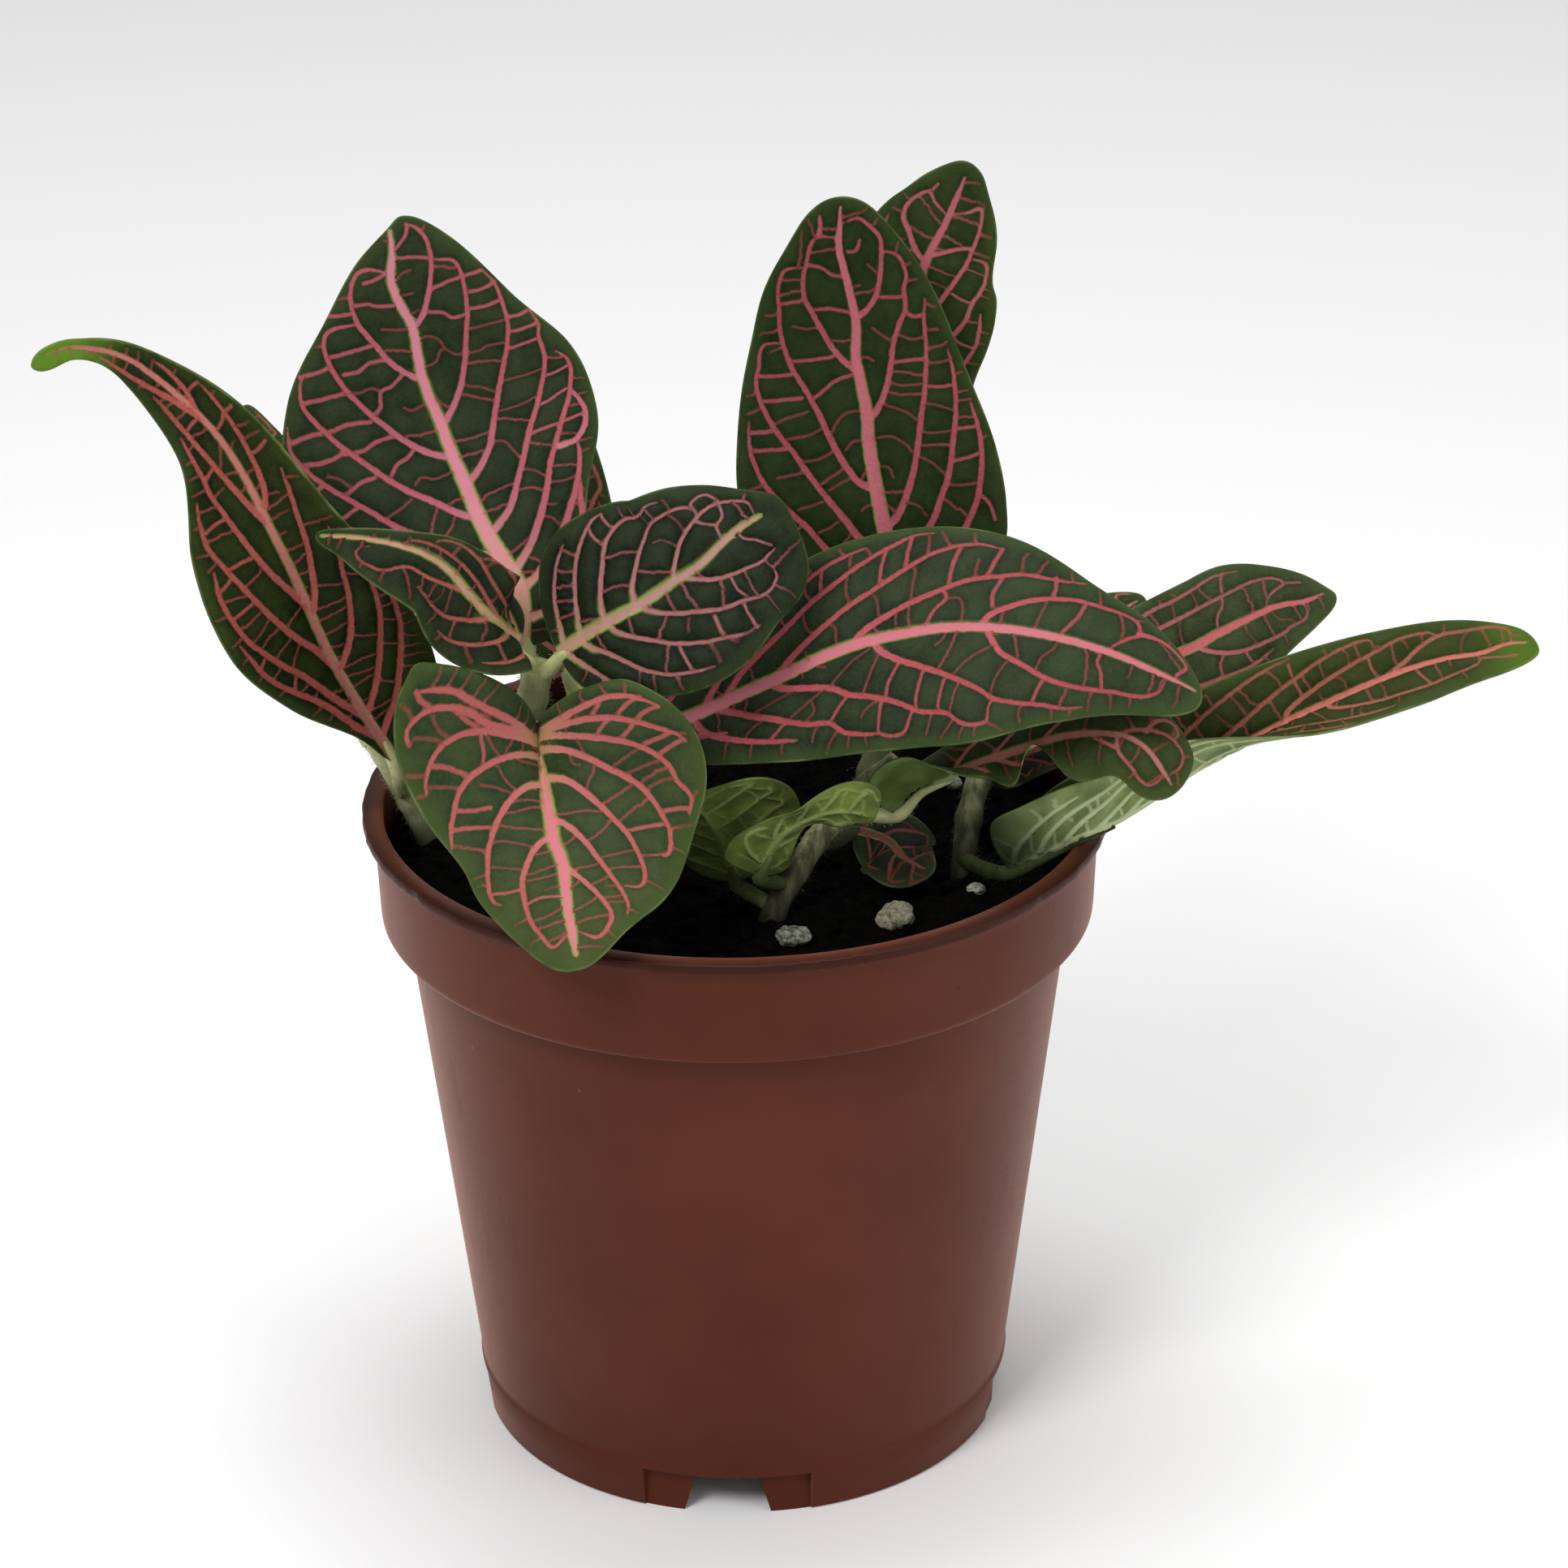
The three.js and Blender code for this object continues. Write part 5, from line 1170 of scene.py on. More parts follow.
def vein_field(places, lines, reach):
    """Signed distance from each place to the nearest vein's border, with that vein's looks."""
    count = len(places)
    distance = np.full(count, reach)
    strength = np.zeros(count)
    pale = np.zeros(count)
    size = np.full(count, 0.3)
    for points, width, strong, light in lines:
        low = points.min(0) - reach - 1
        high = points.max(0) + reach + 1
        near = np.nonzero(np.all((places > low) & (places < high), axis=1))[0]
        if not len(near):
            continue
        start, run = points[:-1], np.diff(points, axis=0)
        square = np.maximum((run ** 2).sum(1), 1e-9)
        gap = places[near, None, :] - start[None]
        part = np.clip((gap * run).sum(2) / square, 0, 1)
        off = np.linalg.norm(gap - part[..., None] * run, axis=2)
        wide = width[:-1] + part * np.diff(width)
        border = off - wide / 2
        best = border.argmin(1)
        row = np.arange(len(near))
        value = border[row, best]
        within_larger = (distance[near] < 0.03) & (size[near] > 1.15 * wide[row, best])
        better = (value < distance[near]) & ~within_larger
        hit = near[better]
        distance[hit] = value[better]
        strength[hit] = strong[best[better]]
        pale[hit] = light[best[better]]
        size[hit] = wide[row, best][better]
    return distance, strength, pale, size


def edge_distance(places, outline):
    """How far each place is from the closed outline."""
    start = outline
    run = np.roll(outline, -1, axis=0) - outline
    square = np.maximum((run ** 2).sum(1), 1e-9)
    result = np.empty(len(places))
    for first in range(0, len(places), 2000):
        gap = places[first:first + 2000, None, :] - start[None]
        part = np.clip((gap * run).sum(2) / square, 0, 1)
        off = np.linalg.norm(gap - part[..., None] * run, axis=2)
        result[first:first + 2000] = off.min(1)
    return result


def thin_out(places, cell):
    """Keeps the first place in each square cell, so near doubles go."""
    for shift in (0, 0.5):
        keys = np.floor(places / cell + shift).astype(np.int64)
        _, first = np.unique(keys[:, 0] * 100003 + keys[:, 1], return_index=True)
        places = places[np.sort(first)]
    return places


def beside(points, offset):
    """The line moved sideways by an offset at each of its points."""
    run = unit(np.gradient(points, axis=0))
    side = np.stack([-run[:, 1], run[:, 0]], -1)
    return points + side * offset[:, None]


def vein_rows(lines):
    """Mesh points on each vein's borders, on its middle and just outside its borders."""
    rows = [beside(points, part * width) for part in (0.5, -0.5, 0) for points, width, *_ in lines]
    for sign in (-1, 1):
        for i, (points, width, *_) in enumerate(lines):
            for beyond in MIDRIB_BORDERS if i == 0 else VEIN_BORDERS:
                rows.append(beside(points, sign * (width / 2 + beyond)))
    return rows


def fill_places(low, high):
    """Places in rows across the blade, each row shifted by half a step from the one before."""
    grid = []
    row = 0
    along = low[1]
    while along < high[1]:
        start = low[0] + (FILL_STEP / 2 if row % 2 else 0)
        for across in np.arange(start, high[0], FILL_STEP):
            grid.append((across, along))
        along += FILL_STEP * 0.866
        row += 1
    return np.array(grid)


def blade_places(blade, lines, outline):
    """The blade's mesh points: along the veins' borders and middles, and a loose fill between them."""
    on_veins = thin_out(np.concatenate(vein_rows(lines)), POINT_GAP)
    grid = fill_places(outline.min(0), outline.max(0))
    distance, *_ = vein_field(grid, lines, 1.0)
    grid = grid[distance > FILL_ROOM]
    inner = []
    for inset in (0.22, 0.6):
        centre = np.array([0, blade.length / 2])
        inner.append(outline + unit(centre - outline) * inset)
    places = np.concatenate([on_veins, *inner, grid])
    inside = places[:, 1] > 0.15
    inside &= places[:, 1] < blade.length - 0.15
    room = blade.width(places[:, 0], np.clip(places[:, 1], 0, blade.length)) - np.abs(places[:, 0])
    places = places[inside & (room > 0.12)]
    return places[edge_distance(places, outline) > POINT_GAP]


def tube_path(points, step):
    """Points every step along a curve whose bends don't overshoot where the points lie unevenly."""
    points = np.asarray(points, float)
    padded = np.concatenate([[2 * points[0] - points[1]], points, [2 * points[-1] - points[-2]]])
    fine = []
    for i in range(len(points) - 1):
        p = padded[i:i + 4]
        gaps = np.maximum(np.linalg.norm(np.diff(p, axis=0), axis=1) ** 0.5, 1e-4)
        t0 = (p[1] - p[0]) / gaps[0] - (p[2] - p[0]) / (gaps[0] + gaps[1]) + (p[2] - p[1]) / gaps[1]
        t1 = (p[2] - p[1]) / gaps[1] - (p[3] - p[1]) / (gaps[1] + gaps[2]) + (p[3] - p[2]) / gaps[2]
        t0, t1 = t0 * gaps[1], t1 * gaps[1]
        f = np.linspace(0, 1, 24, endpoint=False)[:, None]
        square = -3 * p[1] + 3 * p[2] - 2 * t0 - t1
        cube = 2 * p[1] - 2 * p[2] + t0 + t1
        fine.append(p[1] + t0 * f + square * f ** 2 + cube * f ** 3)
    fine = np.concatenate([*fine, points[-1:]])
    lengths = run_length(fine)
    count = max(int(lengths[-1] / step), 3)
    return read_along(fine, lengths, np.linspace(0, lengths[-1], count + 1))


def ring_frames(path):
    """Two directions square to the path at each of its points, without twist."""
    tangent = unit(np.gradient(path, axis=0))
    side = unit(np.cross(tangent[0], [0.3, 0.2, 1.0]))
    sides = []
    for along in tangent:
        side = unit(side - along * (side @ along))
        sides.append(side)
    sides = np.array(sides)
    return sides, np.cross(tangent, sides)


def tube(path, radii, sides):
    """A closed round tube along a path. Returns its points and faces."""
    first, second = ring_frames(path)
    turn = np.arange(sides) * 2 * np.pi / sides
    ring = np.cos(turn)[None, :, None] * first[:, None] + np.sin(turn)[None, :, None] * second[:, None]
    points = (path[:, None] + ring * radii[:, None, None]).reshape(-1, 3)
    points = np.concatenate([points, path[:1], path[-1:]])
    faces = []
    rows = len(path)
    for r in range(rows - 1):
        for c in range(sides):
            a, b = r * sides + c, r * sides + (c + 1) % sides
            faces += [(a, b, b + sides), (a, b + sides, a + sides)]
    start, end = rows * sides, rows * sides + 1
    for c in range(sides):
        a, b = c, (c + 1) % sides
        faces.append((b, a, start))
        faces.append(((rows - 1) * sides + a, (rows - 1) * sides + b, end))
    return points, np.array(faces)


def hairs(path, radii, random, density, length):
    """Fine tapered hairs that stand out from a tube, each a closed spike sunk a little into it."""
    first, second = ring_frames(path)
    lengths = run_length(path)
    count = int(density * lengths[-1])
    points, faces = [], []
    for _ in range(count):
        i = random.integers(0, len(path))
        turn = random.uniform(0, 2 * np.pi)
        out = np.cos(turn) * first[i] + np.sin(turn) * second[i]
        lean = unit(out + random.normal(0, 0.35, 3))
        base = path[i] + out * radii[i] * 0.93 + random.normal(0, 0.15, 3)
        tall = length * random.uniform(0.45, 1.15)
        side = unit(np.cross(lean, [0.2, 0.9, 0.4]))
        other = np.cross(lean, side)
        start = len(points)
        for k in range(3):
            angle = 2 * np.pi * k / 3
            points.append(base + HAIR_RADIUS * (np.cos(angle) * side + np.sin(angle) * other))
        points.append(base + lean * tall + np.array([0, 0, -0.12 * tall]))
        faces += [(start, start + 1, start + 3), (start + 1, start + 2, start + 3),
                  (start + 2, start, start + 3), (start, start + 2, start + 1)]
    return np.array(points).reshape(-1, 3), np.array(faces, int).reshape(-1, 3)


def join_parts(parts):
    """Joins (points, faces) pairs into one pair."""
    points, faces, count = [], [], 0
    for part_points, part_faces in parts:
        points.append(part_points)
        faces.append(part_faces + count)
        count += len(part_points)
    return np.concatenate(points), np.concatenate(faces)


def level_circle(radius, z, turns):
    """Points round the pot's axis at one height."""
    return [(radius * math.cos(a), radius * math.sin(a), z) for a in turns]


def new_mesh(name, points, faces):
    """A mesh from points in millimetres round the pot's axis."""
    mesh = bpy.data.meshes.new(name)
    mesh.from_pydata((points * MM + POT_AXIS).tolist(), [], faces.tolist())
    return mesh


def add_values(mesh, attributes):
    """Stores a number at each point of the mesh under each name, for the material to read."""
    for key, values in attributes.items():
        layer = mesh.attributes.new(key, "FLOAT", "POINT")
        layer.data.foreach_set("value", np.asarray(values, np.float32))


def add_object(name, data):
    """Puts a mesh, a camera or a light in the scene."""
    thing = bpy.data.objects.new(name, data)
    bpy.context.scene.collection.objects.link(thing)
    return thing


def make_piece(name, points, faces, material, replaced, attributes=None):
    """A smooth shaded piece in the scene that stands for a CAD node."""
    mesh = new_mesh(name, points, faces)
    mesh.shade_smooth()
    add_values(mesh, attributes or {})
    mesh.materials.append(material)
    mesh.update()
    piece = add_object(name, mesh)
    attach(piece, "root")
    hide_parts(replaced)
    return piece


# Materials

def colour(code):
    """A colour written as six hex digits of its screen value."""
    parts = [int(code[i:i + 2], 16) / 255 for i in (0, 2, 4)]
    linear = [c / 12.92 if c <= 0.04045 else ((c + 0.055) / 1.055) ** 2.4 for c in parts]
    return (*linear, 1)


def blend(part, a, b):
    """One colour between two, part of the way from a to b."""
    return tuple(x + part * (y - x) for x, y in zip(a, b))


class Shader:
    """A small helper that adds nodes to a material and joins them."""

    def __init__(self, name):
        self.material = bpy.data.materials.new(name)
        self.material.use_nodes = True
        self.tree = self.material.node_tree
        self.surface = self.tree.nodes["Principled BSDF"]

    def join(self, socket, value):
        """Links another node's output to the socket, or sets the socket to a plain value."""
        if isinstance(value, bpy.types.NodeSocket):
            self.tree.links.new(value, socket)
        else:
            socket.default_value = value

    def set(self, **values):
        """Sets or links the surface's own inputs, named with a low line for each space."""
        for key, value in values.items():
            self.join(self.surface.inputs[key.replace("_", " ")], value)

    def add(self, kind, **settings):
        node = self.tree.nodes.new(kind)
        for key, value in settings.items():
            setattr(node, key, value)
        return node

    def attribute(self, name):
        return self.add("ShaderNodeAttribute", attribute_name=name).outputs["Fac"]

    def math(self, operation, a, b=0.0):
        node = self.add("ShaderNodeMath", operation=operation)
        self.join(node.inputs[0], a)
        self.join(node.inputs[1], b)
        return node.outputs[0]

    def ramp(self, value, low, high, out_low=0.0, out_high=1.0, smooth=True):
        node = self.add("ShaderNodeMapRange", interpolation_type="SMOOTHSTEP" if smooth else "LINEAR")
        self.join(node.inputs["Value"], value)
        self.join(node.inputs["From Min"], low)
        self.join(node.inputs["From Max"], high)
        self.join(node.inputs["To Min"], out_low)
        self.join(node.inputs["To Max"], out_high)
        return node.outputs["Result"]

    def mix(self, part, a, b):
        node = self.add("ShaderNodeMix", data_type="RGBA")
        self.join(node.inputs[0], part)
        self.join(node.inputs[6], a)
        self.join(node.inputs[7], b)
        return node.outputs[2]

    def place(self):
        return self.add("ShaderNodeTexCoord").outputs["Object"]

    def noise(self, scale, detail=2.0, roughness=0.5, stretch=None):
        node = self.add("ShaderNodeTexNoise")
        where = self.place()
        if stretch:
            mapping = self.add("ShaderNodeMapping")
            mapping.inputs["Scale"].default_value = stretch
            self.join(mapping.inputs["Vector"], where)
            where = mapping.outputs[0]
        self.join(node.inputs["Vector"], where)
        node.inputs["Scale"].default_value = scale
        node.inputs["Detail"].default_value = detail
        node.inputs["Roughness"].default_value = roughness
        return node.outputs["Fac"]

    def cells(self, scale, output="Distance"):
        node = self.add("ShaderNodeTexVoronoi", feature="F1")
        self.join(node.inputs["Vector"], self.place())
        node.inputs["Scale"].default_value = scale
        return node.outputs[output]

    def bump(self, height, distance, strength=1.0):
        node = self.add("ShaderNodeBump")
        node.inputs["Strength"].default_value = strength
        node.inputs["Distance"].default_value = distance
        self.join(node.inputs["Height"], height)
        return node.outputs["Normal"]


def halo_part(shader, leaf):
    """How far the yellow-green border of the midrib and of the side veins' starts covers the panels."""
    amount = leaf.get("halo", 0)
    fade = shader.ramp(shader.attribute("along"), 0.3, 0.85, 0.5 + 0.4 * amount, 0.0)
    middle = shader.attribute("middle")
    halo = shader.math("MULTIPLY", shader.ramp(middle, 0.32 + 0.2 * amount, 0.05), fade)
    if amount:
        vein, pale = shader.attribute("vein"), shader.attribute("pale")
        starts = shader.math("MULTIPLY", shader.ramp(vein, 0.34, 0.05), shader.ramp(pale, 0.3, 0.6))
        halo = shader.math("MAXIMUM", halo, shader.math("MULTIPLY", starts, 0.55 * amount))
    return halo


def panel_colour(shader, leaf, mottle, fine):
    """The green between the veins, lighter to the tip and the margin, with painted shade by the veins
    and a painted highlight in each panel's middle.
    """
    along = shader.attribute("along")
    green = leaf.get("green", 0.3)
    dark, light = leaf.get("panel", ("17220c", "3a4524"))
    lift = shader.math("ADD", shader.ramp(along, 0.3, 1.0, 0.35, 0.35 + 0.5 * green),
                       shader.ramp(mottle, 0.36, 0.64, -0.13, 0.13))
    # Painted shade by the veins and painted highlight in the middle of each panel, as on swollen panels.
    lift = shader.math("ADD", lift, shader.ramp(shader.attribute("vein"), 0.1, 0.9, -0.08, 0.14))
    lift = shader.math("ADD", lift, shader.ramp(fine, 0.35, 0.7, -0.1, 0.1))
    panel = shader.mix(lift, colour(dark), colour(light))
    margin = shader.ramp(shader.attribute("edge"), 0.3, 2.0, 0.1 + 0.6 * green, 0.0)
    panel = shader.mix(margin, panel, colour("3c4e22"))
    if "bright_tip" in leaf:
        tip = shader.ramp(along, leaf["bright_tip"] - 0.05, leaf["bright_tip"] + 0.06)
        panel = shader.mix(tip, panel, colour(leaf.get("tip", "54761f")))
    return shader.mix(halo_part(shader, leaf), panel, colour("8d9a4c"))


def vein_colour(shader, leaf, fine):
    """The pink of the veins on the upper side: pale by the midrib, redder in the fine ones."""
    pale = shader.attribute("pale")
    far, near, middle = leaf.get("veins", ("8c453e", "a0605a", "ad6a64"))
    line = shader.mix(shader.ramp(pale, 0.0, 0.6, smooth=False), colour(far), colour(near))
    line = shader.mix(shader.ramp(pale, 0.6, 1.0, smooth=False), line, colour(middle))
    if "cream" in leaf:
        near_base = shader.ramp(shader.attribute("along"), 0.0, 0.4, leaf["cream"], 0.0)
        cream = shader.math("MULTIPLY", near_base, shader.ramp(pale, 0.15, 0.6))
        line = shader.mix(cream, line, colour("b89c68"))
    line = shader.mix(shader.ramp(fine, 0.35, 0.7, 0.0, 0.1), line, colour("c58f8c"))
    weak = shader.ramp(shader.attribute("strength"), 0.3, 0.95, 0.8, 0.0)
    line = shader.mix(weak, line, colour("7e3532"))
    if "dull" in leaf:
        line = shader.mix(leaf["dull"], line, colour("4a2018"))
    return line


def underside_colour(shader, leaf, mottle):
    """The pale green below, with its veins paler still, and painted shade toward the base where the leaf
    asks for it.
    """
    dark, light = leaf.get("back", ("56683c", "6f8352"))
    back = shader.mix(shader.ramp(mottle, 0.3, 0.75), colour(dark), colour(light))
    rib = shader.math("MULTIPLY", shader.ramp(shader.attribute("vein"), 0.15, -0.1),
                      shader.ramp(shader.attribute("strength"), 0.2, 1.0, 0.35, 0.9, False))
    back = shader.mix(rib, back, blend(leaf.get("back_veins", 0.4), colour(light), colour("d2d8b4")))
    # Painted shade: the underside darkens toward the leaf's base.
    if "painted_shade_base" in leaf:
        base = shader.ramp(shader.attribute("along"), 0.0, leaf["painted_shade_base"], 0.85, 0.0)
        back = shader.mix(base, back, colour("1c2113"))
    return back


def leaf_material(name, leaf):
    """One material for both sides of the blade, its thin rim and its stalk."""
    shader = Shader(name)
    mottle = shader.noise(260, 3)
    fine = shader.noise(2600, 2)
    cover = shader.math("MULTIPLY", shader.ramp(shader.attribute("vein"), 0.12, -0.11),
                        shader.ramp(shader.attribute("strength"), 0.0, 1.0, 0.1, 1.0, False))
    top = shader.mix(cover, panel_colour(shader, leaf, mottle, fine), vein_colour(shader, leaf, fine))
    rim = shader.math("MULTIPLY", shader.ramp(shader.attribute("edge"), 0.3, 0.05),
                      shader.ramp(mottle, 0.35, 0.7, 0.05, 0.4))
    top = shader.mix(rim, top, colour("7f8c58"))
    surface = shader.mix(shader.attribute("under"), top, underside_colour(shader, leaf, mottle))
    stalk_dark, stalk_light = leaf.get("stalk", ("959a64", "bdc08e"))
    stalk = shader.mix(shader.ramp(mottle, 0.3, 0.7), colour(stalk_dark), colour(stalk_light))
    surface = shader.mix(shader.attribute("stalk"), surface, stalk)
    bump = shader.math("ADD", shader.math("MULTIPLY", shader.cells(5200), 0.7), fine)
    shader.set(
        Base_Color=surface,
        Roughness=shader.ramp(fine, 0.3, 0.75, 0.5, 0.64, False),
        Normal=shader.bump(bump, 0.00006, 0.5),
        Specular_IOR_Level=leaf.get("shine", 0.07),
    )
    return shader.material


def stem_material(name, stem):
    """Streaked green with brown spots, and painted shade where it nears the soil."""
    shader = Shader(name)
    streaks = shader.noise(700, 3, 0.6, (1, 1, 0.15))
    spots = shader.noise(300, 2)
    base = shader.mix(shader.ramp(streaks, 0.35, 0.75), colour(stem["colour"]), colour("b3b58a"))
    base = shader.mix(shader.ramp(spots, 0.5, 0.75, 0.0, 0.3), base, colour("7a604a"))
    # Painted shade: the stem darkens toward the soil, where the pot's interior lies in shade.
    painted_shade_near_soil = shader.ramp(shader.attribute("height"), SOIL_LEVEL, stem.get("painted_shade_below", 88), 0.9, 0.0)
    base = shader.mix(painted_shade_near_soil, base, colour("191611"))
    shader.set(Base_Color=base, Roughness=0.6, Normal=shader.bump(streaks, 0.0001, 0.6),
               Specular_IOR_Level=0.15)
    return shader.material


def soil_material():
    """Near black, a dark soil deepened by painted shade, with brown fibres and a few pale specks."""
    shader = Shader("potting_soil")
    lumps = shader.noise(900, 6, 0.65)
    fine = shader.noise(5200, 3)
    # The soil's own dark colour, darkened further as painted shade of the pot's interior.
    tone = shader.mix(shader.ramp(lumps, 0.4, 0.75), colour("030302"), colour("110d0a"))
    fibre = shader.noise(500, 4, 0.6, (6, 1, 1))
    tone = shader.mix(shader.ramp(fibre, 0.66, 0.76, 0.0, 0.6), tone, colour("1f1610"))
    specks = shader.ramp(shader.cells(620), 0.13, 0.09)
    chance = shader.ramp(shader.cells(620, output="Color"), 0.86, 0.9)
    tone = shader.mix(shader.math("MULTIPLY", specks, chance), tone, colour("a9aca6"))
    crumbs = shader.math("ADD", lumps, fine)
    shader.set(Base_Color=tone, Roughness=0.95, Normal=shader.bump(crumbs, 0.0006),
               Specular_IOR_Level=0.05)
    return shader.material


def grain_material(name, code):
    """Mottled stone round one main colour, darker in its hollows."""
    shader = Shader(name)
    mottle = shader.noise(1500, 4, 0.6)
    base = shader.mix(shader.ramp(mottle, 0.35, 0.7), colour(code), colour("a29d8b"))
    base = shader.mix(shader.ramp(shader.noise(2600, 2), 0.55, 0.7, 0.0, 0.7), base, colour("39342a"))
    shader.set(Base_Color=base, Roughness=0.85, Normal=shader.bump(mottle, 0.0004),
               Specular_IOR_Level=0.2)
    return shader.material


def pot_material():
    """Red-brown plastic with a soft bloom, darkened by painted shade on the lip and inside, with fine
    specks and nicks.
    """
    shader = Shader("moulded_plastic")
    height = shader.attribute("height")
    lip = shader.attribute("lip")
    cloud = shader.noise(38, 3)
    grain = shader.noise(3200, 2)
    base = shader.mix(shader.ramp(cloud, 0.3, 0.7), colour("4c2114"), colour("55271a"))
    base = shader.mix(shader.ramp(height, 0.0, 30, 0.25, 0.0), base, colour("40190f"))
    # Painted shade: the lip is darkened.
    base = shader.mix(shader.ramp(lip, 0.0, 1.0, 0.0, 0.8), base, colour("2c130b"))
    # Painted shade: the inner wall below the rim turns near black.
    base = shader.mix(shader.attribute("inside"), base, colour("0f0705"))
    specks = shader.math("MULTIPLY", shader.ramp(shader.cells(190), 0.06, 0.035),
                         shader.ramp(shader.cells(190, output="Color"), 0.8, 0.84))
    base = shader.mix(shader.math("MULTIPLY", specks, 0.55), base, colour("8f6454"))
    nicks = shader.math("MULTIPLY", shader.ramp(shader.cells(150), 0.07, 0.03),
                        shader.ramp(shader.cells(150, output="Color"), 0.86, 0.9))
    base = shader.mix(shader.math("MULTIPLY", nicks, 0.7), base, colour("2f1410"))
    scuffs = shader.noise(240, 5, 0.7, (1, 1, 0.2))
    rough = shader.math("ADD", shader.ramp(grain, 0.3, 0.7, 0.36, 0.44, False),
                        shader.ramp(scuffs, 0.5, 0.8, 0.0, 0.1))
    height_map = shader.math("MULTIPLY", cloud, 2.0)
    height_map = shader.math("ADD", shader.math("MULTIPLY", grain, 0.3), height_map)
    shader.set(
        Base_Color=base,
        Roughness=rough,
        Normal=shader.bump(height_map, 0.00012, 0.5),
        # The inner wall and the lip also lose reflection and sheen, as part of their painted shade.
        Specular_IOR_Level=shader.ramp(shader.attribute("inside"), 0.0, 1.0, 0.1, 0.0),
        Sheen_Weight=shader.math("MULTIPLY", shader.ramp(shader.attribute("inside"), 0.0, 1.0, 0.4, 0.0),
                                 shader.ramp(lip, 0.0, 1.0, 1.0, 0.2)),
        Sheen_Roughness=0.35,
        Sheen_Tint=colour("f0ab92"),
    )
    return shader.material


def floor_material():
    shader = Shader("pale_floor")
    shader.set(Base_Color=(0.9, 0.9, 0.9, 1), Roughness=0.85)
    return shader.material


# Pieces

def blade_net(blade, lines):
    """The flattened blade's mesh points and triangles, counter-clockwise on the upper side."""
    outline = blade.outline(MARGIN_STEP)
    places = blade_places(blade, lines, outline)
    count = len(outline)
    corners = [Vector(p) for p in np.concatenate([outline, places])]
    ring = [(i, (i + 1) % count) for i in range(count)]
    flat, _, triangles, *_ = delaunay_2d_cdt(corners, ring, [], 1, 1e-5)
    flat = np.array([tuple(p) for p in flat])
    triangles = np.array(triangles)
    middle, normal = blade.place(flat[:, 0], np.clip(flat[:, 1], 0, blade.length))
    facing = np.cross(middle[triangles[:, 1]] - middle[triangles[:, 0]],
                      middle[triangles[:, 2]] - middle[triangles[:, 0]])
    if ((facing * normal[triangles[:, 0]]).sum(1)).mean() < 0:
        triangles = triangles[:, ::-1]
    return flat, triangles, edge_distance(flat, outline)


def blade_skins(blade, flat, field, edge, quilt):
    """The upper and the lower skin's points, with the swollen panels and the ribs below."""
    vein, strength, _, size = field
    middle, normal = blade.place(flat[:, 0], np.clip(flat[:, 1], 0, blade.length))
    depth = np.where(strength > STRONG, 1.0, 0.55 * strength / 0.8)
    swell = 1 - depth * np.exp(-np.maximum(vein, 0) / SWELL_REACH)
    swell = RELIEF * quilt * swell * np.clip(edge / 2, 0, 1)
    from_edge = np.clip(edge / MARGIN_FADE, 0, 1)
    half = EDGE_HALF + (BLADE_HALF - EDGE_HALF) * from_edge
    rib_height = np.where(strength > STRONG, RIB_HEIGHT * size, FINE_RIB_HEIGHT * size)
    ridge = np.clip((0.2 - vein) / (0.2 + size / 2), 0, 1)
    rib = rib_height * (3 * ridge ** 2 - 2 * ridge ** 3) * from_edge
    return middle + normal * (swell + half)[:, None], middle + normal * (swell - half - rib)[:, None]


def closed_faces(triangles, total):
    """Faces of both skins and of the margin that joins them."""
    edges = np.concatenate([triangles[:, [0, 1]], triangles[:, [1, 2]], triangles[:, [2, 0]]])
    known = set(map(tuple, edges.tolist()))
    border = [(a, b) for a, b in edges.tolist() if (b, a) not in known]
    sides = [((b, a, a + total), (b, a + total, b + total)) for a, b in border]
    sides = np.array([face for pair in sides for face in pair])
    return np.concatenate([triangles, triangles[:, ::-1] + total, sides])


def leaf_stalk(leaf, blade, random):
    """The stalk from the stem to under the midrib's base, and its hairs."""
    base, (first,) = blade.place(np.array([0.0]), np.array([0.0]))
    inner, tilt = blade.place(np.zeros(2), np.array([0.1, 0.2]) * blade.length)
    root = np.array(leaf["root"], float)
    bow = (root + base[0]) / 2
    bow[2] -= 0.06 * np.linalg.norm(root - base[0])
    lowered = [base[0] - 0.5 * first, inner[0] - 0.75 * tilt[0], inner[1] - 0.6 * tilt[1]]
    path = tube_path([root, bow, *lowered], 0.7)
    gap = np.linalg.norm(path - lowered[0], axis=1).argmin()
    past = np.maximum(np.arange(len(path)) - gap, 0) / max(len(path) - 1 - gap, 1)
    radii = STALK_RADIUS * (1 - 0.2 * np.clip(past * 4, 0, 1) - 0.45 * past)
    open_part = past < 0.3
    fuzz = hairs(path[open_part], radii[open_part], random, **STALK_HAIRS)
    return [tube(path, radii, STALK_SIDES), fuzz]


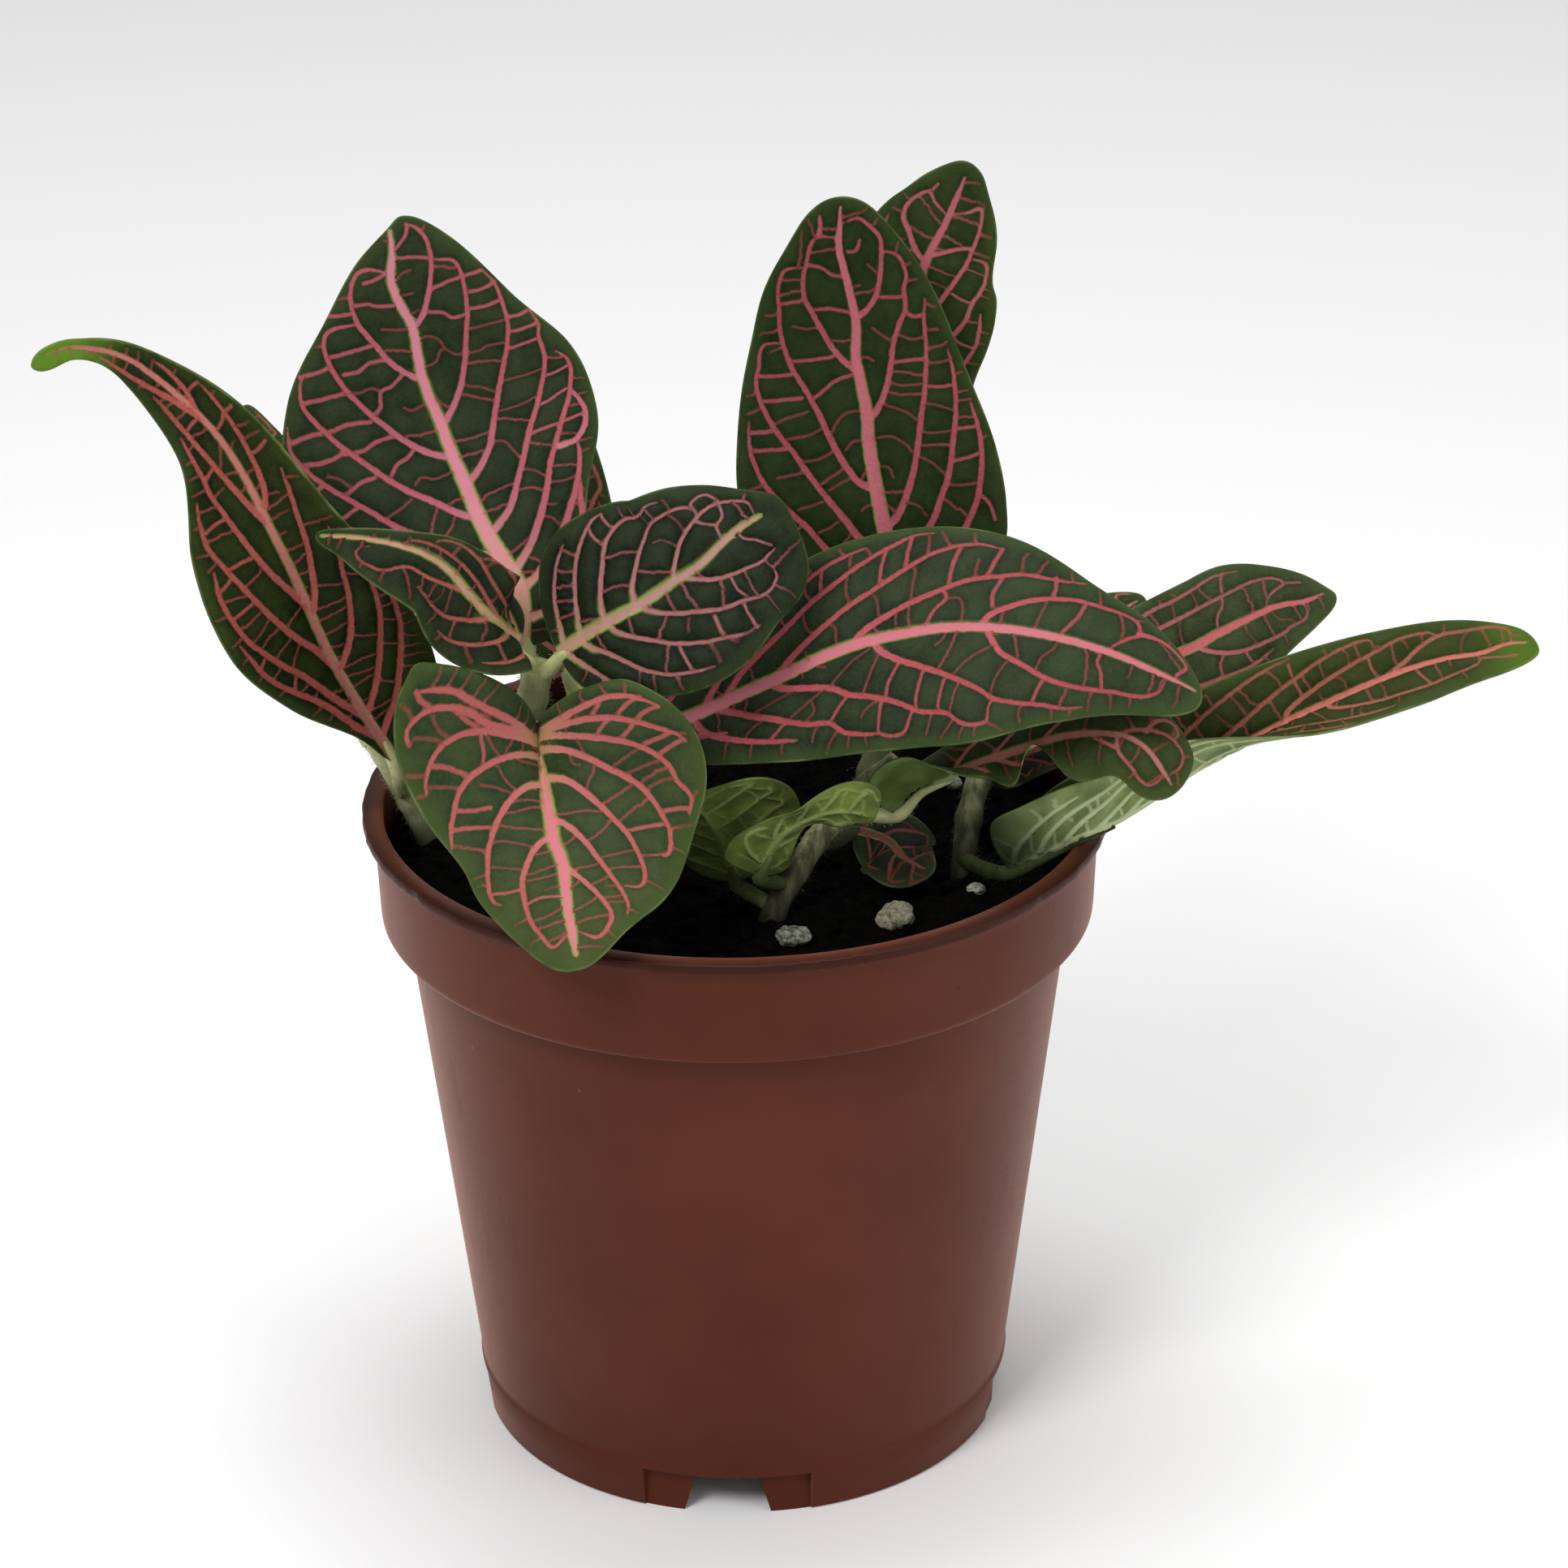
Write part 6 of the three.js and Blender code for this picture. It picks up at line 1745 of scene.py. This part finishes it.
def make_leaf(name, leaf, seed):
    """A blade with its veins in relief, in one piece with its hairy stalk."""
    random = np.random.default_rng(seed)
    blade = Blade(leaf)
    lines = vein_net(leaf, blade, random)
    flat, triangles, edge = blade_net(blade, lines)
    field = vein_field(flat, lines, FIELD_REACH)
    from_midrib = vein_field(flat, lines[:1], FIELD_REACH)[0]
    skins = np.concatenate(blade_skins(blade, flat, field, edge, leaf.get("quilt", 1)))
    total = len(flat)
    faces = closed_faces(triangles, total)
    points, all_faces = join_parts([(skins, faces), *leaf_stalk(leaf, blade, random)])
    extra = len(points) - 2 * total

    def spread(values, other):
        return np.concatenate([values, values, np.full(extra, other)])

    vein, strength, pale, _ = field
    attributes = {
        "vein": spread(vein, 0.4),
        "strength": spread(strength, 1),
        "pale": spread(pale, 0),
        "middle": spread(from_midrib, FIELD_REACH),
        "edge": spread(edge, 5),
        "along": spread(np.clip(flat[:, 1], 0, blade.length) / blade.length, 0.5),
        "under": np.concatenate([np.zeros(total), np.ones(total), np.ones(extra)]),
        "stalk": np.concatenate([np.zeros(2 * total), np.ones(extra)]),
    }
    material = leaf_material(name + "_surface", leaf)
    return make_piece(name + "_blade", points, all_faces, material, name, attributes)


def make_stem(name, stem, seed):
    """A stem with swollen joints and fine hairs."""
    random = np.random.default_rng(seed)
    path = tube_path(stem["path"], 0.5)
    lengths = run_length(path)
    swell = 1 + 0.16 * np.exp(-((lengths % 11) - 5.5) ** 2 / 0.9)
    radii = stem["radius"] * swell * (1 + 0.03 * np.sin(lengths * 1.9))
    fuzz = hairs(path, radii, random, **STEM_HAIRS)
    points, faces = join_parts([tube(path, radii, STEM_SIDES), fuzz])
    material = stem_material(name + "_skin", stem)
    return make_piece(name + "_bark", points, faces, material, name, {"height": points[:, 2]})


def soil_height(x, y):
    """The soil's level, before its crumbs."""
    bumps = np.sin(0.31 * x + 0.4) * np.cos(0.27 * y) + 0.6 * np.sin(0.55 * x - 0.48 * y + 1)
    return SOIL_LEVEL + SOIL_ROUGHNESS * bumps


def taper(z):
    """The pot's outer radius at a height of its tapered wall."""
    return FOOT_RADIUS + (NECK_RADIUS - FOOT_RADIUS) * z / NECK_HEIGHT


def lump(centre, radius, squash, seed, level):
    """A small uneven stone or crumb."""
    shape = bmesh.new()
    bmesh.ops.create_icosphere(shape, subdivisions=level, radius=1)
    shift = Vector((seed * 3.1, seed * 1.7, seed * 0.9))
    points = []
    for vertex in shape.verts:
        uneven = 1 + 0.3 * noise.noise(vertex.co * 1.1 + shift)
        uneven += 0.12 * noise.noise(vertex.co * 3 + shift)
        point = vertex.co * radius * uneven
        points.append((centre[0] + point.x, centre[1] + point.y, centre[2] + point.z * squash))
    shape.verts.ensure_lookup_table()
    faces = [[v.index for v in face.verts] for face in shape.faces]
    shape.free()
    return np.array(points), np.array(faces)


def make_grain(name, grain, seed):
    """A loose stone, sunk a little into the soil."""
    x, y = grain["place"]
    centre = (x, y, float(soil_height(x, y)) + 0.3 * grain["radius"])
    points, faces = lump(centre, grain["radius"] * 0.97, grain["squash"], seed, 4)
    material = grain_material(name + "_mineral", grain["colour"])
    return make_piece(name + "_stone", points, faces, material, name)


def soil_top(outer, turns):
    """The rings of points of the crumbly top, from the first round the middle to the edge."""
    points = []
    for radius in [*np.arange(0, outer, SOIL_STEP)[1:], outer]:
        for x, y, _ in level_circle(radius, 0, turns):
            place = Vector((x, y, 0))
            rough = 0.9 * noise.fractal(place * 0.35, 0.6, 2.1, 5)
            rough += 0.35 * noise.noise(place * 2.1 + Vector((9, 2, 4)))
            drop = -1.2 if radius > outer - 0.1 else 0
            points.append((x, y, float(soil_height(x, y)) + rough + drop))
    return points


def soil_profile(outer):
    """The soil's side and underside in section as (radius, height), down to the pot's floor."""
    shoulder = NECK_HEIGHT - 0.7

    def inner(z):
        return taper(z) - WALL - SOIL_WALL_GAP

    return [
        (outer, shoulder + 2.2), (inner(shoulder), shoulder), (inner(40), 40),
        (inner(FLOOR_TOP + 2), FLOOR_TOP + 2), (inner(FLOOR_TOP) - 1.2, FLOOR_TOP + SOIL_WALL_GAP),
    ]


def soil_body(outer):
    """The soil as one closed body. Returns its points and faces."""
    sides = SOIL_SIDES
    turns = np.arange(sides) * 2 * np.pi / sides
    points = [(0, 0, float(soil_height(0, 0))), *soil_top(outer, turns)]
    for radius, z in soil_profile(outer):
        points += level_circle(radius, z, turns)
    rows = (len(points) - 1) // sides
    points.append((0, 0, FLOOR_TOP + SOIL_WALL_GAP))
    last = 1 + (rows - 1) * sides
    faces = []
    for k in range(sides):
        n = (k + 1) % sides
        faces.append((0, 1 + k, 1 + n))
        faces.append((last + n, last + k, len(points) - 1))
        for row in range(rows - 1):
            a, b = 1 + row * sides + k, 1 + row * sides + n
            faces += [(a, a + sides, b + sides), (a, b + sides, b)]
    return np.array(points), np.array(faces)


def make_soil():
    """The soil's body with loose crumbs sunk into its top."""
    random = np.random.default_rng(7)
    outer = BAND_RADIUS - WALL - SOIL_EDGE_GAP
    parts = [soil_body(outer)]
    for i in range(SOIL_CRUMBS):
        radius = outer * math.sqrt(random.random()) * 0.97
        angle = random.uniform(0, 2 * math.pi)
        x, y = radius * math.cos(angle), radius * math.sin(angle)
        size = random.uniform(0.35, 1.25)
        centre = (x, y, float(soil_height(x, y)) + 0.25 * size)
        parts.append(lump(centre, size, random.uniform(0.5, 0.9), i + 20, 2))
    points, faces = join_parts(parts)
    return make_piece("soil_crumbs", points, faces, soil_material(), "soil")


def pot_profile():
    """The pot's wall in section as (radius, height), up the outside and down the inside."""
    neck = NECK_HEIGHT
    lip_bottom = POT_HEIGHT - LIP_HEIGHT
    outer = [
        (FOOT_RADIUS + SKIRT_STEP - 0.25, 0), (FOOT_RADIUS + SKIRT_STEP, 0.25),
        (taper(3) + SKIRT_STEP, 3), (taper(SKIRT_HEIGHT) + SKIRT_STEP, SKIRT_HEIGHT - 0.1),
        (taper(SKIRT_HEIGHT) + SKIRT_STEP - 0.06, SKIRT_HEIGHT + 0.05),
        (taper(SKIRT_HEIGHT + 0.3), SKIRT_HEIGHT + 0.3),
    ]
    outer += [(taper(z), z) for z in np.linspace(SKIRT_HEIGHT + 1, neck - 1.2, 22)]
    outer += [
        (NECK_RADIUS - 0.05, neck - 0.5), (NECK_RADIUS + 0.15, neck - 0.1),
        (NECK_RADIUS + 0.6, neck + 0.05), (BAND_RADIUS - 1.2, neck + 0.12),
        (BAND_RADIUS - 0.75, neck + 0.25), (BAND_RADIUS - 0.5, neck + 0.6),
        (BAND_RADIUS - 0.45, neck + 1.1),
    ]
    outer += [(BAND_RADIUS - 0.44 + 0.4 * part, neck + 1.1 + part * (lip_bottom - neck - 1.9))
              for part in np.linspace(0.1, 1, 8)]
    outer += [
        (BAND_RADIUS + 0.1, lip_bottom - 0.35), (BAND_RADIUS + 0.5, lip_bottom - 0.1),
        (LIP_RADIUS - 0.25, lip_bottom), (LIP_RADIUS - 0.04, lip_bottom + 0.12),
        (LIP_RADIUS, lip_bottom + 0.4), (LIP_RADIUS - 0.02, POT_HEIGHT - 0.35),
        (LIP_RADIUS - 0.15, POT_HEIGHT - 0.1), (LIP_RADIUS - 0.45, POT_HEIGHT),
    ]
    inner = [
        (BAND_RADIUS - WALL + 0.35, POT_HEIGHT), (BAND_RADIUS - WALL + 0.05, POT_HEIGHT - 0.15),
        (BAND_RADIUS - WALL, POT_HEIGHT - 0.5), (BAND_RADIUS - WALL - 0.1, POT_HEIGHT - 7),
        (BAND_RADIUS - WALL - 0.2, neck + 1.2), (NECK_RADIUS - WALL, neck - 0.6), (taper(40) - WALL, 40),
        (taper(FLOOR_TOP + 1) - WALL, FLOOR_TOP + 1), (taper(FLOOR_TOP) - WALL - 0.4, FLOOR_TOP + 0.2),
        (taper(FLOOR_TOP) - WALL - 1, FLOOR_TOP), (DRAIN_CIRCLE, FLOOR_TOP), (0, FLOOR_TOP),
        (0, FLOOR_TOP - WALL), (DRAIN_CIRCLE, FLOOR_TOP - WALL),
        (FOOT_RADIUS - WALL - 0.4, FLOOR_TOP - WALL), (FOOT_RADIUS - WALL, FLOOR_TOP - WALL - 0.4),
        (FOOT_RADIUS - WALL, 0.2), (FOOT_RADIUS - WALL + 0.2, 0),
    ]
    return outer + inner


def lathe(profile, sides):
    """A closed body of revolution from a closed section. Points on the axis are shared."""
    points, rows = [], []
    turns = np.arange(sides) * 2 * np.pi / sides
    for radius, z in profile:
        if radius == 0:
            rows.append([len(points)] * sides)
            points.append((0, 0, z))
        else:
            rows.append(list(range(len(points), len(points) + sides)))
            points += level_circle(radius, z, turns)
    faces = []
    for i, row in enumerate(rows):
        after = rows[(i + 1) % len(rows)]
        for k in range(sides):
            n = (k + 1) % sides
            quad = (row[k], row[n], after[n], after[k])
            for face in ((quad[0], quad[1], quad[2]), (quad[0], quad[2], quad[3])):
                if len(set(face)) == 3:
                    faces.append(face)
    return np.array(points, float), np.array(faces)


def prism(corners, low, high, axis_turn):
    """A closed prism turned on the axis. Each corner gives its own place at the low and the high end."""
    shape = bmesh.new()
    lower = [shape.verts.new(corner(low)) for corner in corners]
    upper = [shape.verts.new(corner(high)) for corner in corners]
    shape.faces.new(lower)
    shape.faces.new(list(reversed(upper)))
    count = len(corners)
    for i in range(count):
        j = (i + 1) % count
        shape.faces.new([lower[j], lower[i], upper[i], upper[j]])
    bmesh.ops.recalc_face_normals(shape, faces=shape.faces[:])
    shape.transform(Matrix.Rotation(math.radians(axis_turn), 4, "Z"))
    mesh = bpy.data.meshes.new("cutter")
    shape.to_mesh(mesh)
    shape.free()
    mesh.transform(Matrix.Scale(MM, 4))
    mesh.transform(Matrix.Translation(Vector(POT_AXIS)))
    return add_object("cutter", mesh)


def pot_cutters():
    """The notches, the shallow pockets round them and the drain holes."""
    cutters = []
    notch = [(-NOTCH_BOTTOM_WIDTH / 2, -1), (NOTCH_BOTTOM_WIDTH / 2, -1),
             (NOTCH_TOP_WIDTH / 2, NOTCH_HEIGHT), (-NOTCH_TOP_WIDTH / 2, NOTCH_HEIGHT)]
    notch_corners = [lambda y, c=c: (c[0], y, c[1]) for c in notch]
    span = POCKET_WIDTH / FOOT_RADIUS
    depth_radius = FOOT_RADIUS + SKIRT_STEP - POCKET_DEPTH
    arc = np.linspace(-np.pi / 2 - span / 2, -np.pi / 2 + span / 2, 25)
    pocket = [(depth_radius * math.cos(a), depth_radius * math.sin(a)) for a in arc]
    pocket += [((FOOT_RADIUS + 3) * math.cos(a), (FOOT_RADIUS + 3) * math.sin(a)) for a in arc[::-1]]
    pocket_corners = [lambda z, c=c: (c[0], c[1], z) for c in pocket]
    circle = np.linspace(0, 2 * np.pi, 40, endpoint=False)

    def drain(x):
        ring = [(x + DRAIN_RADIUS * math.cos(a), DRAIN_RADIUS * math.sin(a)) for a in circle]
        return [lambda z, p=p: (p[0], p[1], z) for p in ring]

    cutters.append(prism(drain(0), FLOOR_TOP - 3, FLOOR_TOP + 3, 0))
    for i in range(NOTCH_COUNT):
        turn = NOTCH_TURN + 360 * i / NOTCH_COUNT
        cutters.append(prism(notch_corners, -FOOT_RADIUS - 4, -FOOT_RADIUS + 4, turn))
        cutters.append(prism(pocket_corners, -1, POCKET_HEIGHT, turn))
        drain_turn = 45 + 360 * i / NOTCH_COUNT
        cutters.append(prism(drain(DRAIN_CIRCLE), FLOOR_TOP - 3, FLOOR_TOP + 3, drain_turn))
    return cutters


def make_pot():
    """The pot with its ragged lip, its notches and its drain holes."""
    random = np.random.default_rng(3)
    points, faces = lathe(pot_profile(), POT_SIDES)
    radius = np.hypot(points[:, 0], points[:, 1])
    turn = np.arctan2(points[:, 1], points[:, 0])
    rim = np.clip((radius - BAND_RADIUS - 0.3) / (LIP_RADIUS - BAND_RADIUS - 0.3), 0, 1)
    rim *= np.clip((points[:, 2] - POT_HEIGHT + LIP_HEIGHT + 0.2) / 0.3, 0, 1)
    ragged = np.zeros(len(points))
    for count, size in ((5, 0.05), (13, 0.035), (31, 0.04), (67, 0.035)):
        ragged += size * np.sin(count * turn + random.uniform(0, 6.28))
    nicks = np.zeros(len(points))
    for _ in range(LIP_NICKS):
        spot = random.uniform(-np.pi, np.pi)
        wide = random.uniform(0.008, 0.02)
        off = np.angle(np.exp(1j * (turn - spot)))
        nicks += random.uniform(0.1, 0.35) * np.exp(-(off / wide) ** 2)
    factor = 1 + rim * (ragged - 0.12 - nicks) / np.maximum(radius, 1)
    points[:, 0] *= factor
    points[:, 1] *= factor
    mesh = new_mesh("pot_shell", points, faces)
    shape = bmesh.new()
    shape.from_mesh(mesh)
    bmesh.ops.recalc_face_normals(shape, faces=shape.faces[:])
    shape.to_mesh(mesh)
    shape.free()
    piece = add_object("pot_shell", mesh)
    cutters = pot_cutters()
    for cutter in cutters:
        cut = piece.modifiers.new("cut", "BOOLEAN")
        cut.operation = "DIFFERENCE"
        cut.solver = "MANIFOLD"
        cut.object = cutter
    graph = bpy.context.evaluated_depsgraph_get()
    final = bpy.data.meshes.new_from_object(piece.evaluated_get(graph))
    piece.modifiers.clear()
    piece.data = final
    for cutter in cutters:
        bpy.data.objects.remove(cutter)
    places = np.empty(len(final.vertices) * 3, np.float32)
    final.vertices.foreach_get("co", places)
    places = (places.reshape(-1, 3) - POT_AXIS) / MM
    radius = np.hypot(places[:, 0], places[:, 1])
    below_rim = POT_HEIGHT - places[:, 2]
    # The lip, which the material darkens as painted shade.
    lip = np.clip((radius - BAND_RADIUS - 0.25) / 0.8, 0, 1) * (below_rim < LIP_HEIGHT + 0.3)
    # The inner wall below the rim, which the material darkens as painted shade.
    inside = np.clip((BAND_RADIUS - WALL + 0.25 - radius) / 0.2, 0, 1) * np.clip(below_rim, 0, 1)
    inside *= places[:, 2] > POT_HEIGHT - BAND_HEIGHT
    add_values(final, {"height": places[:, 2], "lip": lip, "inside": inside})
    final.materials.clear()
    final.materials.append(pot_material())
    final.shade_smooth()
    final.set_sharp_from_angle(angle=math.radians(32))
    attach(piece, "root")
    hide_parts("pot")
    return piece


# Camera, light and floor

def make_camera():
    """The photograph's viewpoint, at its distance from the middle of the pot's top."""
    elevation = math.radians(CAMERA_ELEVATION)
    back = Vector((0, -math.cos(elevation), math.sin(elevation)))
    right = Vector((1, 0, 0))
    base = Matrix((right, back.cross(right), back))
    turn = Matrix.Rotation(math.radians(CAMERA_ROLL), 3, "Z")
    turn @= Matrix.Rotation(math.radians(CAMERA_TILT), 3, "X")
    turn @= Matrix.Rotation(math.radians(CAMERA_PAN), 3, "Y")
    rotation = (turn @ base).transposed()
    place = Vector(POT_AXIS) + (back * CAMERA_DISTANCE + Vector((0, 0, POT_HEIGHT))) * MM
    data = bpy.data.cameras.new("camera")
    data.sensor_width = 36
    data.lens = FOCAL_LENGTH_PX / IMAGE_WIDTH_PX * data.sensor_width
    data.clip_start = 0.01
    camera = add_object("camera", data)
    camera.matrix_world = Matrix.Translation(place) @ rotation.to_4x4()
    bpy.context.scene.camera = camera


def add_light(name, place, size, watts):
    """A soft square light that faces the plant."""
    data = bpy.data.lights.new(name, "AREA")
    data.shape = "SQUARE"
    data.size = size
    data.energy = watts
    light = add_object(name, data)
    light.location = place
    light.rotation_euler = (Vector(LIGHT_TARGET) - Vector(place)).to_track_quat("-Z", "Y").to_euler()


def make_stage():
    """A plain pale floor in soft studio light."""
    mesh = bpy.data.meshes.new("floor")
    corners = [(-1, -1), (1, -1), (1, 1), (-1, 1)]
    mesh.from_pydata([(x * FLOOR_REACH, y * FLOOR_REACH, 0) for x, y in corners], [], [(0, 1, 2, 3)])
    mesh.materials.append(floor_material())
    floor = add_object("floor", mesh)
    world = bpy.data.worlds.new("studio")
    world.use_nodes = True
    world.node_tree.nodes["Background"].inputs["Color"].default_value = (1, 1, 1, 1)
    world.node_tree.nodes["Background"].inputs["Strength"].default_value = 0.5
    bpy.context.scene.world = world
    for name, light in LIGHTS.items():
        add_light(name, light["place"], light["size"], light["watts"])
    bpy.context.scene.view_settings.view_transform = "Standard"


make_camera()
make_stage()
make_pot()
make_soil()
for number, (name, grain) in enumerate(GRAINS.items()):
    make_grain(name, grain, number + 1)
for number, (name, stem) in enumerate(STEMS.items()):
    make_stem(name, stem, 100 + number)
for number, (name, leaf) in enumerate(LEAVES.items()):
    make_leaf(name, leaf, 200 + number)
